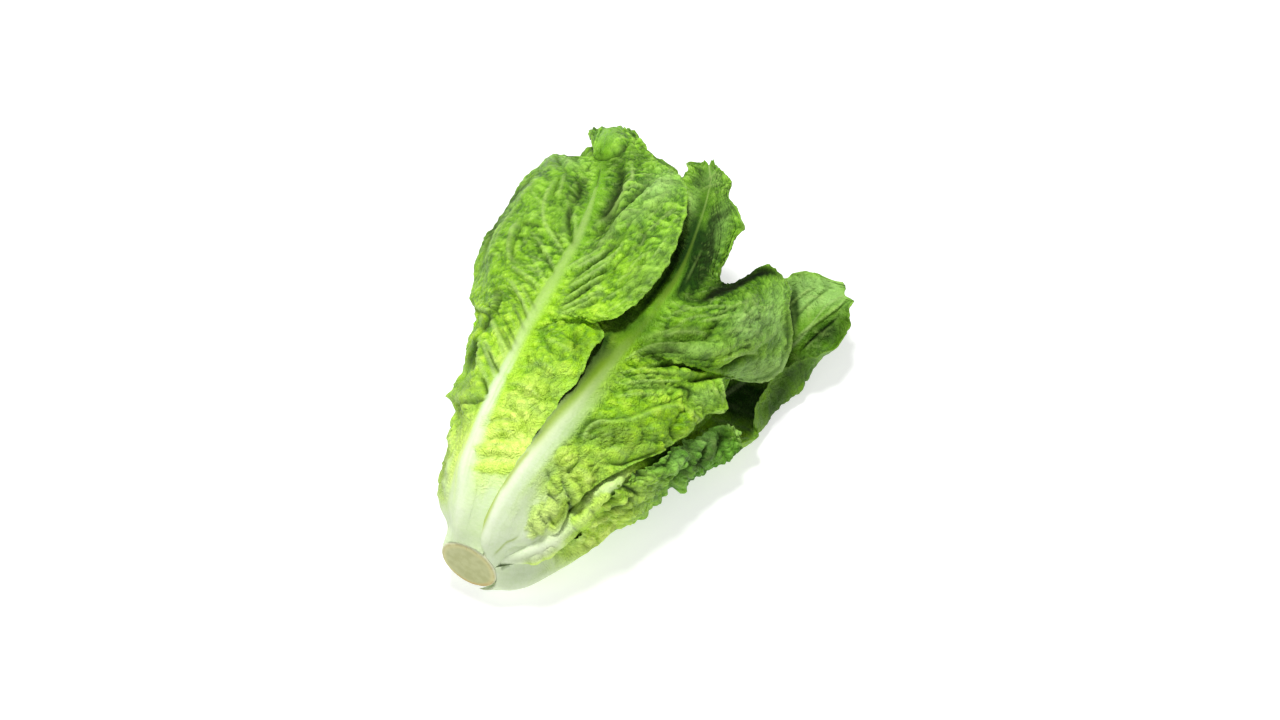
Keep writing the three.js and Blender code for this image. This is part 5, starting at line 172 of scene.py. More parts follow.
  -101.2,-9.6,58.8, -101.5,-17.6,57.7, -101.7,-25.3,55.8, -102.2,-32.6,51.6, -102.2,-38.5,46.2, -100.6,-41.5,40.3, -98.6,-42.3,34.2, -96.4,-39.9,28.8, -94.5,-37.2,23.2,
  -90.5,-9.7,61.8, -90.9,-18.5,61, -91.2,-27,59.3, -91.8,-35.4,55.2, -91.9,-42.2,49.8, -90.4,-45.6,43.3, -88.2,-46.6,36.4, -86.3,-45,30, -84.1,-40.7,24.7,
  -78.5,-9.3,64.7, -79.3,-19,64, -80.2,-28.4,62.3, -81.5,-37.7,58, -81.9,-45.3,52.3, -80,-49.2,45.6, -77.2,-50.5,38.6, -74.8,-49,31.7, -72.3,-46.3,25,
  -65.8,-9.2,68.9, -66.9,-20.2,67.8, -68.1,-30.8,65.6, -69.8,-41.1,60.4, -70.5,-49.1,53.8, -68.1,-52.8,47.3, -64.6,-53.8,40.5, -61.7,-52.4,33.7, -58.5,-49.2,27.5,
  -53.3,-9.8,71.8, -55.2,-22.3,70, -57.1,-34.1,67, -59.8,-44.8,60.4, -61,-53,52.7, -58,-55.9,46.4, -53.6,-56,40.4, -49.9,-54.5,34.3, -46.2,-52.2,28.2,
  -38.8,-11.9,74, -41.2,-25.7,71.1, -43.5,-38.5,66.9, -46.7,-49.1,58.3, -48.2,-56.5,49.3, -44.9,-58.4,43.7, -40,-57.6,39.1, -36,-56.2,34, -31.9,-54.2,29,
  -22.4,-17.2,75.7, -24,-32.6,70.3, -25.6,-46,63.4, -27.8,-54.1,51.5, -28.7,-58.5,40.4, -25.9,-59.3,36.6, -21.8,-58.3,35.1, -18.3,-57.5,32.5, -14.8,-56.4,29.8,
  -5.9,-26.5,75.9, -6.7,-41.7,68.1, -7.5,-54.2,59.2, -8.7,-59.2,45.2, -9,-60.6,33.1, -6.8,-60.6,30.9, -3.6,-59.6,31.8, -0.9,-59,31.2, 1.8,-58.4,30.5,
  9.1,-39.2,72.7, 7.9,-50,65.3, 6.8,-59,57.3, 5.2,-63,46.1, 4.6,-64.2,36.5, 6.6,-63.6,33.9, 9.6,-62,33.7, 12.1,-60.7,32.3, 14.6,-59.3,31,
  23.4,-53.6,64.2, 22.7,-57.6,59.7, 21.9,-61,55.1, 20.9,-63.4,49.8, 20.4,-64.6,44.9, 21.4,-64.3,41.4, 22.9,-63.3,38.5, 24.2,-61.9,35.4, 25.4,-60.4,32.3]},
"outer_leaf_08": {"rib": 0.7, "rows": 12, "cols": 7, "p": [
  -134.3,-5.2,13.6, -132.5,-2.2,12.6, -132.1,1.5,11.1, -132.8,7.7,10.7, -132.9,8.2,10.8, -132.5,11.2,11.8, -132.4,13.8,13.4,
  -119.7,-8.8,12.3, -121.7,-4.4,11.5, -123.2,0.1,12.3, -123.5,4.8,13, -122.8,8.4,12.7, -121.1,11.8,11.7, -119.2,15.6,11.7,
  -100.9,-18.5,7.6, -105.4,-10.2,9.8, -109.3,-2.6,10.7, -111.5,3.7,10.6, -109.6,5.7,8.2, -105.5,10.2,6.4, -100.9,13.3,6.1,
  -81.2,-24.6,8.6, -88,-16.8,8.6, -94.1,-9.4,9.6, -97.9,-1.5,11.7, -94.2,3.6,8.3, -88.2,9,6.8, -81.3,15,6.8,
  -62,-27.3,12.4, -70.4,-20.3,9.7, -77.6,-12.2,10.7, -82.4,-4.5,12, -77.7,3.7,7.7, -70.5,11.7,7, -62.3,20.1,8.2,
  -44.6,-32.4,13, -53.2,-23.8,9.6, -60.7,-14.3,9, -65.1,-3.6,10.2, -60.8,6.4,6.5, -53.3,17,7.5, -44.8,27.5,10.4,
  -29,-38.3,14.9, -36.7,-27.7,10.1, -43.5,-15.8,8.1, -47.8,-3.1,7.4, -43.6,10.4,6.3, -36.8,23.5,9, -29.1,36,13.6,
  -14.6,-43.3,18.5, -20.7,-31.1,11.8, -26.1,-17.2,7.6, -29.5,-1.5,7.2, -26.1,14.8,6.6, -20.7,30.2,10.5, -14.6,44.3,16.8,
  -0.5,-47,21.7, -4.6,-33.5,13.4, -8.1,-17.7,8.2, -10.5,0.5,7.5, -8.1,19.2,6.8, -4.6,36.4,11.4, -0.5,51.7,18.7,
  14.1,-47.8,22, 12.1,-33.5,13.6, 10.4,-16.6,8.2, 9.6,3.1,7.7, 10.5,22.6,6.5, 12.2,40.6,10.9, 14.1,56.6,18.1,
  29.6,-40.9,17.1, 29.7,-26.9,11, 29.7,-11.5,6.8, 29.6,5.5,5.2, 29.8,22.7,5.6, 29.8,38.7,8.5, 29.7,53.4,13.5,
  44.8,-15.3,10.5, 47.6,-7,7.9, 49.7,0.7,5.6, 50.4,8.7,4.9, 49.8,16.7,4.7, 48.1,24.5,5.1, 45.4,32,6]},
"outer_leaf_09": {"rib": 0.75, "rows": 12, "cols": 7, "p": [
  -132.4,17,17.4, -134.5,18.7,18.5, -134.7,19.4,20.6, -134.7,19.7,23.1, -134.5,19.3,26.2, -134.7,18.1,29.8, -136.3,17.4,32.7,
  -123.5,20.3,17.5, -123.7,22.6,22.2, -123.2,23.6,26.6, -123.1,23.6,31.7, -124.6,23.1,36.8, -125,19.6,41, -125.2,15.1,44.3,
  -106,27.3,17.6, -106.2,30.8,24.3, -106.5,32.5,31.3, -106.7,31.7,38.5, -106.7,28,44.9, -106.5,22.3,50.1, -106.4,15.4,54,
  -81,34.3,18.9, -81.8,38.7,26.9, -82.7,40.6,35.2, -83.5,39.3,43.6, -82.8,34.4,51.3, -81.9,27,57.4, -81,18.2,61.9,
  -53,42.8,20.6, -54.6,47.9,29.4, -56.4,50.1,38.7, -57.8,48.4,48.1, -56.4,42.4,56.9, -54.6,33.5,63.8, -53,22.7,68.9,
  -26.4,52.3,22.1, -28.3,57.5,31.6, -30.3,59.6,41.3, -32,57.3,51.1, -30.3,50.4,60.5, -28.3,40.3,67.8, -26.5,28.1,73,
  -0.8,62.7,24.1, -3.3,67.7,33.5, -6.1,69.2,43.4, -8.2,66.3,53.3, -6,58.7,62.9, -3.3,47.8,70.2, -0.8,34.8,75.5,
  23.6,72.9,27.1, 19.9,77.8,35.4, 16.1,78.4,45.1, 13,74.8,54.8, 16.1,67,64.2, 19.8,55.9,71.5, 23.2,42.3,75.9,
  45.4,83.9,28.2, 41.5,86.5,37.3, 37.2,86.2,46.3, 33.7,82.1,55.2, 36.6,74.3,64.1, 40.3,63.5,71.2, 43.6,50.5,76.4,
  64.6,91.2,31.3, 60,92.1,39.5, 55.1,91.1,47.6, 51,87.2,55.4, 54.3,80,63.4, 58.5,70.4,69.8, 62.3,58.9,74.8,
  79.2,95.2,35.7, 74.7,95.1,42.2, 69.7,93.8,48.8, 65.6,90.6,55.2, 69.1,84.9,61.7, 73.4,77.2,67.1, 77.3,68.3,71.4,
  89.5,97.2,41.2, 85.9,95.7,45.4, 81.8,93.7,49.6, 78.6,91.7,54, 81.4,89.4,59, 85.1,84.5,63, 88.4,78.7,66.4]},
"outer_leaf_10": {"rib": 0.75, "rows": 12, "cols": 7, "p": [
  -131.9,11,12.9, -131,17.4,20.1, -131.6,17.9,21.1, -131.5,18,22.2, -131.9,18.2,25.9, -132.4,17,29.8, -133.4,14.8,33.3,
  -113.8,18.5,12.1, -116.5,19.6,15.7, -118.1,18.3,20, -119.8,18.6,24, -118.4,20.4,27.9, -116.5,22.7,32.6, -114,23.8,37.5,
  -89.8,29.4,16, -95.4,29.2,20.7, -100.1,28.1,24.9, -102.7,27.6,27.6, -100.1,31,33.2, -94.9,32.8,38.8, -88.6,33.7,43.6,
  -64.3,36.2,17.8, -72.7,36.1,22.7, -80.1,35.7,27.3, -84.4,34.7,31.8, -79.8,38.5,37.5, -71.7,40.6,43.4, -62.8,42.2,49,
  -39.7,41.1,17.5, -49.9,42.3,22.9, -59,43,28.4, -64.2,42.2,34.6, -58.6,46.2,41.1, -49,48.4,47.4, -38.2,49.7,53.7,
  -16.7,43.6,18.8, -27.7,48.3,21.9, -37.1,50.2,28.7, -42.7,50.3,36.4, -36.8,54.2,44.2, -26.7,55.7,51.5, -15.5,55.8,58.4,
  4.1,45,16.8, -6.4,53.7,20.2, -14.9,57.6,28.4, -20,59.1,37.8, -14.7,62.7,47.5, -5.5,62.3,56, 4.8,59.3,63.5,
  22.7,44.3,13.8, 14.8,56.4,20.1, 7.6,65.1,27.7, 3.5,68.9,38.8, 7.6,71.2,50.3, 14.9,67.3,60.2, 23.1,59.4,68.1,
  40.6,41.7,11.1, 35.2,59.3,16.5, 30.6,72,26.4, 27.7,78.6,39, 30.6,78.9,52.2, 35.5,71.2,63, 40.9,58.1,71.2,
  59.3,41.6,7.8, 56.8,62.2,15.5, 54.6,77.7,25.7, 53.2,86.1,38.7, 54.6,85.7,52.4, 57,76.3,63.5, 59.6,60.6,71.9,
  79.6,52.8,9.8, 79.7,70,17.3, 79.6,83,26.5, 79.5,90.4,37.6, 79.7,91,49.1, 79.8,85,59.4, 79.6,73.5,66.8,
  100.4,81.8,20.9, 103.6,87,25.3, 105.7,91,30, 106.4,93.8,35.1, 105.7,95.6,40.3, 103.6,96,45.6, 100.4,95.3,50.8]},
"outer_leaf_11": {"rib": 0.7, "rows": 12, "cols": 7, "p": [
  -129.1,16.6,27.3, -129,16.2,28.7, -129.8,15.3,30.8, -130.4,13.3,33.4, -130.5,10,35.3, -130.6,6.4,36.2, -130.6,2.6,36,
  -108.8,23.4,34, -112.2,20.9,34.8, -115.1,17.8,35.9, -116.9,14.2,37.8, -115.2,10.7,41.2, -112.4,7,45, -109.3,3.2,48.5,
  -81.5,33.2,49.8, -88.1,28.4,51.3, -93.9,23,51, -97.6,17.9,50.9, -93.8,14,56.3, -88.4,10.8,62.9, -81.6,6.4,66.2,
  -52.8,41.6,54.7, -62.7,35.5,56.7, -71.2,28.7,57.6, -75.9,21.4,57.2, -70.9,17.4,63.3, -62.7,13.7,69.8, -52.8,9.1,73.7,
  -25.1,50.4,56.2, -37,43.3,59.6, -47.3,35.4,62, -53.1,26.5,62.5, -47,21.4,68.8, -37,16.5,74.8, -25.1,10.7,78.4,
  0.4,60.1,55.6, -11.9,52.2,60.7, -22.7,43,64.8, -29,32.6,66.8, -22.8,25.9,74.6, -11.9,18.4,79.3, 0.4,10.3,82.4,
  23.4,68.7,53.1, 12.2,61.2,60.4, 2.3,51.6,66.7, -3.4,39.2,69.6, 2.3,30,78.1, 12.2,19.4,82.3, 23.4,7.9,84.3,
  44.5,75.9,48.8, 35.7,69.6,58.3, 28,59.6,66.1, 23.3,46.3,71.7, 27.9,33.2,79.6, 35.7,18.8,83.4, 44.5,3.3,84.2,
  65,79.9,45.1, 59.2,75.8,56.4, 54.1,67,66, 50.9,52.9,73.3, 53.9,36.6,79.6, 59.1,18.7,83.3, 65,-0.5,82.9,
  86.4,83.6,42.4, 83.6,80.5,54.2, 81.1,72.3,64.8, 79.5,58.1,73.4, 80.7,39.5,76.6, 83.6,20.6,81.1, 86.4,-0.2,80.1,
  109.5,86.4,43, 109.5,82.7,52.7, 109.3,75.1,61.5, 109,62.7,68.6, 109.1,46,71.6, 109.4,29,75.9, 109.5,10.3,76.2,
  134.2,79.9,50.8, 137,75.4,53.5, 138.8,70.1,56.3, 139.4,63.9,59.1, 138.8,56.8,61.8, 137,49.2,64.7, 134.2,41.2,67.6]},
"inner_leaf_12": {"rib": 0.7, "rows": 12, "cols": 7, "p": [
  -130.4,-3,14.5, -134.1,0.4,11.8, -135.6,7,11.1, -128.5,10.9,14.1, -126.6,15.2,18.7, -127.7,15.9,19.7, -127.6,16.4,24.4,
  -113.6,-2.8,14.2, -115.9,2.7,15.3, -116.7,8.7,15.9, -118.9,11.6,16.4, -117.4,14,16.7, -114.1,15.4,19, -111.6,18.1,23.6,
  -92.3,-3.7,14.9, -97.4,3.7,11.8, -102.4,8.3,11.1, -105.4,13.3,12.4, -102.3,18.2,14.9, -97.3,22.7,18.3, -91.6,27,22.3,
  -68.4,-3.5,13.2, -76.8,3.2,10.5, -84.1,9.1,9.7, -88.6,15.3,11.4, -84.1,22.1,14.8, -76.9,28.5,19.1, -68.8,34.5,23.8,
  -46.3,-5.3,10.4, -56.1,2.7,9.7, -64.7,10.3,9.9, -70,18,12.2, -64.7,26.8,16.4, -56.1,34.9,21.7, -46.4,42.2,27.4,
  -25.8,-8.5,9.6, -35.8,1.7,9.1, -44.7,11.8,10, -50.2,21.8,13, -44.7,32.6,18.1, -35.8,42,24.5, -25.8,50.1,31.7,
  -7.2,-13.1,10.3, -16.3,0.1,9.7, -24.4,13.1,10, -29.4,25.9,13.6, -24.4,38.9,19.9, -16.3,49.4,27.9, -7.2,57.6,36.9,
  9.8,-19.4,12.4, 2.6,-2.6,9.8, -3.7,14.2,10, -7.7,30.8,14.1, -3.7,45.9,21.8, 2.6,56.7,31.7, 9.8,63.4,43,
  26.3,-23.7,14.8, 21.6,-4,10.6, 17.4,16.1,10.1, 14.8,35.8,14.4, 17.4,52.6,23, 21.6,63.2,34.3, 26.3,68.3,47.1,
  43.7,-23.2,15.3, 41.4,-2,10.8, 39.3,19.7,10.1, 38,40.8,14.4, 39.3,58.1,23, 41.4,68.7,34.3, 43.7,73.5,47.2,
  62.3,-10.9,13.1, 62.3,8,10.3, 62.1,26.9,10.4, 61.9,45,14.1, 62.1,60,21, 62.3,70.1,30, 62.3,76,40.4,
  80.8,21.4,8.9, 83.8,30.8,9.8, 85.8,39.8,11.3, 86.4,48.2,13.6, 85.8,56,16.2, 83.8,62.8,19.5, 80.8,68.6,23.2]},
"inner_leaf_13": {"rib": 0.65, "rows": 12, "cols": 7, "p": [
  -125.4,15.5,28.4, -125.6,13.4,31.6, -125.8,10.5,33.9, -126.8,7.2,35.4, -127.5,3.4,35.5, -128.4,-0,34.7, -128.6,-3.4,32.6,
  -109.9,16.9,36.1, -112.1,13.5,36.2, -114.2,9.7,36.1, -116.2,6,37.2, -115.8,1.7,40, -113.7,-3.4,41.3, -111.2,-8.4,42.2,
  -88.8,19.5,50, -94.2,14.3,50.8, -98.9,9.2,50.5, -101.1,4,48.6, -99.7,-1.7,53.5, -95,-7.6,55.9, -89.6,-13.5,57.3,
  -65.5,24.5,56.5, -73.7,16.3,59.7, -81.4,10.7,61.6, -84.9,3.7,59.6, -81.5,-3.3,64.1, -73.8,-10,64.1, -66.4,-16.7,66.2,
  -44,31.7,60.4, -53.2,21.9,62.7, -62.3,14.4,66, -67.6,5.3,66.9, -62.5,-3.1,69.1, -53.9,-11.2,69.4, -44.5,-19.2,69.8,
  -24.1,39.8,61.6, -33.5,29,64.5, -42.7,19.1,69, -48.2,7.8,71.2, -42.8,-3,72.9, -34.1,-13.2,72.5, -24.2,-23,71.1,
  -5.9,48.2,60.3, -14.6,37,65.5, -22.8,25,71.5, -27.8,10.8,74.5, -22.8,-3,76, -14.9,-15.9,74.8, -5.9,-27.8,71.6,
  10.8,56.1,57.3, 3.8,45.3,66.2, -2.5,31.4,73.2, -6.4,14.2,77.4, -2.5,-3.1,78.4, 3.8,-18.9,75.9, 10.8,-33.2,70.6,
  27.2,63.1,55.2, 22.5,52.4,65.9, 18.5,37.2,73.9, 15.8,18,79.1, 18.4,-2.2,79.8, 22.5,-20.4,76.1, 27.1,-36.5,69.1,
  44.3,68.4,55.6, 42,57.5,66.5, 40,42,74.7, 38.7,21.9,79.8, 40,0.6,80.4, 42,-18.8,76.4, 44.3,-35.9,68.9,
  62.6,67.2,60.5, 62.6,56.7,69, 62.5,42.9,75.4, 62.3,25.7,79.2, 62.5,7.2,79.8, 62.6,-10.1,76.9, 62.6,-25.9,71.2,
  81,52,71.3, 83.9,45,73.3, 85.7,37.2,74.7, 86.4,28.8,76.5, 85.8,19.9,77.1, 83.9,10.6,77.1, 81,1.3,76.6]},
"inner_leaf_14": {"rib": 0.6, "rows": 12, "cols": 7, "p": [
  -125.6,-5.7,28.9, -125.6,-6.4,25.2, -125.6,-6.1,21.6, -125.6,-4.7,18.5, -126,-3.3,16.9, -127.7,-4.3,17.5, -133.4,-5.8,15.6,
  -109,-14.7,33.2, -111.5,-12.8,28.6, -113.7,-10.3,24.2, -115.1,-7.5,20.1, -113.9,-5.4,17.8, -112.1,-3.8,17.8, -110,-1.8,17.5,
  -88.3,-31.3,35.4, -93.6,-27.8,30.9, -98.3,-23.6,26.7, -101.2,-18.9,22.9, -98.3,-17,19.4, -93.7,-15,17, -88.5,-12.4,15.3,
  -66.3,-40.5,38.9, -74,-37.8,33.6, -80.8,-33.8,28.6, -85,-28.8,24, -80.8,-25.6,20.1, -74,-21.6,17.2, -66.3,-16.7,15.1,
  -45.1,-41.3,43.9, -54.3,-40.2,37.1, -62.4,-37.7,30.4, -67.4,-33.2,24.2, -62.4,-27.5,20.1, -54.3,-20.4,17.3, -45.1,-12.4,15.5,
  -25.6,-41.5,48.9, -35.1,-41.6,40.9, -43.5,-39.3,33.1, -48.7,-34.2,25.8, -43.5,-26.7,20.5, -35.1,-17.3,17.1, -25.6,-6.8,15.2,
  -8.1,-41.3,54.1, -16.7,-42.9,44.8, -24.3,-41,35.6, -29,-34.9,26.8, -24.3,-25.4,20.4, -16.7,-13.5,16.6, -8.1,0,14.9,
  8,-39.8,59.1, 1.2,-43.8,48.6, -4.8,-42.7,38, -8.5,-35.6,27.8, -4.8,-23.4,20.2, 1.2,-8.2,16.1, 8,8.9,14.9,
  23.6,-38.1,62.3, 19.2,-43.9,51, 15.2,-43.6,39.5, 12.8,-35.6,28.4, 15.2,-21.1,20.1, 19.2,-3.1,16, 23.6,17.1,15.6,
  40.1,-37.2,62.8, 37.9,-43.3,51.4, 35.9,-43,39.7, 34.7,-34.5,28.6, 35.9,-19.1,20.3, 37.9,0,16.3, 40.1,21.3,16,
  57.6,-37.6,57.5, 57.6,-41.2,47.5, 57.5,-39.9,37.6, 57.3,-32.3,28.4, 57.5,-19.3,21.3, 57.6,-3.1,17.5, 57.6,15,16.5,
  75.2,-38.5,41.5, 78,-36.5,36.5, 79.8,-33.6,31.8, 80.4,-29.5,27.6, 79.8,-23.8,24, 78,-17.3,21.2, 75.2,-10.1,18.8]},
"inner_leaf_15": {"rib": 0.55, "rows": 12, "cols": 7, "p": [
  -131,11,13.5, -124.7,14.4,20, -124.6,14.2,19.7, -122.2,15.2,26.4, -122.2,15.2,27.2, -121,13.9,29.5, -120.7,12.9,30.8,
  -107.6,7.8,19.2, -109.5,11.2,20.8, -111.2,13.3,23.2, -112.4,14.6,26.5, -110.9,14.3,30.8, -108.6,12.9,35, -105.9,10.5,38.8,
  -86.4,15.1,22.4, -91.5,16.2,24.7, -96,16.6,27.6, -98.8,16.6,31.3, -95.9,18,35.9, -91.3,18.9,40.6, -86.1,19.1,45.2,
  -64.8,21.3,24, -72.2,22.4,27, -78.9,22.8,30.6, -83,22.8,34.7, -78.9,24.7,40.1, -72.2,26.1,45.5, -64.7,26.7,50.6,
  -44.1,23.3,23.9, -53,26.6,27.4, -60.9,28.8,31.5, -65.8,29.8,36.5, -60.9,31.2,43, -53,31.2,49.4, -44.1,30.1,55.4,
  -25.1,24.2,22.7, -34.3,29.1,26.9, -42.5,32.4,32.1, -47.6,33.9,38.6, -42.5,35.2,46.1, -34.3,34.6,53.3, -25.1,32.2,60,
  -7.9,23.9,21.3, -16.3,31.3,26.1, -23.7,36.4,32.3, -28.4,38.7,40.1, -23.7,39.6,49, -16.3,37.4,57.2, -7.9,32.4,64.5,
  7.7,20.8,19.9, 1.1,32.2,25, -4.7,40.3,32.1, -8.4,44.2,41.5, -4.7,44.1,51.8, 1.1,38.8,60.8, 7.7,29.5,68.3,
  23,17.8,19.4, 18.7,33.1,24.3, 14.8,44.4,31.9, 12.4,49.9,42.4, 14.8,48.7,53.7, 18.7,40.6,63.1, 23,27.3,70.4,
  39.1,18.9,19.4, 36.9,36.2,24.4, 35,49,32.2, 33.8,55.4,42.8, 35,53.8,54.1, 36.9,44.8,63.5, 39.1,30.3,70.9,
  56.2,29.5,21.7, 56.2,43.9,26.7, 56,54.6,33.6, 55.8,60.1,42.6, 56,59.3,52, 56.2,52.7,60.3, 56.2,41.7,67.4,
  73.6,53.4,29.6, 76.2,57.8,33.3, 77.9,61.2,37.3, 78.4,63.1,41.6, 77.9,63.8,46, 76.2,63.1,50.4, 73.6,61.3,54.9]},
"inner_leaf_16": {"rib": 0.5, "rows": 12, "cols": 7, "p": [
  -117.5,4.9,34.1, -118.4,3.4,34.6, -118.6,0.6,34.4, -118.6,-2.3,32.9, -118.6,-4.4,30.6, -118.6,-5.5,27.8, -118.6,-5.8,24.7,
  -103,2.5,41.9, -105.4,0.1,40.6, -107.6,-2.5,38.7, -108.9,-5.4,36.3, -107.6,-8.7,34.3, -105.5,-11.5,32.5, -103.2,-13.7,30.7,
  -83.9,-3.8,53, -88.9,-6.6,50, -93.2,-9.4,46.7, -96,-12.4,43.4, -93.2,-16.9,41.8, -88.9,-21.1,40.7, -84,-24.9,39.7,
  -63.6,-5.3,61.1, -70.7,-10.2,58.1, -77,-14.6,54.6, -81,-18.7,50.8, -77,-23.7,48.9, -70.7,-28,47.1, -63.6,-31.4,45.1,
  -44,-1,64.7, -52.5,-8.7,62.8, -60,-15.7,59.9, -64.7,-21.8,55.9, -60,-27.1,52.9, -52.5,-30.6,49.5, -44,-32.8,45.6,
  -25.9,5.5,66.4, -34.7,-4.4,65.2, -42.5,-13.7,62.7, -47.3,-21.9,58.7, -42.5,-27.9,54.3, -34.7,-31.5,49.4, -25.9,-33.1,44.1,
  -9.7,13.1,67.2, -17.6,0.7,67.3, -24.7,-11,65.2, -29.1,-21.5,60.9, -24.7,-28.9,55.3, -17.6,-32.6,48.9, -9.7,-33.3,42.1,
  5.2,21.7,66.7, -1,6.7,68.6, -6.6,-7.9,67.6, -10,-21.1,63, -6.6,-30,56, -1,-33.6,47.9, 5.2,-32.7,39.3,
  19.8,28.3,66.4, 15.6,11.6,69.6, 12,-5,69.3, 9.7,-20.2,64.5, 12,-30.4,56.6, 15.6,-34,47.2, 19.8,-32.1,37.4,
  35,31.1,67.7, 33,13.9,70.7, 31.2,-3,70.1, 30,-18.6,65.2, 31.2,-29.5,57.2, 33,-33.5,47.7, 35,-31.8,37.5,
  51.4,25.3,69.9, 51.3,10.7,70.9, 51.2,-3.5,69.5, 51,-16.4,65.1, 51.2,-26,58.5, 51.3,-30.6,50.6, 51.4,-30.8,42,
  68,4.2,70.3, 70.4,-2.2,68.7, 71.9,-8.2,66.7, 72.4,-13.9,64.2, 71.9,-18.9,61.2, 70.4,-22.9,57.9, 68,-26.2,54.2]},
"heart_leaf_17": {"rib": 0.45, "rows": 12, "cols": 7, "p": [
  -114.6,-4.6,23.4, -114.6,-2.8,21.2, -114.7,-1.1,19.7, -114.8,1.8,17.4, -114.9,2.6,17.4, -124.2,13.2,19.2, -119.9,13.8,27.3,
  -100,-11.8,28.9, -102.2,-8.2,25.7, -104.2,-4.4,23.2, -105.4,-0.5,21.4, -104.6,1.9,20.2, -103.4,5.2,20.1, -101.1,10.6,29.3,
  -81.8,-16.6,27.7, -86.4,-12.5,26, -90.6,-8,24.7, -93.2,-3.4,24, -90.7,0.8,23.9, -86.7,4.8,24.8, -82,8.6,26.7,
  -62.5,-19.3,26.5, -69.2,-14.8,24.8, -75.2,-10,23.8, -78.9,-4.6,23.6, -75.2,0.9,23.4, -69.2,6.4,24.1, -62.5,11.8,25.5,
  -43.9,-21.1,28.1, -51.9,-16.1,24.9, -59.1,-10.4,22.8, -63.5,-4,22.2, -59.1,3.2,22.5, -51.9,10.2,24.3, -43.9,16.8,27.3,
  -26.8,-23.2,31.3, -35.1,-17.5,27.1, -42.4,-10.7,24.1, -47,-2.7,22.7, -42.4,6.3,23.8, -35.1,14.8,26.6, -26.8,22.6,30.6,
  -11.3,-25.5,35.3, -18.9,-19.2,29.6, -25.6,-11.1,25.4, -29.8,-1,23.6, -25.6,10.1,25, -18.9,20,28.8, -11.3,28.6,34.3,
  2.8,-26.9,39.9, -3.2,-20.7,32.3, -8.4,-11.5,26.9, -11.7,0.9,24.4, -8.4,14.4,26.1, -3.2,25.6,30.9, 2.8,34.4,37.9,
  16.5,-27.5,42.8, 12.6,-21.4,34, 9.1,-11.2,27.7, 7,3.2,24.9, 9.1,18.5,26.7, 12.6,30.7,32, 16.5,39.6,39.9,
  31,-27.4,42.2, 29,-20.4,33.7, 27.3,-9.3,27.7, 26.2,5.9,25.1, 27.3,21.7,26.6, 29,34.4,31.7, 31,43.7,39.3,
  46.5,-23.2,37, 46.4,-15.1,30.8, 46.3,-4.4,26.6, 46.1,8.8,24.9, 46.3,22.4,25.9, 46.4,33.7,29.5, 46.5,42.8,35.2,
  62.4,-7.6,27, 64.6,-1.5,25.6, 66,4.9,24.7, 66.4,11.5,24.5, 66,18,24.7, 64.6,24.2,25.6, 62.4,30,27]},
"heart_leaf_18": {"rib": 0.4, "rows": 12, "cols": 7, "p": [
  -111.6,11,30.9, -110.9,10.9,31, -110.6,9.8,32, -110.6,8,33.5, -110.6,5.8,34.8, -110.6,3.4,35.4, -110.6,0.7,35.4,
  -96.9,7,33.3, -98.9,7.3,34.5, -100.7,6.9,35.8, -101.9,5.4,37.1, -100.7,2.2,39.2, -98.9,-1.4,40.8, -96.8,-5.1,41.7,
  -79.6,10.9,37.8, -84,9.2,38.8, -87.9,7.3,40, -90.3,4.8,41.4, -87.9,1.8,43.9, -84,-1.2,46.3, -79.6,-4.2,48.3,
  -61.4,16.9,41.1, -67.7,14.2,42.8, -73.4,11,44.4, -76.9,7.2,46.1, -73.4,4.4,49.1, -67.7,1.5,51.9, -61.4,-1.6,54.1,
  -43.8,21.5,42.3, -51.4,19.3,45.3, -58.1,15.8,47.9, -62.3,11.3,50.2, -58.1,7.7,53.7, -51.4,3.7,56.4, -43.8,-0.9,58,
  -27.6,24.2,41.2, -35.5,22.7,45.4, -42.4,19.5,49.4, -46.8,14.7,53.1, -42.4,9.4,56.5, -35.5,3.7,58.8, -27.6,-2.3,59.9,
  -13.1,27.1,40, -20.2,26.3,45.2, -26.5,23.1,50.2, -30.4,17.4,54.8, -26.5,10.6,58.8, -20.2,3.2,60.9, -13.1,-4.5,61.6,
  0.3,29.2,38.2, -5.3,29.9,44.6, -10.3,27.2,50.8, -13.4,20.5,56.6, -10.3,11.7,60.8, -5.3,2.1,62.4, 0.3,-7.9,61.6,
  13.3,30.9,36.8, 9.6,33.3,44.1, 6.3,31.3,51.4, 4.2,24,58, 6.3,13.2,62.2, 9.6,1.6,63, 13.3,-10.2,60.7,
  26.9,33.4,36.7, 25.1,36.6,44.4, 23.5,35,51.9, 22.5,27.6,58.7, 23.5,16,62.8, 25.1,3.3,63.2, 26.9,-9.6,60.4,
  41.7,37,40, 41.6,39.2,46.7, 41.4,37.6,53.2, 41.2,31.3,58.9, 41.4,21.3,62.4, 41.6,10.1,63.1, 41.7,-1.6,61.4,
  57,40.9,50, 58.8,39.7,53.2, 60,37.7,56.2, 60.4,34.5,58.8, 60,30.1,60.8, 58.8,25,62.3, 57,19.4,63.4]},
"heart_leaf_19": {"rib": 0.35, "rows": 12, "cols": 7, "p": [
  -106.6,-3.8,34.5, -106.6,-5.2,33, -106.6,-6,31.4, -106.6,-6.3,29.5, -106.6,-5.8,27.6, -106.6,-4.6,26.1, -106.6,-3,24.9,
  -93.9,-7.8,40.1, -95.8,-9.4,38.3, -97.5,-10.1,36, -98.6,-9.9,33.2, -97.5,-9.8,31.8, -95.8,-8.8,30.6, -93.9,-6.9,29.4,
  -78.1,-11.1,44, -82.2,-12.3,41.5, -85.8,-12.8,38.7, -88,-12.7,35.8, -85.8,-12.5,34, -82.2,-11.7,32.6, -78.1,-10.2,31.6,
  -61.4,-13.5,47.4, -67.2,-14.7,44.3, -72.4,-15.3,41.1, -75.7,-15.2,37.9, -72.4,-15.1,35.6, -67.2,-14.2,33.8, -61.4,-12.8,32.4,
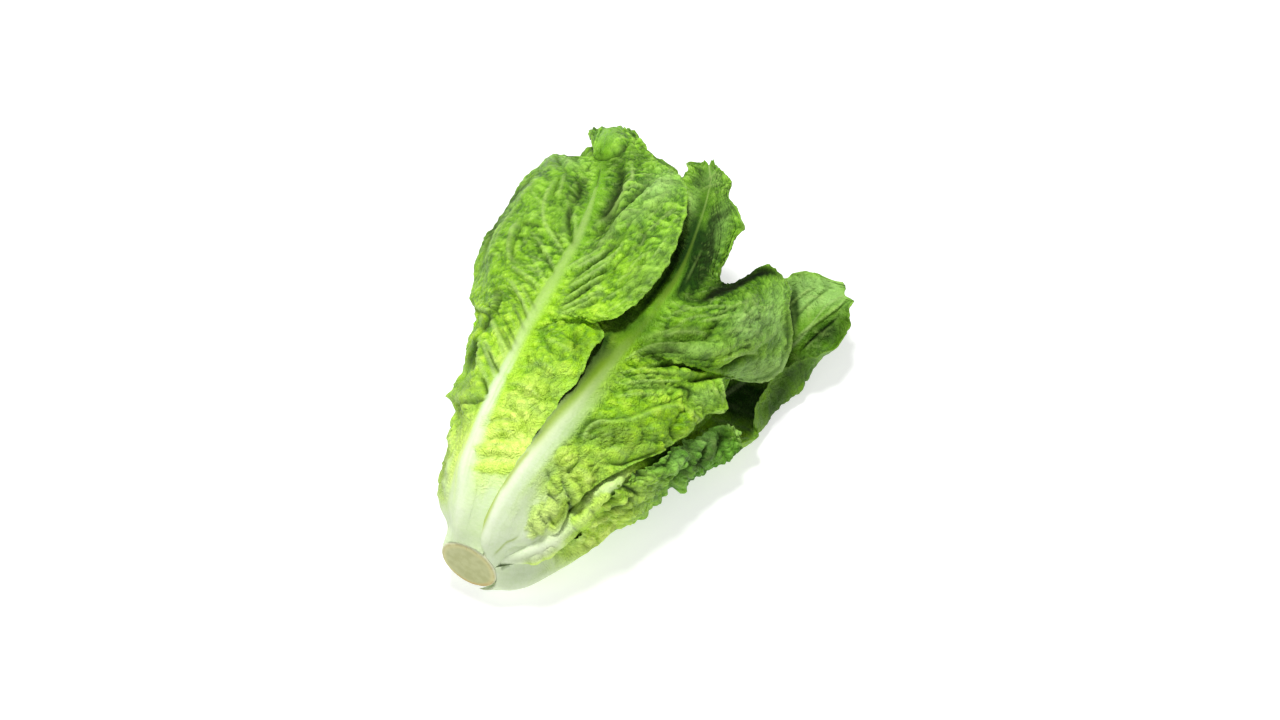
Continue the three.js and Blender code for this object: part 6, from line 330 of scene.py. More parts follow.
  -45.3,-13.8,50.6, -52.2,-16.2,47.3, -58.4,-17.5,43.6, -62.3,-17.7,39.7, -58.4,-17.3,36.9, -52.2,-15.8,34.6, -45.3,-13.4,32.6,
  -30.4,-11.3,53.4, -37.6,-15.7,49.8, -44,-18.5,45.7, -48,-19.3,41.2, -44,-18.2,37.5, -37.6,-15.2,34.6, -30.4,-10.9,32.3,
  -17,-8.5,56.2, -23.6,-14.1,52.4, -29.4,-17.8,47.8, -33,-19,42.5, -29.4,-17.3,37.9, -23.6,-13.2,34.5, -17,-7.3,32,
  -4.8,-4.4,58.4, -9.9,-11.9,54.8, -14.5,-17,49.9, -17.4,-18.6,43.8, -14.5,-16,38.3, -9.9,-10,34.4, -4.8,-1.5,32,
  7.1,0.1,59.7, 3.7,-9.3,56.4, 0.7,-15.8,51.5, -1.2,-17.9,44.9, 0.7,-14.4,38.6, 3.7,-6.7,34.5, 7.1,4,32.5,
  19.7,3.1,60, 18,-7.3,57, 16.5,-14.4,52.1, 15.6,-16.9,45.5, 16.5,-13.2,39.1, 18,-4.9,34.9, 19.7,6.4,32.8,
  33.3,1.1,58.5, 33.1,-7.5,55.6, 33,-13.4,51.3, 32.8,-15.5,45.7, 33,-12.8,40.3, 33.1,-6.5,36.3, 33.3,2.3,33.7,
  47.6,-9.5,53.3, 49.1,-11.6,50.9, 50.1,-13,48.4, 50.4,-13.6,45.7, 50.1,-13.3,43.1, 49.1,-12.1,40.6, 47.6,-10.4,38.3]},
"heart_leaf_20": {"rib": 0.3, "rows": 12, "cols": 7, "p": [
  -101.6,-0.6,26.9, -101.6,-0.3,27.5, -101.6,0.2,29.1, -101.6,2.2,31.4, -101.6,4.4,32.2, -101.6,5.2,32.3, -101.6,5.3,32.5,
  -90.3,-3.6,30.6, -92,-1.8,30.6, -93.5,-0.1,31.2, -94.5,1.6,32.1, -93.5,2.8,33.6, -92,3.3,35, -90.3,3.4,36.6,
  -76.2,-3.5,32.3, -79.8,-1.7,32.2, -83,0,32.5, -85,1.7,33.4, -83,3.1,35, -79.8,4.1,37, -76.2,4.8,39,
  -61.3,-1.9,32.8, -66.5,-0.2,32.9, -71.1,1.4,33.4, -74,3,34.5, -71.1,5,36.4, -66.5,6.7,38.6, -61.3,8.1,40.8,
  -46.9,-0.5,32.9, -53.1,1.5,33.2, -58.6,3.4,34.1, -62.1,5.2,35.5, -58.6,7.7,37.7, -53.1,9.9,40.2, -46.9,11.5,42.8,
  -33.7,-0.5,33.2, -40.1,2.6,33.3, -45.8,5.3,34.2, -49.3,7.7,36.1, -45.8,10.6,38.8, -40.1,12.6,41.9, -33.7,13.5,45.2,
  -21.7,-2,34.3, -27.6,2.4,34, -32.8,6.5,34.7, -36,10.1,36.8, -32.8,13,40.3, -27.6,14.2,44.2, -21.7,13.8,48.1,
  -10.8,-4.2,36.3, -15.4,1.7,35.1, -19.5,7.3,35.5, -22,12.3,37.8, -19.5,15.4,42, -15.4,15.6,46.5, -10.8,13.4,50.8,
  -0.2,-5.4,38.1, -3.2,1.6,36.1, -5.9,8.5,36.2, -7.6,14.6,38.7, -5.9,18,43.2, -3.2,17.8,48, -0.2,14.5,52.4,
  11,-4.3,38.2, 9.5,3.3,36.4, 8.2,10.8,36.6, 7.3,17.3,39.3, 8.2,21,43.7, 9.5,21.1,48.3, 11,18.3,52.8,
  23.2,1.9,36.8, 23.1,8.6,36.3, 22.8,14.8,37.2, 22.7,20.2,39.6, 22.8,23.7,43.1, 23.1,24.7,46.8, 23.2,23.7,50.6,
  36.4,16,35.8, 37.5,18.8,36.8, 38.2,21.2,38, 38.4,23.2,39.5, 38.2,25.3,41, 37.5,26.9,42.5, 36.4,27.9,44.2]},
"heart_leaf_21": {"rib": 0.25, "rows": 12, "cols": 7, "p": [
  -96.6,-0.4,37.8, -96.6,-1.3,38.1, -96.6,-2.3,38.3, -96.6,-3.3,38.3, -96.6,-4.2,38, -96.5,-5.1,37.6, -96.5,-5.9,37.2,
  -86.7,-0.8,39.7, -88.2,-1.9,39.9, -89.5,-3,39.9, -90.3,-4.2,39.8, -89.5,-5.4,39.7, -88.1,-6.5,39.5, -86.6,-7.6,39.1,
  -74.3,-0,41.9, -77.5,-1.5,41.8, -80.3,-3,41.5, -82,-4.4,41.2, -80.3,-5.9,41.3, -77.5,-7.1,41.4, -74.3,-8.1,41.3,
  -61.2,1.5,44.1, -65.8,-0.4,43.8, -69.8,-2.3,43.4, -72.4,-4.2,42.9, -69.8,-5.8,43.1, -65.8,-7.1,43.2, -61.2,-8.1,43.2,
  -48.6,3.6,45.7, -54,1.3,45.6, -58.8,-1.2,45.3, -61.9,-3.6,44.8, -58.8,-5.5,44.8, -54,-6.9,44.6, -48.6,-8,44.2,
  -36.9,6,46.3, -42.6,3.2,46.7, -47.6,0.3,46.8, -50.7,-2.8,46.4, -47.6,-5.1,46.1, -42.6,-6.7,45.4, -36.9,-7.6,44.4,
  -26.4,8.2,45.9, -31.6,5.4,47.2, -36.1,2,47.9, -38.9,-1.7,47.9, -36.1,-4.7,47.2, -31.6,-6.4,45.8, -26.4,-7,43.9,
  -16.8,9.6,44.9, -20.9,7.4,47.3, -24.5,4,48.8, -26.7,-0.5,49.2, -24.5,-4.2,48.2, -20.9,-6.1,46.3, -16.8,-6.4,43.7,
  -7.5,11.2,44.7, -10.2,9.4,47.8, -12.5,5.9,49.8, -14,0.9,50.4, -12.5,-3.4,49.3, -10.2,-5.9,47.1, -7.5,-6.5,44.3,
  2.3,13.6,46.2, 1,11.3,49.1, -0.2,7.6,51, -0.9,2.4,51.4, -0.2,-2.2,50.4, 1,-5.2,48.4, 2.3,-6.7,45.6,
  13.2,15,49.3, 13,12.1,51.1, 12.8,8.5,52.1, 12.6,4.1,52.2, 12.8,0,51.5, 13,-3,50, 13.2,-5.1,47.9,
  25.1,11.8,53.1, 25.8,10,53.2, 26.3,8.1,53, 26.4,6,52.7, 26.3,4,52.4, 25.8,2,51.9, 25.1,0.2,51.2]},
}

# ------------------------------------------------------------------ noise
def _hash(ix, iy, seed):
    h = (ix.astype(np.int64) * 374761393 + iy.astype(np.int64) * 668265263 + seed * 1442695041) & 0x7fffffff
    h = ((h ^ (h >> 13)) * 1274126177) & 0x7fffffff
    h = (h ^ (h >> 16)) & 0xffffff
    return h / float(0x1000000)

def noise(x, y, seed=0):
    """smooth noise, about -1..1, one bump per unit"""
    x0 = np.floor(x); y0 = np.floor(y); fx = x - x0; fy = y - y0
    ux = fx * fx * fx * (fx * (fx * 6 - 15) + 10); uy = fy * fy * fy * (fy * (fy * 6 - 15) + 10)
    def g(ix, iy, dx, dy):
        a = _hash(ix, iy, seed) * 2 * np.pi
        return np.cos(a) * dx + np.sin(a) * dy
    n00 = g(x0, y0, fx, fy); n10 = g(x0 + 1, y0, fx - 1, fy)
    n01 = g(x0, y0 + 1, fx, fy - 1); n11 = g(x0 + 1, y0 + 1, fx - 1, fy - 1)
    return 1.5 * ((n00 * (1 - ux) + n10 * ux) * (1 - uy) + (n01 * (1 - ux) + n11 * ux) * uy)

def fbm(x, y, seed=0, octaves=3):
    out = 0; a = 1.0; t = 0
    for k in range(octaves):
        out = out + a * noise(x * 2 ** k, y * 2 ** k, seed + 17 * k); t += a; a *= .5
    return out / t

def cells(x, y, seed=0, jitter=.85):
    """nearest and second nearest cell point, and a random number per cell"""
    x0 = np.floor(x); y0 = np.floor(y)
    f1 = np.full(x.shape, 9.0); f2 = np.full(x.shape, 9.0); rid = np.zeros(x.shape)
    for dx in (-1, 0, 1):
        for dy in (-1, 0, 1):
            ix = x0 + dx; iy = y0 + dy
            px = ix + .5 + jitter * (_hash(ix, iy, seed) - .5)
            py = iy + .5 + jitter * (_hash(ix, iy, seed + 77) - .5)
            d = np.hypot(x - px, y - py)
            near = d < f1
            f2 = np.where(near, f1, np.minimum(f2, d))
            rid = np.where(near, _hash(ix, iy, seed + 131), rid)
            f1 = np.where(near, d, f1)
    return f1, f2, rid

def _hash3(ix, iy, iz, seed):
    h = (ix.astype(np.int64) * 374761393 + iy.astype(np.int64) * 668265263 + iz.astype(np.int64) * 2147483647 // 3 + seed * 1442695041) & 0x7fffffff
    h = ((h ^ (h >> 13)) * 1274126177) & 0x7fffffff
    h = ((h ^ (h >> 15)) * 1103515245 + 12345) & 0x7fffffff
    return ((h ^ (h >> 16)) & 0xffffff) / float(0x1000000)

def cells3(p, seed=0, jitter=.9):
    p0 = np.floor(p); shp = p.shape[:-1]
    f1 = np.full(shp, 9.0); f2 = np.full(shp, 9.0); rid = np.zeros(shp)
    for dx in (-1, 0, 1):
        for dy in (-1, 0, 1):
            for dz in (-1, 0, 1):
                ix, iy, iz = p0[..., 0] + dx, p0[..., 1] + dy, p0[..., 2] + dz
                qx = ix + .5 + jitter * (_hash3(ix, iy, iz, seed) - .5)
                qy = iy + .5 + jitter * (_hash3(ix, iy, iz, seed + 77) - .5)
                qz = iz + .5 + jitter * (_hash3(ix, iy, iz, seed + 99) - .5)
                d = np.sqrt((p[..., 0] - qx) ** 2 + (p[..., 1] - qy) ** 2 + (p[..., 2] - qz) ** 2)
                near = d < f1
                f2 = np.where(near, f1, np.minimum(f2, d))
                rid = np.where(near, _hash3(ix, iy, iz, seed + 131), rid)
                f1 = np.where(near, d, f1)
    return f1, f2, rid

def noise3(p, seed=0):
    """smooth noise in space from three crossed plane noises"""
    return (noise(p[..., 0] + .31 * p[..., 2], p[..., 1] - .27 * p[..., 2], seed)
            + noise(p[..., 1] + 5.2 + .23 * p[..., 0], p[..., 2] + 1.7, seed + 1)
            + noise(p[..., 2] + 9.1, p[..., 0] + 3.3 + .29 * p[..., 1], seed + 2)) / 1.9

def step(a, b, x):
    t = np.clip((x - a) / (b - a), 0, 1)
    return t * t * (3 - 2 * t)

# ------------------------------------------------------------------ sheets
def through(P, t):
    n = len(P); i = np.clip(np.floor(t).astype(int), 0, n - 2); f = t - i
    def g(j):
        v = P[np.clip(j, 0, n - 1)].copy()
        lo = j < 0; hi = j > n - 1
        v[lo] = 2 * P[0] - P[1]; v[hi] = 2 * P[-1] - P[-2]
        return v
    p0, p1, p2, p3 = g(i - 1), g(i), g(i + 1), g(i + 2)
    f = f.reshape((-1,) + (1,) * (P.ndim - 1))
    return .5 * (2 * p1 + (p2 - p0) * f + (2 * p0 - 5 * p1 + 4 * p2 - p3) * f ** 2 + (3 * p1 - p0 - 3 * p2 + p3) * f ** 3)

def sheet(G, nv, nu):
    A = through(G, np.linspace(0, len(G) - 1, nv))
    B = through(np.swapaxes(A, 0, 1), np.linspace(0, G.shape[1] - 1, nu))
    return np.swapaxes(B, 0, 1).copy()

def normals(S):
    n = np.cross(np.gradient(S, axis=1), np.gradient(S, axis=0))
    return n / np.maximum(np.linalg.norm(n, axis=-1, keepdims=True), 1e-9)

def blur(A, k):
    for _ in range(k):
        P = np.pad(A, ((1, 1), (1, 1)) + ((0, 0),) * (A.ndim - 2), mode="edge")
        A = (P[:-2, 1:-1] + P[2:, 1:-1] + P[1:-1, :-2] + P[1:-1, 2:] + 4 * P[1:-1, 1:-1]) / 8
    return A

def vein_rows(length, first, seed):
    """places along the midrib where side veins leave it, mm"""
    r = np.random.RandomState(seed); y = first; out = []
    while y < length * .98:
        out.append(y); y += (9 + 7 * r.rand()) * (1.15 - .35 * y / length)
    return np.array(out)


# ------------------------------------------------------------------ folds, creases and painted shade, given as strokes
STROKES = {
"outer_leaf_09": """
M 10,20 7,0 a | 446,525
""",
"outer_leaf_05": """
M 10,20 10,0 a | 442,524
""",
# Folds, veins and creases, given as strokes. Each line: kind, half width (view units), height mm,
# colour (+ paler, - painted shade along the line) | points, in the view plane of the camera below.
# Kinds d and D paint shade (a darker tint in folds, gaps and faces turned from the lamp, with some darker leaf tone); B
# bumps paint shade round their rim; G blobs tint bloom and also paint light on shaded faces.
"outer_leaf_02": """
D 26,12 0 .14 | 648,158
v 1.0 .4 .4 | 622,288 636,276 650,262
v 1.0 .4 .4 | 606,312 622,304 636,292
v 1.0 .4 .4 | 640,190 654,182 668,180
d 1.4 0 .6 | 511,353 503,338 496,324
d 1.4 0 .6 | 518,347 510,331 503,316
d 1.4 0 .55 | 526,333 519,317 512,302
d 1.4 0 .5 | 537,312 530,298 523,286
d 1.4 0 .5 | 493,372 486,357 481,344
M 6,6 3,1 a | 535,432
D 5,26 4 .4 a | 444,468
D 7,20 5 .22 | 461,420
d 6 0 .25 a | 446,440 443,462 442,484 446,502
W 9 0 .65 | 480,532 484,512 489,494 496,480
X 13,24 10 .6 | 484,506
r 1.6 1.3 .6 a | 448,430 452,440 450,452
r 1.6 1.3 .6 a | 444,456 449,464 446,474
r 1.6 1.3 .6 a | 442,480 447,488 446,496
G 14,8 0 .4 | 606,140
D 10,8 0 .2 | 640,160
v 1.0 .5 .6 | 553,262 545,250 538,240 530,230
v 1.0 .5 .6 | 560,246 550,232 545,220
v 1.0 .5 .5 | 575,226 570,212 566,198
v 1.0 .5 .5 | 545,282 534,270 524,262
v 1.0 .4 .5 | 527,330 519,316 512,304
v 1.0 .4 .5 | 516,352 507,338 500,322
v 1.0 .4 .5 | 521,206 512,218 503,234 497,250
v 1.0 .4 .5 | 540,180 528,194 518,208
U 5 0 .8 a | 443,452 440,472 440,490 445,508
d 1.6 0 .35 a | 446,460 446,478 448,496
r 1.6 .8 .4 | 441,462 439,476 439,490
d 4 0 .6 | 480,330 486,322 493,314
d 2 0 .5 | 494,284 497,298 495,310
r 2.2 -1.6 -.5 | 497,286 499,298 496,310
X 12,34 28 .28 | 512,348
P 16,34 28 .35 | 508,352
W 1.8 0 .6 | 499,386 492,370 486,354 482,340
W 1.5 0 .55 | 509,368 501,350 497,336
W 1.6 0 .6 | 530,324 525,308 518,294 511,282
W 1.2 0 .45 | 521,340 513,322 506,306
W 1.2 0 .45 | 541,300 532,286 523,275
r 1.6 -1.4 -.5 | 522,306 517,296 511,288
r 1.6 -1.4 -.5 | 513,352 505,336 500,326
r 1.5 1.2 .5 | 628,270 640,258 654,250
r 1.4 -1.4 -.6 | 626,276 640,264 654,256
r 1.4 1.2 .5 | 616,282 630,272 644,266
r 1.4 -1.4 -.6 | 612,290 626,282 640,274
r 1.4 1.2 .5 | 604,300 618,292 632,288
r 1.3 -1.3 -.5 | 622,300 634,290 646,280
r 1.4 -1.4 -.6 | 618,226 628,218 640,212
r 1.3 1.2 .5 | 614,232 626,226 640,220
r 1.3 -1.4 -.6 | 622,238 634,232 648,226
r 1.3 1.2 .5 | 640,200 652,192 664,188
r 1.3 -1.3 -.5 | 636,206 650,198 664,194
r 1.3 1.2 .5 | 650,262 660,250 668,238
r 1.3 -1.3 -.5 | 656,268 664,256 671,244
M 14,22 -6,-1 a | 590,356
M 15,24 -9,-2 a | 566,394
M 14,24 -6,-1 a | 538,430
M 12,22 -2,0 a | 516,462
M 6,6 4,3 | 586,147
D 16,44 25 .25 | 500,215
P 30,26 0 .35 | 505,446
P 12,26 30 .45 | 524,440
W 1.8 0 1 | 458,516 463,490 469,464 475,444 483,424 492,405 501,386 510,367 519,350 529,334
r 1.8 .8 0 | 458,516 463,490 469,464 475,444 483,424 492,405 501,386 510,367 519,350
B 22,15 -8 3.2 .6 | 612,141
r 1.8 -1.6 -.9 | 590,152 598,158 610,158 622,152 630,142
s 6 2.0 .5 | 472,303 480,309 490,311 497,302 500,288
d 1.6 0 .3 | 512,236 511,250 516,262
d 1.5 0 .3 | 521,225 531,225 541,227
D 12,10 0 .25 | 531,241
d 3 0 .4 | 576,180 581,190 578,200
r 1.5 -1.2 -.6 | 600,168 598,178 596,188
r 1.5 -1.2 -.7 | 560,176 556,186 552,198
r 1.5 1.0 .6 | 565,174 562,186 558,198
r 1.4 1.0 .6 | 574,212 576,224 574,236
r 1.5 -1.2 -.7 | 551,226 558,238 564,248
r 1.5 -1.2 -.7 | 541,250 548,262 554,274
r 1.5 -1.2 -.7 | 512,270 524,279 536,290
r 1.5 -1.2 -.7 | 505,285 513,296 519,308
r 1.4 1.0 .6 | 513,268 526,276 540,286
B 24,12 -4 1.8 .12 .85 | 512,423
B 24,9 -2 1.7 .12 .85 | 501,449
B 21,6 2 1.3 .12 .85 | 495,468
B 22,13 25 1.8 .12 .85 | 529,388
W 3.5 0 .35 | 462,510 467,482 472,454 481,424 494,400 505,374 521,346 537,322
W 7 0 .85 | 468,530 474,506 478,490
W 8 0 .8 | 452,535 456,504 461,474 465,456
P 9,34 5 .7 | 461,470
D 20,13 -35 .28 | 642,284
D 18,14 0 .3 | 578,344
D 14,10 0 .3 | 466,386
B 9,6 -10 1.6 .4 | 556,161
B 7,5 0 1.4 .4 | 570,166
B 6,5 0 1.2 .4 | 582,163
G 16,6 0 .5 | 562,160
d 2.5 0 .6 | 476,336 472,352 468,366
r 1.5 1.0 .7 | 482,338 478,352 478,368
B 16,9 30 1.8 .4 | 524,407
B 18,11 30 1.8 .4 | 546,366
B 18,11 38 1.8 .4 | 563,346
B 15,9 38 1.6 .4 | 586,334
B 14,8 40 1.6 .4 | 570,365
B 12,10 40 1.5 .3 | 547,388
B 10,8 60 1.5 .3 | 594,350
v 1.1 .6 .6 | 486,424 498,421 510,420 522,424
v 1.1 .6 .6 | 476,449 488,446 500,446 512,450
v 1.1 .6 .6 | 508,384 520,385 532,391 541,398
v 1.1 .6 .6 | 530,362 543,365 556,372
v 1.1 .6 .6 | 546,340 558,345 572,354
v 1.0 .6 .6 | 494,432 504,430 514,434
v 1.0 .6 .5 | 520,398 530,404 536,412
r 1.6 -1.4 -.7 | 605,242 594,250 582,258 572,263
r 1.6 -1.4 -.7 | 610,252 598,261 586,270 574,279 564,287
r 1.6 -1.4 -.8 | 615,262 603,270 590,279 578,288 566,298
r 1.6 -1.4 -.8 | 612,273 600,281 588,289 576,297 566,304
r 1.5 -1.2 -.6 | 602,292 590,298 578,304 566,311
r 1.5 1.2 .8 | 574,270 588,262 600,254 610,246
r 1.5 1.2 .8 | 568,284 582,274 596,265 610,257 618,250
r 1.4 1.0 .7 | 562,302 576,293 590,284 604,275
r 1.4 1.0 .7 | 560,312 574,304 588,297 602,290
r 1.6 -1.2 -.8 | 594,232 602,222 612,210 620,198
r 1.6 -1.2 -.9 | 604,236 614,222 626,208 640,194 652,182
d 2.2 0 .9 | 600,234 612,220 626,205 640,192 652,180
d 5 0 .6 | 618,164 622,176 618,190 608,206 598,220
r 1.5 -1 -.6 | 640,214 632,222 624,232
r 1.4 1.0 .6 | 622,216 632,212 642,214
r 1.4 1.0 .6 | 634,232 644,236 640,246
r 1.6 -1.2 -.7 | 632,244 626,254 616,264 612,274
r 1.5 1.0 .6 | 624,240 616,252 608,262
r 1.5 -1 -.5 | 648,246 644,262 634,278
r 1.4 1.0 .5 | 652,230 664,216 676,206
r 1.3 .9 .5 | 646,222 656,210 668,200
D 20,7 -12 .45 | 612,164
d 2.6 0 .6 | 570,204 568,216 569,230
d 1.6 0 .35 | 528,236 536,244 538,256
r 1.6 1.0 .8 | 520,222 514,232 510,244 510,256 516,263
d 4 0 .5 | 541,171 526,186 512,204 500,222 490,242 483,262
r 1.5 -1.2 -.7 | 484,304 494,310 500,318
P 16,40 35 .7 | 512,420
P 24,16 0 .7 | 494,460
P 14,22 20 .4 | 538,382
M 26,12 0,-8 | 612,134
M 14,24 -5,0 | 474,468
M 5,8 -4,0 | 589,139
M 7,6 6,5 | 584,150
M 22,22 -4,-3 | 525,180
M 20,25 -4,-2 | 486,245
M 12,18 7,4 | 458,372
M 8,18 12,0 | 450,414
M 6,5 -5,0 | 448,395
M 10,16 7,0 | 443,525
M 8,10 -3,0 | 471,292
v 1.5 .7 .8 | 566,256 556,240 546,226 543,212 546,196 556,179
v 1.3 .6 .7 | 557,272 549,258 541,244 535,236
v 1.2 .5 .6 | 549,287 540,272 531,255
v 1.5 .6 .7 | 543,291 530,278 517,270 508,262
v 1.6 .8 .8 | 532,324 527,310 520,296 513,284 507,279
v 1.2 .5 .6 | 533,308 527,296 520,284
v 1.2 .5 .5 | 541,204 535,196 530,189
v 1.2 .4 .5 | 571,246 560,236 549,228
r 2.2 -1.2 -.6 | 553,272 543,254 536,242
r 2.5 -1.3 -.6 | 527,320 521,306 517,296
r 3 -1.6 -.7 | 574,205 569,216 569,232 573,246
r 3 1.0 .2 | 566,212 564,228 566,242
r 3.5 -1.2 -.5 | 583,185 576,195 572,204
s 12 1.8 -.1 | 509,264 511,246 516,232 521,223
s 10 1.2 0 | 521,222 530,222 541,223
r 7 2.2 0 | 556,166 536,184 518,204 504,228 495,252 488,280
r 4 -1.4 -.4 | 545,168 521,188 501,214 487,240 480,262
r 4 1.6 .3 | 548,160 552,168 560,170
r 3 -1.6 -.6 | 556,157 560,166
r 4 1.4 .3 | 566,160 572,168
r 3 -1.3 -.5 | 574,176 582,182 588,178
v 1.6 .8 .9 | 592,226 606,212 618,198 626,184 632,178 632,162
r 6 -3.5 -.9 | 622,162 618,182 608,204 596,222
r 4.5 -4.5 -1 | 652,178 636,192 622,206 606,222 590,238
s 14 2.2 0 | 664,176 644,192 624,209 607,222 600,238
r 2.8 2.0 .6 | 563,272 577,264 591,254 601,244 607,234
r 2.0 -2.2 -1 | 572,277 586,268 600,257 612,245 617,238
v 1.4 .9 .7 | 566,288 581,280 598,269 612,258
r 2.0 -2.2 -1 | 562,296 580,285 598,275 611,263
r 4.0 1.5 .4 | 558,311 574,298 590,287 604,277
r 1.8 -1.8 -1 | 559,308 571,301 584,291 594,284
r 3 1.2 .5 | 556,317 572,310 590,300 606,291
r 2.2 -1.4 -.7 | 576,309 590,304 601,299
r 2.5 -1.2 -.5 | 586,247 598,241
r 2.2 -1.0 -.4 | 583,256 596,249
r 5 -1.6 -.5 | 634,224 644,232 640,242 630,250
v 1.2 .6 .6 | 646,233 660,220 676,208
r 3 -1.2 -.35 | 652,228 664,214 678,203
r 4 1.2 .35 | 640,214 656,202 672,190
r 3.5 -1.2 -.35 | 644,218 656,208 666,198
r 6 1.3 .3 | 656,188 666,184 674,182
r 4 1.4 .35 | 606,246 612,232 622,220 636,216
r 3.5 -1.6 -.5 | 612,250 620,238 630,228
r 4 -1.2 -.3 | 630,262 626,276 618,290
r 5 1.0 .2 | 640,262 634,280 622,296
r 9 1.6 .1 | 680,216 668,246 654,272 636,290 618,304
v 2.0 .8 .8 | 506,352 499,336 492,322 487,312
v 2.0 .8 .8 | 498,368 490,352 484,338
v 2.0 .8 .7 | 490,388 483,372 479,356
r 2.5 -1.8 -.8 | 487,348 492,362 499,374
r 2.5 -2.0 -.9 | 480,376 485,388 487,396
r 3.5 -3 -.8 | 478,330 484,322 490,314
r 3 -2.5 -.7 | 470,372 474,356 476,342
s 8 2.5 .1 | 455,403 462,401 474,399 487,396
r 1.8 -1.2 -.9 | 460,403 474,402 486,398
r 2.2 -1.6 -.35 | 476,459 490,455 504,456 512,457
r 2.2 -1.6 -.35 | 484,440 498,437 512,440
r 2.4 -1.6 -.4 | 486,424 500,419 514,422
r 2.4 -1.8 -.4 | 505,388 520,391 534,397 544,404
r 2.4 -1.6 -.4 | 528,360 542,368 556,380
r 2.4 -1.6 -.4 | 542,344 556,354 566,362
r 3 -1.8 -.6 | 572,328 576,340 574,352
D 18,28 0 .2 | 560,200
D 10,12 0 .5 | 578,192
D 8,16 0 .25 | 474,352
G 26,14 -30 1.0 | 658,188
G 16,8 0 .5 | 632,216
G 32,12 -50 .2 | 652,272
G 12,8 0 .3 | 575,165
""",
"outer_leaf_03": """
D 26,6 -3 .32 | 612,432
P 24,5 -8 .4 | 622,450
v 1.0 .4 .4 | 608,428 608,434 607,441
v 1.0 .4 .4 | 617,427 618,434 617,441
r 1.2 -.8 -.4 | 613,428 613,434 612,442
r 1.2 -.8 -.4 | 621,430 622,437 621,445
P 16,14 0 .3 | 588,470
G 12,10 0 .4 | 742,330
r 1.3 -1.0 -.5 | 590,440 598,437 606,438
v 1.0 .5 .4 | 600,430 606,438 610,448
v 1.0 .5 .4 | 624,428 628,436 630,446
v 1.0 .5 .4 | 648,424 652,434 650,444
v 1.0 .4 .4 | 572,466 578,474 588,480
v 1.0 .4 .4 | 580,462 586,470 594,474
v 1.0 .4 .4 | 562,484 568,492 576,498
X 26,9 -12 .20 a | 762,371
P 16,7 -12 .2 | 618,434
r 10 -.3 -1 a | 623,336 609,353 596,368 581,384 566,400 552,415 541,429 529,445 519,458
d 4 0 .85 a | 611,332 597,354 584,371 572,387 560,401
W 8 0 .85 | 500,516 511,500 523,484 539,463 556,442 571,425 586,407 602,390 616,376
W 11 0 1 a | 620,346 602,368 588,386 573,402 560,416 548,430 534,446
r 4 -.3 -.8 a | 534,446 521,460 507,479 499,492
W 1.7 0 1 | 491,522 502,506 515,489 531,469 548,447 564,428 580,410 595,395 608,382
M 3,3 0,2 a | 713,162
M 3,3 0,2 a | 704,162
M 3.6,5 0,-5 a | 709.5,168.5
M 4,4 -2,4 a | 688,164
M 20,7 3,3 a | 534,546
r 7 -2.2 0 a | 503,556 520,551 538,544 556,533
G 9,34 -8 .6 | 780,335
G 26,8 -14 .6 | 758,368
v 1.0 .3 .5 | 700,362 716,352 734,346 750,344
v 1.0 .3 .5 | 712,318 730,308 748,302 764,300
v 1.0 .3 .5 | 722,334 740,326 756,322
r 1.8 1.4 .6 | 584,442 586,433 592,426 603,421
G 28,9 -12 .8 a | 760,372
r 1.5 1.0 .5 | 748,300 756,306 766,308 776,304
r 1.5 -1.0 -.4 | 744,312 756,318 768,318
r 1.5 1.0 .5 | 728,318 742,316 752,322
r 1.4 1.0 .5 | 740,340 752,344 764,340 774,332
U 8 0 1 | 546,532 556,520 563,508 568,494
D 10,16 30 .3 | 562,510
P 8,22 30 .3 | 549,500
r 2.0 -2.4 -.6 | 566,466 572,478 582,486
r 2.0 1.6 .5 | 574,462 582,472 588,484
r 2.0 -2.0 -.5 | 588,462 592,474 592,488
r 2.0 1.6 .5 | 566,480 572,492 578,502
r 2.2 -2.0 -.6 | 546,470 552,482 560,492
D 14,18 0 .35 | 704,182
D 10,20 0 .3 | 722,215
D 30,10 -20 .15 | 745,292
M 3,4 0,-4 a | 708,169
r 3.0 -.4 -.8 a | 514,464 504,479 496,494 489,510 483,524 478,538
r 6 .8 0 | 494,516 503,500 513,484 527,464 543,442 560,420 574,403 588,388 600,374 612,361
d 10 0 .10 | 516,520 534,494 552,470 566,450
B 14,25 12 4.2 .5 .9 | 582,484
B 12,12 0 3.2 .55 .8 | 567,457
P 13,13 0 .9 | 567,457
P 16,24 12 .5 | 582,484
P 10,16 25 .7 | 541,519
P 8,12 0 .4 | 553,508
d 3.0 0 .5 | 578,446 580,436 584,428 590,421 602,418
r 1.6 1.6 .8 | 583,444 585,434 590,427 600,423 612,423
L 30,14 -10 .5 | 620,436
D 34,16 -12 .3 | 672,350
D 26,10 -8 .3 | 646,384
G 30,10 -15 1 | 762,372
G 14,20 20 .2 | 770,330
W 9 0 .7 | 512,534 528,512 542,494
d 14 0 .12 | 512,520 530,496 548,476
D 12,12 0 .3 | 705,178
D 10,8 0 .3 | 700,205
B 6,5 0 1.0 .12 | 742,306
B 6,5 0 1.0 .12 | 753,313
B 6,5 0 1.0 .12 | 743,320
B 6,5 0 1.0 .12 | 757,327
B 6,5 0 1.0 .12 | 745,334
B 6,5 0 1.0 .12 | 765,338
B 7,4 -20 .9 .12 | 732,343
B 6,5 0 .9 .12 | 766,318
B 5,4 0 .9 .12 | 731,328
r 1.2 .9 .35 | 702,250 694,266 686,282
D 12,28 18 .8 | 700,262
M 8,8 4,0 | 743,228
M 10,8 2,2 | 728,180
r 1.6 -1.4 -.8 | 646,364 660,365 676,363 690,365 704,369
B 10,18 15 3.0 .3 .75 | 538,521
B 9,12 0 2.6 .3 .75 | 554,509
B 7,11 0 2.0 .3 .8 | 555,486
d 3.5 0 .5 | 655,304 668,286 678,268 686,248 692,230 699,210
D 26,10 -12 .35 | 682,334
D 22,9 -8 .3 | 655,350
B 8,4 -25 1.2 .35 | 752,346
B 8,4 -15 1.1 .35 | 720,347
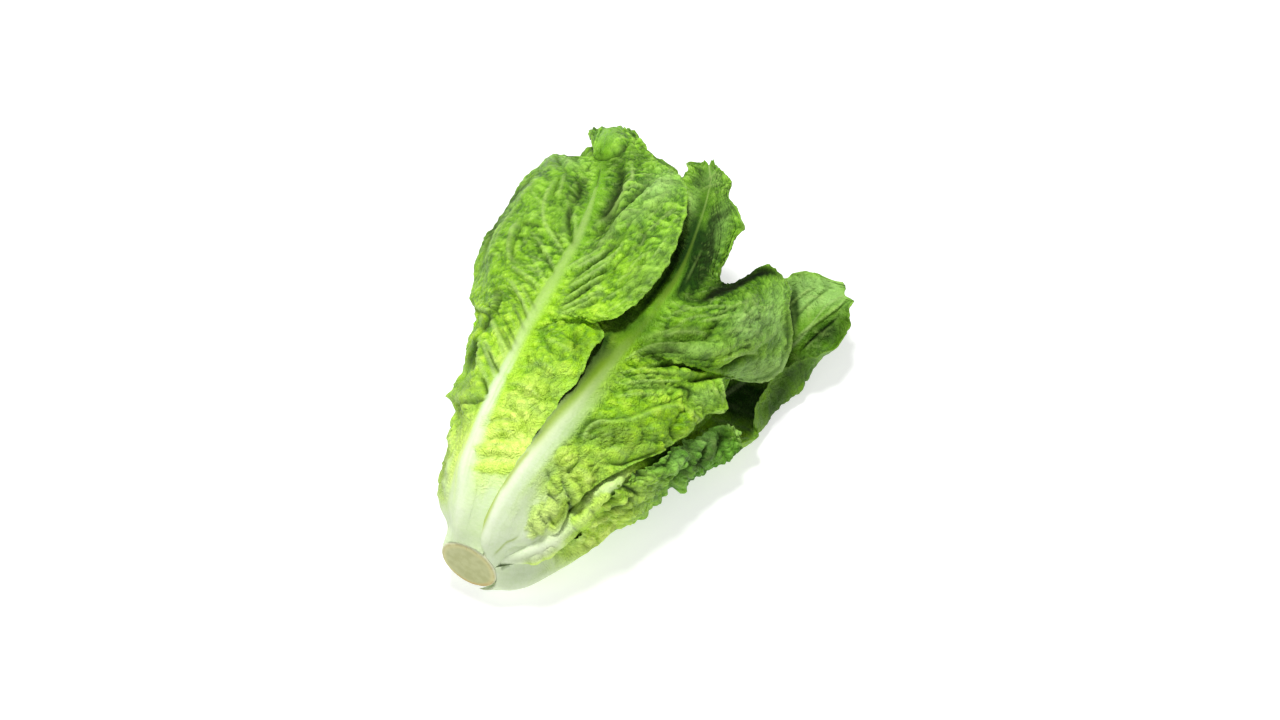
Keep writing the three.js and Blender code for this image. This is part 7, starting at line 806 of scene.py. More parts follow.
B 6,4 0 1.1 .35 | 772,328
G 24,20 0 .5 | 752,325
G 26,8 -15 .5 | 765,372
s 8 1.2 .5 | 790,300 789,318 791,336 788,352 780,366 768,377 752,382 738,380
M 10,8 -2,5 a | 770,262
d 4 0 1 a | 700,303 718,292 738,283 756,274 772,271 786,275
d 3 0 .8 a | 712,293 730,285 750,276 770,268
d 4.5 0 .7 | 734,206 726,212 716,219 706,226
G 10,10 0 .5 | 712,178
G 6,22 15 .5 | 692,205
r 1.5 1.0 .6 | 690,190 690,204 688,218
r 1.4 1.0 .5 | 702,190 712,186 722,184
r 1.4 1.0 .5 | 706,182 714,176 722,176
d 4.5 0 1 | 702,225 699,245 692,268 682,288 672,300
d 4.5 0 1 | 708,232 706,255 700,276 690,292
d 3.5 0 .9 | 684,228 679,248 672,266 662,282 650,298 636,314
r 1.5 -1.2 -.7 | 640,357 655,353 672,352 690,354
r 1.5 -1.2 -.6 | 668,345 685,341 702,340 718,342
r 1.5 -1.2 -.6 | 700,330 716,326 732,326
r 1.5 -1.2 -.5 | 712,316 728,312 742,308
r 1.4 1.0 .7 | 640,350 658,345 676,344 694,346
r 1.4 1.0 .7 | 660,338 678,334 696,333 712,335
r 1.4 1.0 .7 | 700,322 716,318 730,316
r 1.4 1.0 .6 | 726,334 740,330 754,331 766,336
r 1.4 1.0 .6 | 736,322 748,314 756,304
r 1.6 -1.2 -.6 | 722,356 738,350 752,346
r 1.4 1.0 .7 | 716,362 732,356 748,353 764,356
d 2.2 0 .8 | 640,354 660,349 680,350
r 1.5 -1.2 -.6 | 620,378 640,374 660,374 680,376
r 1.5 -1.2 -.6 | 618,390 640,388 662,388
r 1.5 1.0 .6 | 620,384 642,381 664,381 684,380
r 1.5 1.0 .6 | 616,396 640,394 660,395
G 34,9 -10 .5 | 700,350
G 30,8 8 .4 | 650,386
r 1.3 -.3 -.6 | 493,556 500,549 506,543 513,540 519,536
r 2.0 -2.5 -.8 | 547,491 552,498 562,504
r 2.0 -2.5 -.8 | 561,476 566,490 574,503
r 2.0 -2.0 -.6 | 574,474 580,488 583,498
r 1.8 -2.0 -.6 | 538,510 541,518 547,526
r 1.8 -2.0 -.6 | 548,514 551,520 555,527
r 1.8 -1.6 -.5 | 531,520 534,530 540,537
r 2.6 -3.0 -1 | 568,500 571,507 570,514
r 1.8 1.2 .5 | 558,469 566,468 574,464
s 14 3.6 .4 | 692,411 684,406 672,404 655,409 640,415 625,420 602,422 592,425 586,432 584,441
B 10,15 20 4 .7 | 685,424
B 14,9 -10 2 .3 | 606,436
B 14,10 -5 2 .3 | 632,436
B 13,10 -25 2 .3 | 657,430
B 15,8 -5 1.8 .3 | 618,453
B 14,7 -20 1.6 .3 | 645,449
r 1.8 -1.4 -.5 | 600,428 601,440 604,452
r 1.8 -1.4 -.5 | 613,426 614,438 613,450
r 1.8 -1.4 -.5 | 626,424 627,436 625,448
r 1.8 -1.4 -.5 | 640,420 642,432 640,444
r 2.6 -3.0 -.9 | 671,424 674,435 679,442
r 2.2 -2.0 -.6 | 600,462 622,464 642,457 662,448
M 16,14 7,6 a | 552,528
G 16,12 0 .8 | 705,398
v 2.0 .8 .9 | 688,408 694,416 701,420 712,416 721,412 728,417
r 3 -2 -.9 | 676,386 690,392 688,404
v 1.5 .6 .6 | 722,381 724,392 723,404
G 10,30 15 .5 | 722,225
M 12,10 8,12 | 672,166
M 7,8 -7,-3 | 693,168
M 8,6 0,-4 | 706,167
M 8,10 -5,0 | 733,196
M 6,6 5,0 | 741,228
M 14,6 0,6 | 728,276
M 18,8 0,-8 | 770,270
r 2.2 -4 -1 | 652,367 668,363 680,364 692,367 703,369 713,366
r 3.4 -5 -1 | 686,381 700,379 714,376 728,368 742,359 758,355
r 5 1.8 .3 | 640,352 662,349 690,350 715,352 735,350
r 4 1.5 .3 | 632,376 655,374 680,373 700,374
r 4 1.5 .25 | 640,340 665,334 690,331 705,328
r 2 -1.2 -.5 | 630,368 645,366 656,366
r 2 -1.2 -.6 | 664,329 674,327 682,326
r 2 -1.0 -.4 | 640,358 660,357 690,359 720,361
v 1.3 .6 .6 | 622,362 640,351 660,347
v 1.2 .5 .5 | 615,373 640,369 662,367
v 1.2 .5 .5 | 650,338 672,330 690,318 720,314
v 1.2 .5 .5 | 668,316 690,308 720,306 738,310
r 5 1.6 .35 | 728,352 740,354 750,348 758,340
r 8 1.2 .25 | 745,374 765,370 782,360
r 3 1.2 .3 | 745,318 758,316 768,322
r 3 1.2 .3 | 748,300 756,296
r 3 1.2 .3 | 762,340 772,334 776,326
v 1.2 .5 .5 | 742,324 744,308 748,296
r 5 -2.5 -.6 | 705,342 715,330 720,318
G 14,20 30 .5 | 778,296
G 24,9 -15 .5 | 764,370
G 20,16 0 .7 | 752,322
D 10,36 20 .8 | 704,262
D 26,18 0 .65 | 624,322
D 12,30 25 .8 | 596,362
D 9,36 20 .8 | 690,238
D 6,36 20 .9 | 706,245
U 9 0 1 | 622,338 640,316 656,298
r 4 -1 -1 | 690,302 706,297 722,289 738,284 752,277 764,271 780,270
r 3 -1 -1 | 712,284 730,281 746,274 760,268 778,268
D 16,9 0 .8 | 724,288
""",
"outer_leaf_11": """
D 14,12 0 .14 a | 650,165
M 16,10 -4,5 | 655,148
M 8,8 6,5 | 580,150
""",
"inner_leaf_13": """
M 10,12 3,0 | 474,320
""",
"outer_leaf_04": """
G 5,20 4 -1.2 a | 793,308
D 6,20 4 1 a | 793,310
D 6,24 4 .9 a | 793,308
d 1.2 0 .5 | 800,352 814,338 828,326 842,312
v 1.0 .3 .5 | 812,330 822,334 832,334
v 1.0 .3 .5 | 806,340 814,346 822,346
G 26,10 -20 .5 | 822,290
D 24,12 -25 .3 | 828,332
D 14,40 37 .12 a | 784,392
M 6,6 5,-3 a | 843,287
M 8,8 9,0 a | 843,296
M 12,12 11,-2 a | 838,290
v 1.2 0 .5 | 776,412 770,400 768,392
v 1.2 0 .5 | 788,396 780,386 778,378
v 1.2 0 .5 | 764,424 760,414 760,406
v 1.2 0 .5 | 800,378 792,370 792,362
v 1.2 0 .5 | 822,338 826,330 834,326
v 1.2 0 .4 | 806,350 812,342 820,340
v 1.2 0 .5 | 802,300 812,296 824,298
v 1.2 0 .5 | 796,312 806,306 816,306
G 34,14 12 .6 | 818,296
d 4 0 .7 | 795,288 792,304 793,322 793,340
D 13,34 37 .65 a | 772,404
D 12,22 37 .45 a | 800,368
r 1.6 1.2 .5 | 792,342 806,330 820,320 836,308 848,297
r 1.5 -1.2 -.7 | 800,352 812,340 826,328 838,318
r 1.5 -1.2 -.6 | 796,318 806,306 818,296 830,288
r 1.5 1.0 .6 | 790,306 800,296 812,288
G 30,14 10 1.0 | 815,288
G 14,16 0 .5 | 800,305
D 26,13 -20 .5 | 825,332
D 24,16 0 1.0 | 745,402
D 24,16 0 1.0 | 742,398
M 10,22 3,1 a | 846,325
M 14,12 4,4 a | 838,345
M 25,8 0,-3 a | 810,273
M 20,25 6,5 a | 760,430
M 16,16 5,4 a | 795,395
""",
"outer_leaf_01": """
L 16,3 48 1.2 a | 731,431
P 10,2.5 48 .35 a | 730,431
M 10,8 -7,-5 a | 584,534
M 12,9 -8,-5 a | 568,549
B 14,8 -35 2.0 .4 1 | 583,524
B 12,7 -30 1.8 .4 1 | 603,512
B 10,6 -40 1.6 .4 1 | 622,500
B 12,6 -40 1.6 .4 1 | 572,538
B 16,6 -38 1.6 .4 1 | 600,533
B 14,6 -40 1.6 .4 1 | 625,520
B 9,7 0 1.6 .4 | 652,478
B 9,7 0 1.6 .4 | 668,468
B 8,7 0 1.5 .4 | 686,456
B 8,6 0 1.5 .4 | 700,446
G 14,8 -30 .5 | 705,440
G 12,8 -30 .4 | 680,462
P 20,8 -40 .5 | 585,545
M 20,15 -13,-9 a | 596,514
M 14,10 -10,-7 a | 574,544
M 5,5 3,4 a | 642,514
M 4,4 2,3 a | 657,503
M 5,4 3,6 a | 684,489
M 6,4 1,-3 a | 700,478
M 7,5 -1,-4 a | 712,470
M 4,4 2,3 a | 728,463
M 5,5 -1,-3 a | 672,494
D 46,14 -22 .45 | 532,572
d 1.4 0 1 | 501,574 505,572 511,571
d 1.3 0 .7 | 640,468 643,476 640,478
d 6 0 .35 | 690,470 712,452 724,436
r 2.2 -2.4 -.9 | 573,536 580,529 590,524
r 2.2 -2.4 -.8 | 562,549 570,543 579,540
r 2.4 -2.6 -1 | 600,519 612,512 625,505 637,497
r 2.2 -2.4 -.9 | 596,509 608,505 620,498
r 3.0 -2.6 -1 | 626,486 633,491 641,497
r 3.5 2.0 .4 | 586,548 605,536 620,526 637,512
r 3.5 1.8 .4 | 558,562 575,553 590,543
r 2.6 1.8 .3 | 605,512 617,506 630,499
r 2.6 1.8 .3 | 600,502 620,494
r 2.2 1.2 .8 | 645,463 655,459 668,456
r 3 -2.6 -.9 | 640,466 642,472 644,480
r 2.4 -2.2 -.8 | 655,470 666,464 676,455
r 3 1.8 .2 | 660,478 672,470 684,460
r 2.4 -2.2 -.8 | 668,486 680,476 692,464
r 3 1.6 .2 | 684,480 694,470 702,458
r 2.4 -2.2 -.8 | 694,470 703,458 708,444
r 3 1.6 .2 | 706,462 713,450 716,436
r 2.6 -2.2 -.8 | 716,456 722,444 724,432
r 2.2 1.5 .7 | 716,421 727,426 736,434 742,446
P 24,10 -35 .6 | 612,530
M 12,10 4,7 a | 626,474
P 40,16 -35 .55 | 598,522
P 30,14 -35 .3 | 640,494
H 40,20 -3,-6 | 560,568
H 40,22 -4,-7 | 620,540
H 40,22 -3,-6 | 680,500
M 14,8 0,3 a | 485,585
""",
"outer_leaf_07": """
U 8 0 .85 a | 520,566 534,563 548,557 560,549
B 8,5 -30 1.4 .2 .6 | 536,560
B 8,5 -35 1.4 .2 .6 | 550,553
P 18,6 -30 .5 a | 534,562
P 24,8 -36 .8 a | 614,484
X 27,9 -36 .62 a | 606,490
B 24,8 -36 3.2 0 | 604,490
B 12,10 -35 2.0 .5 1 | 584,520
B 12,9 -35 2.0 .5 1 | 600,503
P 20,10 -35 .5 | 590,512
G 40,14 -30 .0 | 540,550
d 5 0 .35 | 505,562 530,556 552,546
W 2.5 0 .5 | 540,551 556,536 572,521
U 6 0 .8 | 560,545 580,528 596,512
d 8 0 .85 | 642,467 660,456 680,444
U 9 0 1 | 638,468 650,460 662,453 680,444
d 1.2 0 .6 | 500,549 506,543 513,540 519,536
G 22,8 -35 .3 | 612,482
r 2.0 -2.5 -.8 | 547,491 552,498 562,504
r 2.0 -2.5 -.8 | 561,476 566,490 574,503
r 2.0 -2.0 -.6 | 574,474 580,488 583,498
r 1.8 -2.0 -.6 | 538,510 541,518 547,526
r 1.8 -2.0 -.6 | 548,514 551,520 555,527
r 1.8 -1.6 -.5 | 531,520 534,530 540,537
r 2.6 -3.0 -1 | 568,500 571,507 570,514
r 1.8 1.2 .5 | 558,469 566,468 574,464
P 10,18 15 .8 | 590,480
P 9,14 15 .6 | 538,520
""",
}


def view_plane(P):
    C_, R_, U_, F_ = (np.array(a) for a in (CAM_C, CAM_R, CAM_U, CAM_F))
    q = P / 1000.0 - C_; z = q @ F_
    return 640 + 3022.2 * (q @ R_) / z, 360 - 3022.2 * (q @ U_) / z

def smooth_line(P, k=5):
    if len(P) < 3: return P
    t = np.linspace(0, len(P) - 1, (len(P) - 1) * k + 1)
    return through(P, t)

def strokes(name, S, N, side, lift):
    """displacement, pale lines, white, lime and soft pale fields from the strokes of a leaf, with painted shade (a
    darker tint in folds, gaps and shaded faces, partly leaf tone, and shade along creases and round bumps) and a bloom
    tint that also paints light on shaded faces
    """
    shp = S.shape[:2]; out = {k: np.zeros(shp) for k in ("d", "pale", "crease_shade", "white", "unwhite", "dark_tone_and_shade", "bloom_and_painted_light", "lime", "soft")}
    out["move"] = np.zeros(S.shape)
    if name not in STROKES: return out
    px, py = view_plane(S)
    front = step(-.05, .22, side * (N @ (-np.array(CAM_F))))
    moved = False
    for ln in sorted(STROKES[name].strip().splitlines(), key=lambda l: l[0] not in "MH"):
        line = ln
        if line.startswith("#"): continue
        if line[0] not in "MH" and not moved:
            moved = True; px, py = view_plane(S + out["move"] + N * lift[..., None])
        head, pts = line.split("|"); k = head.split(); kind = k[0]
        P = np.array([[float(c) for c in p.split(",")] for p in pts.split()])
        if kind == "H":
            rx, ry = (float(c) for c in k[1].split(",")); mx_, my_ = (float(c) for c in k[2].split(","))
            e = np.hypot((px - P[0, 0]) / rx, (py - P[0, 1]) / ry); g = np.exp(-e ** 2)
            out["move"] += .54 * g[..., None] * (mx_ * np.array(CAM_R) - my_ / .766 * np.array([.8829, .4695, 0])); continue
        if kind == "M":
            rx, ry = (float(c) for c in k[1].split(",")); mx_, my_ = (float(c) for c in k[2].split(","))
            e = np.hypot((px - P[0, 0]) / rx, (py - P[0, 1]) / ry); g = np.exp(-e ** 2) * (front if len(k) < 4 else 1)
            out["move"] += .54 * g[..., None] * (mx_ * np.array(CAM_R) - my_ * np.array(CAM_U)); continue
        if kind == "B":
            rx, ry = (float(c) for c in k[1].split(",")); a = math.radians(float(k[2])); amt = float(k[3])
            ex = px - P[0, 0]; ey = py - P[0, 1]
            e = np.hypot((ex * math.cos(a) + ey * math.sin(a)) / rx, (-ex * math.sin(a) + ey * math.cos(a)) / ry)
            e = e * (1 + .22 * noise(px / 6, py / 6, 17)) + .05 * noise(px / 2.6, py / 2.6, 18)
            out["d"] += amt * np.clip(1 - e ** 2, 0, 1) ** .8 * front
            # painted shade round the rim of each bump
            rim = np.exp(-((e - 1.04) * min(rx, ry) / 1.7) ** 2) * front * step(-.35, .25, noise(px / 9, py / 9, 19))
            out["crease_shade"] = np.maximum(out["crease_shade"], (float(k[4]) if len(k) > 4 else .4) * rim)
            if len(k) > 5: out["unwhite"] = np.maximum(out["unwhite"], float(k[5]) * step(1.3, .75, e) * front)
            continue
        # D blobs: painted shade, a darker tint where shade falls, with some darker leaf tone; G blobs: bloom tint, also
        # painted light on faces turned from the lamp; L lime, X white, P soft pale
        if kind in "DGLXP":
            rx, ry = (float(c) for c in k[1].split(",")); a = math.radians(float(k[2])); amt = float(k[3])
            ex = px - P[0, 0]; ey = py - P[0, 1]
            e = np.hypot((ex * math.cos(a) + ey * math.sin(a)) / rx, (-ex * math.sin(a) + ey * math.cos(a)) / ry)
            g = amt * np.exp(-e ** 2 * 1.1) * (front if len(k) < 5 else 1)
            key = {"D": "dark_tone_and_shade", "G": "bloom_and_painted_light", "L": "lime", "X": "white", "P": "soft"}[kind]
            out.setdefault(key, np.zeros(shp)); out[key] = out[key] + g; continue
        w, amt, col = float(k[1]), float(k[2]), float(k[3])
        Q_ = smooth_line(P); reach = w * (4.5 if kind == "s" else 3.2) + 3
        box = (px > Q_[:, 0].min() - reach) & (px < Q_[:, 0].max() + reach) & (py > Q_[:, 1].min() - reach) & (py < Q_[:, 1].max() + reach)
        if not box.any(): continue
        x, y = px[box], py[box]
        best = np.full(x.shape, 1e9); bt = np.zeros(x.shape); bs = np.zeros(x.shape)
        seg = np.hypot(*np.diff(Q_, axis=0).T); cum = np.concatenate([[0], np.cumsum(seg)]); tot = cum[-1]
        for i in range(len(Q_) - 1):
            a_, b_ = Q_[i], Q_[i + 1]; dx_, dy_ = b_ - a_; l2 = dx_ * dx_ + dy_ * dy_ + 1e-9
            tt = np.clip(((x - a_[0]) * dx_ + (y - a_[1]) * dy_) / l2, 0, 1)
            d_ = np.hypot(x - a_[0] - tt * dx_, y - a_[1] - tt * dy_)
            near = d_ < best
            best = np.where(near, d_, best); bt = np.where(near, (cum[i] + tt * seg[i]) / tot, bt)
            bs = np.where(near, -np.sign(dx_ * (y - a_[1]) - dy_ * (x - a_[0])), bs)
        taper = .25 + .75 * step(0, .2, bt) * step(1, .8, bt)
        f = front[box] if len(k) < 5 else np.ones(x.shape)
        g = np.exp(-(best / w) ** 2) * taper * f
        if kind == "s":
            sd = best * bs
            g2 = np.where(sd > 0, np.exp(-sd / w) * step(-2.2, 2.2, sd), step(-2.2, 2.2, sd)) * taper * f
            g2 *= step(4.2 * w, 1.5 * w, best)
            out["d"][box] += amt * g2
            # a pale line on the raised side of the step and a band of painted shade below it
            line_ = np.exp(-((sd - 1.6) / 1.6) ** 2) * taper * f
            low_ = np.exp(-((sd + 2.2) / 2.0) ** 2) * taper * f
            if col > 0: out["pale"][box] = np.maximum(out["pale"][box], col * line_)
            out["crease_shade"][box] = np.maximum(out["crease_shade"][box], .6 * low_ * (amt > 1.0))
        elif kind == "W":
            out["white"][box] = np.maximum(out["white"][box], col * g)
        # d lines: painted shade along folds and gaps, with some darker leaf tone
        elif kind == "d":
            out["dark_tone_and_shade"][box] = np.maximum(out["dark_tone_and_shade"][box], col * g)
        elif kind == "U":
            out["unwhite"][box] = np.maximum(out["unwhite"][box], col * g)
        # r and v lines: a negative colour paints shade along the line
        else:
            out["d"][box] += amt * g
            if col > 0: out["pale"][box] = np.maximum(out["pale"][box], col * (np.exp(-(best / (w * (1.0 if kind == "v" else .8))) ** 2) * taper * f))
            else: out["crease_shade"][box] = np.maximum(out["crease_shade"][box], -col * (np.exp(-(best / w) ** 2) * taper * f))
    return out

# ------------------------------------------------------------------ one leaf
def leaf(name, nv, nu, seed, side=1, bullate=1.0, cell=7.0, puff=1.0, ruffle=1.0, jag=1.0, swell=1.0,
         lime=(.12, .55), white_end=.16, dark_tone_and_shade=0.0, pale=0.0, blue=0.0, rib_white=1.0, mat=None,
         shape=None, tint=None, blade=.9, veins=1.0, crumple=.8, extend=None, rib_scale=1.0,
         rib_tone=([.3, .5, .8, 1], [0, .2, .5, .6]), from_v=(.10, .26), wrinkle=.5, ribfree=None, keel=.9, fresh=0.0, contrast=.40, coarse=1.0, finer=.38):
    L = LEAVES[name]; G = np.array(L["p"], float).reshape(L["rows"], L["cols"], 3)
    S = sheet(G, nv, nu); N = normals(S); S0 = S.copy()
    mid = nu // 2
    u = np.linspace(-1, 1, nu)[None, :].repeat(nv, 0); v = np.linspace(0, 1, nv)[:, None].repeat(nu, 1)
    au = np.abs(u)
    dx = np.linalg.norm(np.diff(S, axis=1), axis=2)
    x = np.zeros((nv, nu))
    for j in range(mid + 1, nu): x[:, j] = x[:, j - 1] + dx[:, j - 1]
    for j in range(mid - 1, -1, -1): x[:, j] = x[:, j + 1] - dx[:, j]
    ax = np.abs(x)
    dy = np.linalg.norm(np.diff(S, axis=0), axis=2)
    y = np.vstack([np.zeros((1, nu)), np.cumsum(dy, axis=0)])
    ym = y[:, mid:mid + 1].repeat(nu, 1); length = y[-1, mid]
    w = np.where(x > 0, x[:, -1:], -x[:, :1])          # half width on this side
    toedge = np.maximum(w - ax, 0)                      # mm to the margin, roughly
    tip = length - ym
    scale = np.gradient(y, axis=0) / np.maximum(np.gradient(ym, axis=0), 1e-6)
    blade_on = step(.0, .9, toedge / 6.0) * step(0, 10, tip)
    free = ribfree(v) if ribfree is not None else 0.0

    # ---- midrib
    ribh = np.interp(v, RIB_AT, RIB_HEIGHT) * L["rib"]
    ribw = np.interp(v, RIB_AT, RIB_HALF_WIDTH) * (.55 + .45 * L["rib"])
    rib = ribh * np.clip(1 - (ax / ribw) ** 2, 0, 1) ** 1.5
    ridge_w = np.interp(v, [0, .3, 1], [2.6, 2.0, 1.1])
    ridge = np.exp(-(ax / ridge_w) ** 2)

    # ---- side veins: they run along the rows
    yl, yr = vein_rows(length, .13 * length, seed + 3), vein_rows(length, .15 * length, seed + 4)
    wob = 1.6 * noise(x / 17, ym / 23, seed + 5)
    yy = ym + wob
    def nearest(yy, ks):
        k = np.searchsorted(ks, yy); lo = ks[np.clip(k - 1, 0, len(ks) - 1)]; hi = ks[np.clip(k, 0, len(ks) - 1)]
        d = np.minimum(np.abs(yy - lo), np.abs(yy - hi))
        frac = np.clip((yy - lo) / np.maximum(hi - lo, 1e-6), 0, 1)
        return d, np.where(hi > lo, frac, 0.0), k
    dl, fl, kl = nearest(yy, yl); dr, fr, kr = nearest(yy, yr)
    right = x > 0
    dv = np.where(right, dr, dl) * np.clip(scale, .5, 2.5); frac = np.where(right, fr, fl); kk = np.where(right, kr + 50, kl)
    vw = np.interp(ax / np.maximum(w, 1), [0, .5, 1], [1.5, .9, .5])
    on_blade = step(.07, .18, v) * step(.2, 2.5, ax - ribw * .35)
    fade = step(-.35, .35, noise(x / 24 + 7, y / 24, seed + 6) + .55 - 1.1 * ax / np.maximum(w, 1))
    vein = veins * np.exp(-(dv / vw) ** 2) * on_blade * (.15 + .85 * fade)

    # ---- the vein mesh between them: blisters
    wx = x + 2.2 * noise(x / 9, y / 9, seed + 8); wy = y + 2.2 * noise(x / 9, y / 9, seed + 9)
    warp = np.stack([noise3(S / 8.0, seed + 13), noise3(S / 8.0, seed + 14), noise3(S / 8.0, seed + 15)], -1)
    f1, f2, rid = cells3((S + 3.4 * warp) / cell, seed + 11)
    t = np.clip((f2 - f1) / .55, 0, 1); dome = t * t * (3 - 2 * t)
    g1, g2, rid2 = cells3((S + 2.0 * warp) / (cell * .45), seed + 12)
    t2 = np.clip((g2 - g1) / .55, 0, 1); dome2 = t2 * t2 * (3 - 2 * t2)
    zone = step(from_v[0], from_v[1], v) * np.maximum(step(.0, 7, ax - ribw * .55), free)
    b = bullate(u, v, x, ym) if callable(bullate) else bullate
    patch = .55 + .75 * step(-.45, .5, noise3(S / 26.0, seed + 16))
    cw = coarse(u, v, x, ym) if callable(coarse) else coarse
    fw = finer(u, v, x, ym) if callable(finer) else finer
    blister = zone * b * patch * (cw * (dome * (.15 + 1.1 * rid) - .40) + fw * (dome2 - .5) * (.3 + rid2))
    # ---- the blade puffs up between side veins
    rp = _hash(kk, kk * 0 + 3, seed + 21)
    pf = puff(u, v, x, ym) if callable(puff) else puff
    bands = np.sin(np.pi * frac) ** .8 * (.35 + .9 * rp) - .35
    puffs = pf * bands * step(.12, .3, v) * step(1, 9, ax - ribw * .4) * np.interp(ax / np.maximum(w, 1), [0, .45, 1], [1, .85, .25])

    # ---- frilled margin, gentle swells
    rf = ruffle(u, v, x, ym) if callable(ruffle) else ruffle
    near = step(16, 0, toedge); near2 = step(8, 0, toedge)
    sgn = np.where(right, 1.0, -1.0)
    frill = rf * (near * 1.5 * noise(y / 15 + 40 * sgn, x * 0 + 3.3, seed + 31) * 1.6
                  + near2 * 1.1 * noise(y / 5.5 + 40 * sgn, x / 30, seed + 32) * 1.6)
    frill *= step(.05, .22, v)
    sw = swell * (1.6 * fbm(x / 34, y / 40, seed + 41, 2)) * step(.1, .35, v)

    cm = crumple(u, v, x, ym) if callable(crumple) else crumple
    n1 = noise(wx / 13 + 3, wy / 6.6, seed + 45); n2 = noise(wx / 6.2, wy / 3.4 + 5, seed + 46)
    cz = step(from_v[0] + .02, from_v[1] + .04, v) * np.maximum(step(.5, 6, ax - ribw * .4), free)
    crinkle = cz * cm * (2.1 * (np.abs(n1) - .28) + .8 * (np.abs(n2) - .28))
    valley = cz * np.clip(1.5 * cm, 0, 1) * np.maximum(np.exp(-(n1 / .10) ** 2), .7 * np.exp(-(n2 / .13) ** 2))
    wk = wrinkle(u, v, x, ym) if callable(wrinkle) else wrinkle
    slant = yy + .25 * ax
    w1 = noise(x / 11 + 5, slant / 3.6, seed + 47); w2 = noise(x / 7 + 9, slant / 2.3, seed + 48); w3 = noise(x / 18 + 2, slant / 4.6, seed + 49)
    wgate = wk * step(.14, .34, v) * np.maximum(step(.3, 5, ax - ribw * .3), free) * (.35 + .9 * step(-.3, .45, noise3(S / 20.0, seed + 50)))
    wrinkles = wgate * (1.25 * (np.abs(w1) - .25) + .55 * (np.abs(w2) - .25))
    # wrinkle valleys, later painted darker as shade in the creases
    wdark = np.clip(wgate, 0, 1) * np.maximum(np.exp(-(w1 / .085) ** 2), .5 * np.exp(-(w2 / .10) ** 2))
    wpale = np.clip(wgate, 0, 1) * np.exp(-(w3 / .06) ** 2)
    d = sw + puffs * 1.25 + blister * 1.5 + crinkle + wrinkles + .55 * vein * side + frill
    d *= step(0, .06, v)
    hand = strokes(name, S, N, side, blade / 2 + .72 * rib if side > 0 else -blade / 2 - .28 * rib)
    S = S + hand["move"]
    d = d * (1 - .45 * np.clip(np.abs(hand["d"]) / 2.0, 0, 1)) + hand["d"] * side
    if shape is not None: d = shape(d, u, v, x, ym, S, N)
    # fine long ribs on the white base
    stri = .10 * noise(x / 1.7, y / 55, seed + 51) * step(.30, .05, v)
    # ---- outline: small teeth and bites
    jg = jag(u, v, x, ym) if callable(jag) else jag
    out_dir = np.gradient(S, axis=1) * sgn[..., None]
    out_dir /= np.maximum(np.linalg.norm(out_dir, axis=-1, keepdims=True), 1e-9)
    if extend is not None: S = S + out_dir * (extend(u, v, x, ym) * np.clip(au, 0, 1) ** 3)[..., None]
    edge = step(5.0, 0, toedge)
    teeth = jg * (1.0 * noise(y / 6.0, 9.1 * sgn, seed + 61) + .75 * noise(y / 2.6, 5.7 * sgn, seed + 62) + .3)
    teeth *= step(.06, .20, v)
    S = S + out_dir * (edge * teeth)[..., None]
    tip_dir = np.gradient(S, axis=0); tip_dir /= np.maximum(np.linalg.norm(tip_dir, axis=-1, keepdims=True), 1e-9)
    tt = jg * step(5, 0, tip) * (1.0 * noise(x / 6, x * 0 + 2.2, seed + 63) + .6 * noise(x / 2.6, x * 0 + 7.7, seed + 64) + .2)
    S = S + tip_dir * tt[..., None]

    P = S + N * d[..., None]
    N2 = normals(blur(P, 2))
    # thickness: thin at the margin
    thin = np.interp(np.minimum(toedge, tip * 1.0), [0, 1.5, 6], [.28, .6, 1.0])
    T = blade * thin
    outer = T / 2 + (keel * ridge * np.interp(v, [0, .04, .3, 1], [0, .7, 1, .4]) if side > 0 else 0) + stri + (0 if side > 0 else 0)
    O = P + N2 * outer[..., None] + N * (.72 * rib)[..., None]; I = P - N2 * (T / 2)[..., None] - N * (.28 * rib)[..., None]
    lo = .25
    for A in (O, I): A[..., 2] = np.maximum(A[..., 2], lo + .02 * noise(x / 3, y / 3, seed + 71))
    I[..., 2] = np.minimum(I[..., 2], np.maximum(O[..., 2], I[..., 2]))
    n = nv * nu
    V = np.concatenate([O.reshape(-1, 3), I.reshape(-1, 3)]) / 1000.0
    a = (np.arange(nv - 1)[:, None] * nu + np.arange(nu - 1)[None, :]).ravel()
    q1 = np.stack([a, a + 1, a + nu + 1, a + nu], 1); q2 = np.stack([a, a + nu, a + nu + 1, a + 1], 1) + n
    ring = np.concatenate([np.arange(nu), np.arange(1, nv) * nu + nu - 1, (nv - 1) * nu + np.arange(nu - 2, -1, -1), np.arange(nv - 2, 0, -1) * nu])
    nx = np.roll(ring, -1)
    q3 = np.stack([ring, ring + n, nx + n, nx], 1)
    F = np.concatenate([q1, q2, q3])
    me = bpy.data.meshes.new(name + "_skin")
    me.vertices.add(len(V)); me.vertices.foreach_set("co", V.astype(np.float32).ravel())
    me.loops.add(F.size); me.loops.foreach_set("vertex_index", F.astype(np.int32).ravel())
    me.polygons.add(len(F)); me.polygons.foreach_set("loop_start", np.arange(0, F.size, 4, dtype=np.int32))
    me.update(calc_edges=True); me.validate()
    me.polygons.foreach_set("use_smooth", np.ones(len(me.polygons), bool))

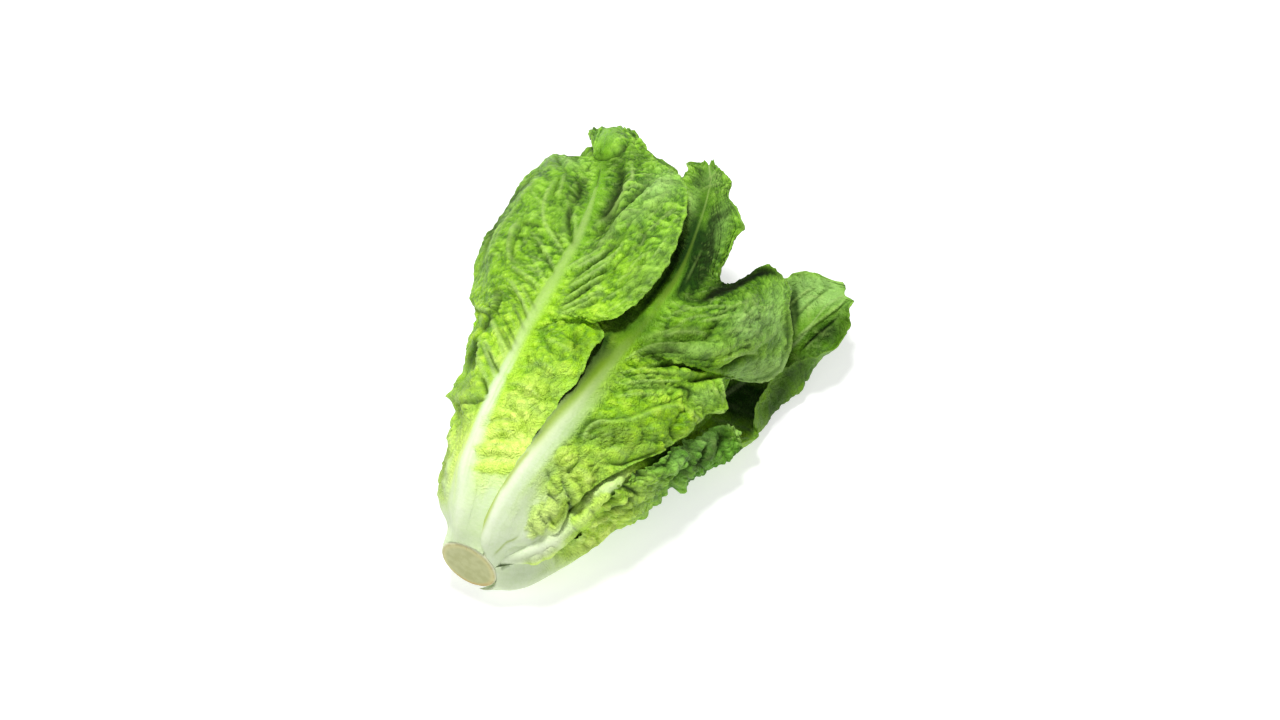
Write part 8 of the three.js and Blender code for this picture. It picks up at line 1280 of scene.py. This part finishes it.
    # ---- masks for the material
    lo_, hi_ = lime
    limey = 1 - step(lo_ + .25, hi_ + .2, v + .10 * fbm(x / 20, y / 20, seed + 81))
    we = white_end
    base = 1 - step(we * .55, we * 1.5, v + .035 * noise(x / 6, y / 14, seed + 82) - .05 * vein * step(.08, .2, v))
    ribm = step(1.25, .35, ax / np.maximum((rib_scale(v) if callable(rib_scale) else rib_scale) * ribw * np.interp(v, [0, .2, .45, .8, 1], [1.0, .75, .55, .40, .35]), .6)) * np.interp(v, [0, .45, .7, 1.0], [1, .9, .8, .6]) * (rib_white(v) if callable(rib_white) else rib_white)
    tone = np.interp(v, *rib_tone)
    white = np.clip(np.maximum(np.maximum(base, ribm), .35 * vein + .10 * (1 - t) * zone), 0, 1)
    white = np.maximum(white, np.clip(hand["white"], 0, 1)) * (1 - np.clip(hand["unwhite"], 0, 1))
    # painted highlight along the top of the rib
    rib_crest_highlight = np.clip(ridge * np.interp(v, [0, .1, .7, 1], [.2, 1, .8, .3]), 0, 1) * (rib_white(v) if callable(rib_white) else rib_white) * np.clip(1 - 1.5 * tone, 0, 1)
    tb = zone * patch * (dome * (.15 + 1.1 * rid) - .40)
    # relief height; the material makes hollows deeper green and tops lighter, partly the leaf's tone, partly painted
    # shade and highlight
    height = np.clip(.5 + (contrast(u, v, x, ym) if callable(contrast) else contrast) * (tb * .8 * cw + .9 * (fw - .38) * zone * (dome2 - .5) + bands * .4 * zone + crinkle * .75 + wrinkles * 1.1), 0, 1)
    # pits between blisters and crinkle valleys: painted shade
    pit = np.clip(np.maximum((1 - t) ** 2 * zone * np.clip(b, 0, 1), .8 * valley), 0, 1)
    att = dict(tone=tone, white=white, lime=limey, rib_crest_highlight=rib_crest_highlight, height=height, vein=np.clip(vein, 0, 1),
               # edge: a paler rim along the margin, a painted highlight
               edge=step(2.4, 0, toedge) * step(.1, .3, v), along=v + fresh, pit_shade=pit, blue=np.full((nv, nu), 0.0 if callable(blue) else blue),
               # pale veins; shade painted along creases
               pale=np.clip(np.maximum(hand["pale"], .55 * wpale), 0, 1), crease_shade=np.clip(np.maximum(hand["crease_shade"], .5 * wdark), 0, 1))
    att["lime"] = np.clip(att["lime"] + hand["lime"], 0, 1); att["soft"] = np.clip(hand["soft"], 0, 1)
    # a darker tint per leaf: partly the leaf's own tone, partly painted shade on leaves that lie in shade
    if callable(dark_tone_and_shade): dark_tone_and_shade = dark_tone_and_shade(u, v, x, ym)
    if callable(blue): att["blue"] = blue(u, v, x, ym)
    # the per-leaf tint and the stroke-painted shade add into one darker tint
    att["darker_tone_and_shade"] = np.clip(dark_tone_and_shade + hand["dark_tone_and_shade"], 0, 1); att["paler"] = np.clip(pale + hand["bloom_and_painted_light"], 0, 1)
    if tint is not None: att = tint(att, u, v, x, ym)
    for k, val in att.items():
        f = me.attributes.new("lf_" + k, "FLOAT", "POINT")
        f.data.foreach_set("value", np.concatenate([val.ravel(), val.ravel()]).astype(np.float32))
    mm = me.attributes.new("lf_mm", "FLOAT_VECTOR", "POINT")
    xyz = (S0 + [0, 0, seed * 13.0]).reshape(-1, 3)
    mm.data.foreach_set("vector", np.concatenate([xyz, xyz + [0, 0, 400]]).astype(np.float32).ravel())
    ob = bpy.data.objects.new(name + "_skin", me)
    bpy.context.scene.collection.objects.link(ob)
    me.materials.append(mat)
    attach(ob, "root"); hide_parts(name)
    return ob

# ------------------------------------------------------------------ materials
def lin(r, g, b):
    f = lambda c: (c / 255 / 12.92) if c / 255 <= .04045 else ((c / 255 + .055) / 1.055) ** 2.4
    return (f(r), f(g), f(b), 1)

def leaf_material(name, deep, mid, light, limed, limec, limel, whitec, veinc, rough=.46):
    m = bpy.data.materials.new(name); m.use_nodes = True; nt = m.node_tree; nt.nodes.clear()
    out = nt.nodes.new("ShaderNodeOutputMaterial"); bs = nt.nodes.new("ShaderNodeBsdfPrincipled")
    nt.links.new(bs.outputs[0], out.inputs[0])
    def at(k):
        n = nt.nodes.new("ShaderNodeAttribute"); n.attribute_name = "lf_" + k; n.attribute_type = "GEOMETRY"; return n
    def mth(op, a, b=None, clamp=False):
        n = nt.nodes.new("ShaderNodeMath"); n.operation = op; n.use_clamp = clamp
        for i, s in enumerate((a, b)):
            if s is None: continue
            if isinstance(s, (int, float)): n.inputs[i].default_value = s
            else: nt.links.new(s, n.inputs[i])
        return n.outputs[0]
    def mix(f, a, b, mode="MIX"):
        n = nt.nodes.new("ShaderNodeMix"); n.data_type = "RGBA"; n.blend_type = mode; n.clamp_factor = True
        for s, i in ((f, 0), (a, 6), (b, 7)):
            if isinstance(s, (int, float)): n.inputs[i].default_value = s
            elif isinstance(s, tuple): n.inputs[i].default_value = s
            else: nt.links.new(s, n.inputs[i])
        return n.outputs[2]
    def rng(v, a, b, c=0., d=1.):
        n = nt.nodes.new("ShaderNodeMapRange"); n.interpolation_type = "SMOOTHSTEP"
        nt.links.new(v, n.inputs[0]); n.inputs[1].default_value = a; n.inputs[2].default_value = b
        n.inputs[3].default_value = c; n.inputs[4].default_value = d; return n.outputs[0]
    mm = at("mm").outputs["Vector"]
    def tex(kind, s, **kw):
        n = nt.nodes.new(kind); nt.links.new(mm, n.inputs["Vector"]); n.inputs["Scale"].default_value = s
        for k, val in kw.items(): n.inputs[k].default_value = val
        return n
    big = tex("ShaderNodeTexNoise", .045, Detail=3.0).outputs[0]
    med = tex("ShaderNodeTexNoise", .16, Detail=4.0, Roughness=.6).outputs[0]
    fine = tex("ShaderNodeTexNoise", .8, Detail=3.0, Roughness=.6).outputs[0]
    vo = nt.nodes.new("ShaderNodeTexVoronoi"); vo.feature = "DISTANCE_TO_EDGE"; nt.links.new(mm, vo.inputs["Vector"]); vo.inputs["Scale"].default_value = .42
    vo2 = nt.nodes.new("ShaderNodeTexVoronoi"); vo2.feature = "DISTANCE_TO_EDGE"; nt.links.new(mm, vo2.inputs["Vector"]); vo2.inputs["Scale"].default_value = .95
    white, limeA, rib_crest_highlight, height = at("white").outputs["Fac"], at("lime").outputs["Fac"], at("rib_crest_highlight").outputs["Fac"], at("height").outputs["Fac"]
    vein, edge, pit_shade, along = at("vein").outputs["Fac"], at("edge").outputs["Fac"], at("pit_shade").outputs["Fac"], at("along").outputs["Fac"]
    darker_tone_and_shade, paler = at("darker_tone_and_shade").outputs["Fac"], at("paler").outputs["Fac"]
    # relief height sets the green, deep in hollows and light on tops: partly the leaf's tone, partly painted shade in
    # hollows and painted highlight on tops
    h = mth("ADD", height, mth("ADD", mth("MULTIPLY", mth("SUBTRACT", big, .5), .7), mth("MULTIPLY", mth("SUBTRACT", med, .5), .7)))
    g = mix(rng(h, .15, .60), deep, mid)
    g = mix(mth("MULTIPLY", rng(h, .50, .95), .75), g, light)
    lm = mix(rng(h, .10, .55), limed, limec)
    lm = mix(mth("MULTIPLY", rng(h, .50, .95), .8), lm, limel)
    pl = mix(rng(h, .05, .75), lin(186, 218, 88), lin(228, 244, 166))
    lm = mix(mth("MULTIPLY", rng(along, .38, .16), .8), lm, pl)
    col = mix(limeA, g, lm)
    col = mix(at("soft").outputs["Fac"], col, pl)
    # painted shade in the pits between blisters
    col = mix(mth("MULTIPLY", pit_shade, .30), col, mix(1.0, col, lin(165, 185, 60), "MULTIPLY"))
    nets = mth("MULTIPLY", rng(vo.outputs[0], .10, .0), mth("SUBTRACT", 1.0, mth("MULTIPLY", white, .9), True))
    # thin lines along the bottoms of the bump's crinkles (the same noise as cr1 below), painted darker: painted shade
    # in the crinkles
    c1 = tex("ShaderNodeTexNoise", .30, Detail=2.5, Roughness=.55, Distortion=1.2).outputs[0]
    c1 = rng(mth("ABSOLUTE", mth("SUBTRACT", c1, .5)), .035, .0)
    col = mix(mth("MULTIPLY", mth("MULTIPLY", c1, mth("ADD", .25, mth("MULTIPLY", limeA, .25))), .8), col, mix(1.0, col, lin(168, 190, 90), "MULTIPLY"))
    col = mix(mth("MULTIPLY", nets, .16), col, light)
    col = mix(mth("MULTIPLY", vein, .38), col, veinc)
    # paler rim along the margin: painted highlight
    col = mix(mth("MULTIPLY", edge, .50), col, light)
    col = mix(mth("MULTIPLY", at("blue").outputs["Fac"], 1.0), col, mix(1.0, col, lin(150, 215, 225), "MULTIPLY"))
    # darker tint: painted shade in folds, gaps and shaded faces, with some darker leaf tone
    col = mix(mth("MULTIPLY", darker_tone_and_shade, 1.0), col, mix(1.0, col, lin(88, 118, 52), "MULTIPLY"))
    col = mix(1.0, col, (1.16, 1.24, .60, 1), "MULTIPLY")
    # bloom tint, brighter on tops; it also paints light on faces turned from the lamp
    gl = mth("MULTIPLY", paler, rng(h, .1, .8, .55, 1.0))
    col = mix(gl, col, mix(.78, col, lin(172, 220, 122)))
    col = mix(mth("MULTIPLY", at("pale").outputs["Fac"], .75), col, veinc)
    # painted shade along creases
    cr = mix(1.0, col, lin(52, 84, 8), "MULTIPLY")
    col = mix(mth("MULTIPLY", at("crease_shade").outputs["Fac"], .95), col, cr)
    # white base, midrib
    wn = mix(rng(fine, .3, .7), whitec, mix(.12, whitec, limec))
    tone = at("tone").outputs["Fac"]
    wn = mix(rng(tone, .0, .5), wn, mix(rng(fine, .3, .7), lin(174, 204, 116), lin(162, 197, 102)))
    wn = mix(rng(tone, .5, 1.0), wn, lin(100, 130, 24))
    w2 = mth("MULTIPLY", white, mth("ADD", .93, mth("MULTIPLY", mth("SUBTRACT", med, .5), .35)), True)
    col = mix(w2, col, wn)
    # painted highlight along the top of the rib
    col = mix(mth("MULTIPLY", rib_crest_highlight, .55), col, lin(244, 250, 226))
    # the darker tint again over the white base and rib: painted shade
    col = mix(mth("MULTIPLY", darker_tone_and_shade, .62), col, mix(1.0, col, lin(112, 134, 56), "MULTIPLY"))
    # olive painted shade in creases over the white base
    col = mix(mth("MULTIPLY", at("crease_shade").outputs["Fac"], mth("MULTIPLY", white, .97)), col, mix(1.0, col, (.50, .60, .03, 1), "MULTIPLY"))
    nt.links.new(col, bs.inputs["Base Color"])
    r = mth("ADD", mth("ADD", rough - .14, mth("MULTIPLY", med, .16)), mth("MULTIPLY", mth("ADD", darker_tone_and_shade, at("crease_shade").outputs["Fac"]), .45), True); nt.links.new(r, bs.inputs["Roughness"])
    bs.inputs["IOR"].default_value = 1.42
    bs.inputs["Specular IOR Level"].default_value = .22
    bs.inputs["Subsurface Weight"].default_value = 0.0
    notw = mth("SUBTRACT", 1.0, mth("MULTIPLY", white, .92), True)
    cr1 = tex("ShaderNodeTexNoise", .30, Detail=2.5, Roughness=.55, Distortion=1.2).outputs[0]
    cr2 = tex("ShaderNodeTexNoise", .62, Detail=2.0, Roughness=.5, Distortion=.8).outputs[0]
    rid1 = mth("ABSOLUTE", mth("SUBTRACT", cr1, .5)); rid2 = mth("ABSOLUTE", mth("SUBTRACT", cr2, .5))
    rough_zone = mth("ADD", .35, mth("MULTIPLY", limeA, .30))
    hh = mth("MULTIPLY", mth("ADD", mth("MULTIPLY", rid1, 3.6), mth("MULTIPLY", rid2, 1.2)), mth("MULTIPLY", notw, rough_zone))
    hh = mth("ADD", hh, mth("MULTIPLY", mth("ADD", rng(vo.outputs[0], .0, .3), mth("MULTIPLY", rng(vo2.outputs[0], 0, .2), .25)), mth("MULTIPLY", notw, .26)))
    hh = mth("ADD", hh, mth("MULTIPLY", fine, .15))
    b1 = nt.nodes.new("ShaderNodeBump"); b1.inputs["Strength"].default_value = .85; b1.inputs["Distance"].default_value = .0013
    nt.links.new(hh, b1.inputs["Height"]); nt.links.new(b1.outputs[0], bs.inputs["Normal"])
    # the same crinkles darken the blade a little (c1, above): painted shade in the crinkles
    return m

WHITE = lin(225, 238, 207); VEIN = lin(186, 220, 122)
M_OUT = leaf_material("leaf_outer", lin(54, 100, 6), lin(110, 160, 36), lin(160, 206, 96), lin(108, 160, 0), lin(158, 206, 26), lin(198, 232, 92), WHITE, VEIN)
M_IN = leaf_material("leaf_inner", lin(100, 148, 36), lin(138, 184, 60), lin(176, 212, 100), lin(140, 184, 30), lin(176, 212, 70), lin(208, 234, 120), lin(232, 240, 206), lin(206, 228, 150))
M_HEART = leaf_material("leaf_heart", lin(150, 184, 66), lin(184, 208, 100), lin(208, 224, 134), lin(186, 204, 90), lin(212, 222, 128), lin(228, 234, 160), lin(240, 240, 212), lin(228, 236, 184))

# ------------------------------------------------------------------ the leaves
Q = 1.0
def n_(a): return int(a * Q) // 2 * 2 + 1

leaf("outer_leaf_02", n_(290), n_(162), 2, mat=M_OUT, jag=lambda u, v, x, ym: .8 + 1.6 * (u < 0) * step(.06, .12, v) * step(.36, .26, v), ruffle=.5, veins=.25, crumple=lambda u, v, x, ym: np.interp(v, [.1, .2, .45, .55, 1], [.5, .9, .9, .35, .35]),
     bullate=lambda u, v, x, ym: np.interp(v, [.1, .2, .45, .55, 1], [.6, 1.0, .85, .52, .5]) * (1 - .45 * step(.26, .36, v) * step(0, -8, x)) + .15 * step(.5, .6, v) * step(8, 22, x),
     contrast=lambda u, v, x, ym: np.interp(v, [.35, .5], [.40, .60]), coarse=lambda u, v, x, ym: np.interp(v, [.4, .5], [1, .65]), finer=lambda u, v, x, ym: np.interp(v, [.4, .5], [.3, .95]),
     cell=6, puff=.3, extend=lambda u, v, x, ym: np.where(u > 0, np.interp(v, [0, .04, .12, .2, .27], [2, 4, 4, 3, 0]), 0),
     wrinkle=lambda u, v, x, ym: np.interp(v, [.2, .4, .55, 1], [.35, .5, .95, .8]) + .6 * step(6, 16, x) * step(.4, .52, v) * step(.95, .8, v), rib_scale=lambda v: np.interp(v, [.06, .1, .2, .4, .55, .68, .82], [1.0, .8, .55, .75, 1.6, 1.5, .7]),
     rib_white=lambda v: np.interp(v, [.35, .55, .78, .88], [1, .85, .8, 0]), keel=.5, rib_tone=([.3, .45, .6, .75, 1], [.16, .54, .62, .64, .65]))
leaf("outer_leaf_03", n_(290), n_(162), 3, mat=M_OUT, lime=(.10, .42), jag=lambda u, v, x, ym: .6 * np.interp(v, [.92, .96], [1, .15]), ruffle=.4, veins=.25, crumple=lambda u, v, x, ym: np.interp(v, [.1, .2, .4, .5, 1], [.5, 1.0, 1.0, .45, .4]),
     bullate=lambda u, v, x, ym: np.interp(v, [.1, .2, .35, .5, 1], [.6, 1.0, .85, .7, .6]), contrast=lambda u, v, x, ym: np.interp(v, [.35, .5], [.40, .52]),
     coarse=lambda u, v, x, ym: 1 - .45 * step(.45, .55, v) * step(20, 36, x), finer=lambda u, v, x, ym: .38 + .6 * step(.45, .55, v) * step(12, 30, x),
     cell=6, puff=.35, dark_tone_and_shade=.08, keel=.1, fresh=.08, rib_scale=lambda v: np.interp(v, [0, .1, .2, .45, .6, .7, .85], [1, .95, .75, .75, 1, .8, .45]), wrinkle=lambda u, v, x, ym: np.interp(v, [.2, .4, .55, 1], [.4, .8, .9, .7]) * (1 - .65 * step(.45, .55, v) * step(32, 46, x)), rib_tone=([.18, .30, .40, .5, .75, .88, 1], [0, .36, .72, .97, 1, .7, .6]))
leaf("outer_leaf_01", n_(210), n_(140), 4, mat=M_OUT, jag=2.0, ruffle=1.6, bullate=lambda u, v, x, ym: np.interp(v, [.3, .5], [.5, 1.1]), crumple=1.0, ribfree=lambda v: step(.30, .42, v), cell=5, puff=.6, dark_tone_and_shade=lambda u, v, x, ym: np.interp(v, [.4, .7, .9], [0, .1, .2]), blue=lambda u, v, x, ym: np.interp(v, [.45, .75], [0, .5]), lime=(.15, .5), veins=.4, from_v=(.17, .30), rib_white=lambda v: np.interp(v, [0, .15, .28], [1, .9, 0]),
     extend=lambda u, v, x, ym: np.where(u < 0, np.interp(v, [0, .05, .15, .3, .5, .62], [3.5, 5, 9, 9, 3, 0]), 0))
leaf("outer_leaf_04", n_(190), n_(130), 5, mat=M_OUT, rib_scale=.45, rib_white=.7, jag=lambda u, v, x, ym: np.interp(v, [.8, .92], [.8, .25]), ruffle=.6, bullate=.4, puff=.4, wrinkle=.3, side=-1, dark_tone_and_shade=.12, veins=.5, crumple=.4)
leaf("outer_leaf_07", n_(160), n_(124), 6, mat=M_OUT, jag=1.2, ruffle=1.4, bullate=1.0, cell=7, puff=.6, lime=(.3, .8), veins=.4, rib_white=lambda v: np.interp(v, [.12, .3, .5], [1, .35, 0]),
     extend=lambda u, v, x, ym: np.where(u > 0, np.interp(v, [0, .04, .2, .4, .55], [0, 2, 7, 6, 0]), 0))
leaf("outer_leaf_05", n_(130), n_(80), 7, mat=M_OUT, jag=1, ruffle=1.2)
leaf("outer_leaf_06", n_(116), n_(72), 8, mat=M_OUT, jag=1, ruffle=.6, swell=.4, dark_tone_and_shade=.2)
leaf("outer_leaf_11", n_(110), n_(70), 9, mat=M_OUT, jag=1, ruffle=.8, swell=.5, dark_tone_and_shade=.25)
leaf("outer_leaf_09", n_(104), n_(56), 10, mat=M_OUT, jag=1, ruffle=.9, swell=.5)
leaf("outer_leaf_10", n_(104), n_(60), 11, mat=M_OUT, jag=1, ruffle=.9, swell=.5)
leaf("outer_leaf_08", n_(70), n_(40), 12, mat=M_OUT, jag=1, ruffle=.5, swell=.3)
for i, nm in enumerate(["inner_leaf_12", "inner_leaf_13", "inner_leaf_14", "inner_leaf_15", "inner_leaf_16"]):
    leaf(nm, n_(70), n_(38), 20 + i, mat=M_IN, jag=.8, ruffle=.6, swell=.4, puff=.7, bullate=.8)
for i, nm in enumerate(["heart_leaf_17", "heart_leaf_18", "heart_leaf_19", "heart_leaf_20", "heart_leaf_21"]):
    leaf(nm, n_(62), n_(34), 30 + i, mat=M_HEART, jag=.6, ruffle=.5, swell=.2, puff=.5, bullate=.6, cell=6)


# ------------------------------------------------------------------ stem
def stem_piece():
    r0 = [(0.0, 0.0), (0.0, 5.0), (0.0, 10.0), (.05, 13.6), (.35, 15.2), (1.0, 16.2), (2.2, 16.3), (4, 15.2), (7, 12.6), (10, 11.0), (20, 8.4), (35, 5.2), (50, 2.2), (57, .4)]
    s = np.array([a for a, b in r0]); r = np.array([b for a, b in r0])
    t = np.linspace(0, len(r0) - 1, 120); ss = np.interp(t, np.arange(len(s)), s); rr = np.interp(t, np.arange(len(s)), r)
    k = 160; th = np.linspace(0, 2 * np.pi, k, endpoint=False)
    V = []; dat = []
    for a, b, tt in zip(ss, rr, t):
        wob = 1 + .018 * noise(np.cos(th) * 1.3 + 4, np.sin(th) * 1.3 + 9, 5) + .008 * noise(np.cos(th) * 6, np.sin(th) * 6, 6)
        face = max(0, 1 - b / 15.0) if a < .3 else 0
        dip = (.35 * face + .10 * (noise(np.cos(th) * b / 5, np.sin(th) * b / 5, 8))) if a < .3 else 0
        xx = STEM_X + a + dip
        yy_ = STEM_Y - b * wob * np.sin(th); zz = STEM_Z + .10 * a + b * wob * np.cos(th)
        V.append(np.stack([np.full(k, 0.0) + xx, yy_, zz], -1)); dat.append(np.stack([np.full(k, b), th, np.full(k, a)], -1))
    V = np.array(V); dat = np.array(dat)
    n = len(V)
    verts = [V[0].mean(0)] + list(V[1:-1].reshape(-1, 3)) + [V[-1].mean(0)]
    faces = []; m = n - 2
    for j in range(k): faces.append((0, 1 + j, 1 + (j + 1) % k))
    for i in range(m - 1):
        for j in range(k):
            a = 1 + i * k + j; b = 1 + i * k + (j + 1) % k
            faces.append((a, a + k, b + k, b))
    last = len(verts) - 1
    for j in range(k): faces.append((1 + (m - 1) * k + j, last, 1 + (m - 1) * k + (j + 1) % k))
    me = bpy.data.meshes.new("stem_skin"); me.from_pydata([tuple(p / 1000 for p in q) for q in verts], [], faces); me.update()
    import bmesh
    bm = bmesh.new(); bm.from_mesh(me); bmesh.ops.recalc_face_normals(bm, faces=bm.faces); bm.to_mesh(me); bm.free()
    me.polygons.foreach_set("use_smooth", np.ones(len(me.polygons), bool))
    rad = np.concatenate([[0], dat[1:-1, :, 0].ravel(), [0]]); ang = np.concatenate([[0], dat[1:-1, :, 1].ravel(), [0]]); dep = np.concatenate([[0], dat[1:-1, :, 2].ravel(), [57]])
    for nm, val in (("st_r", rad), ("st_a", ang), ("st_d", dep)):
        f = me.attributes.new(nm, "FLOAT", "POINT"); f.data.foreach_set("value", val.astype(np.float32))
    ob = bpy.data.objects.new("stem_skin", me); bpy.context.scene.collection.objects.link(ob)
    m = bpy.data.materials.new("stem_flesh"); m.use_nodes = True; nt = m.node_tree
    bs = nt.nodes["Principled BSDF"]
    def at(nm):
        q = nt.nodes.new("ShaderNodeAttribute"); q.attribute_name = nm; return q.outputs["Fac"]
    def mx(f, a, b):
        q = nt.nodes.new("ShaderNodeMix"); q.data_type = "RGBA"
        for s_, i in ((f, 0), (a, 6), (b, 7)):
            if isinstance(s_, (int, float, tuple)): q.inputs[i].default_value = s_
            else: nt.links.new(s_, q.inputs[i])
        return q.outputs[2]
    def rg(v_, a, b, c=0., d=1.):
        q = nt.nodes.new("ShaderNodeMapRange"); q.interpolation_type = "SMOOTHSTEP"; nt.links.new(v_, q.inputs[0])
        for i, z_ in enumerate((a, b, c, d)): q.inputs[i + 1].default_value = z_
        return q.outputs[0]
    def mt(op, a, b):
        q = nt.nodes.new("ShaderNodeMath"); q.operation = op; q.use_clamp = True
        for i, s_ in enumerate((a, b)):
            if isinstance(s_, (int, float)): q.inputs[i].default_value = s_
            else: nt.links.new(s_, q.inputs[i])
        return q.outputs[0]
    tc = nt.nodes.new("ShaderNodeTexCoord"); nz = nt.nodes.new("ShaderNodeTexNoise"); nz.inputs["Scale"].default_value = 260; nz.inputs["Detail"].default_value = 5
    nt.links.new(tc.outputs["Object"], nz.inputs["Vector"])
    n2 = nt.nodes.new("ShaderNodeTexNoise"); n2.inputs["Scale"].default_value = 70; n2.inputs["Detail"].default_value = 3; nt.links.new(tc.outputs["Object"], n2.inputs["Vector"])
    r_, d_, a_ = at("st_r"), at("st_d"), at("st_a")
    face = mx(rg(nz.outputs[0], .35, .65), lin(190, 194, 138), lin(178, 182, 124))
    face = mx(mt("MULTIPLY", rg(n2.outputs[0], .5, .75), .35), face, lin(196, 200, 152))
    ringm = mt("MULTIPLY", rg(r_, 12.2, 14.6), 1.0)
    low = rg(a_, 1.6, 2.6)          # the side of the rim that browned, low on the near side
    low2 = rg(a_, 4.3, 3.3)
    browned = mt("MULTIPLY", mt("MULTIPLY", ringm, mt("MULTIPLY", low, low2)), .8)
    face = mx(mt("MULTIPLY", ringm, .75), face, lin(214, 210, 148))
    face = mx(browned, face, lin(190, 158, 88))
    face = mx(mt("MULTIPLY", mt("MULTIPLY", rg(r_, 14.2, 15.2), rg(nz.outputs[0], .35, .6)), .4), face, lin(168, 152, 90))
    side = mx(rg(nz.outputs[0], .4, .7), lin(226, 230, 196), lin(212, 214, 176))
    col = mx(rg(d_, .25, 1.1), face, side)
    nt.links.new(col, bs.inputs["Base Color"])
    bs.inputs["Roughness"].default_value = .55
    bs.inputs["Specular IOR Level"].default_value = .35
    bp = nt.nodes.new("ShaderNodeBump"); bp.inputs["Strength"].default_value = .3; bp.inputs["Distance"].default_value = .0004
    nt.links.new(nz.outputs[0], bp.inputs["Height"]); nt.links.new(bp.outputs[0], bs.inputs["Normal"])
    me.materials.append(m)
    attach(ob, "root"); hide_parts("stem")
    return ob

stem_piece()

# ------------------------------------------------------------------ floor, light, camera
fm = bpy.data.materials.new("floor"); fm.use_nodes = True
fb = fm.node_tree.nodes["Principled BSDF"]; fb.inputs["Base Color"].default_value = (.60, .60, .60, 1); fb.inputs["Roughness"].default_value = .9
fb.inputs["Specular IOR Level"].default_value = .1
fb.inputs["Emission Color"].default_value = (1, 1, 1, 1); fb.inputs["Emission Strength"].default_value = .62
bpy.ops.mesh.primitive_plane_add(size=8, location=(0, 0, 0)); floor = bpy.context.object; floor.name = "floor"; floor.data.materials.append(fm)

scene = bpy.context.scene
scene.view_settings.view_transform = "Standard"
scene.view_settings.look = "None"
world = bpy.data.worlds.new("studio"); scene.world = world; world.use_nodes = True
bg = world.node_tree.nodes["Background"]; bg.inputs[0].default_value = (1, 1, 1, 1); bg.inputs[1].default_value = AMBIENT

def area(name, loc, target, size, energy, color=(1, 1, 1)):
    l = bpy.data.lights.new(name, "AREA"); l.shape = "DISK"; l.size = size; l.energy = energy; l.color = color
    o = bpy.data.objects.new(name, l); scene.collection.objects.link(o); o.location = loc
    o.rotation_mode = "QUATERNION"; o.rotation_quaternion = (Vector(target) - Vector(loc)).to_track_quat("-Z", "Y")
    return o
area("key", (.15, .25, 1.8), (0, 0, .04), .45, 33)
area("front", (-1.3, -.2, 1.5), (0, 0, .04), 1.2, 5)


cam_data = bpy.data.cameras.new("camera"); cam_data.lens = 85.0; cam_data.sensor_width = 36.0; cam_data.sensor_fit = "HORIZONTAL"
cam_data.clip_start = .05; cam_data.clip_end = 20
cam = bpy.data.objects.new("camera", cam_data); scene.collection.objects.link(cam)
Rv, Uv, Fv = Vector(CAM_R), Vector(CAM_U), Vector(CAM_F)
cam.matrix_world = Matrix(((Rv.x, Uv.x, -Fv.x, CAM_C[0]), (Rv.y, Uv.y, -Fv.y, CAM_C[1]), (Rv.z, Uv.z, -Fv.z, CAM_C[2]), (0, 0, 0, 1)))
scene.camera = cam
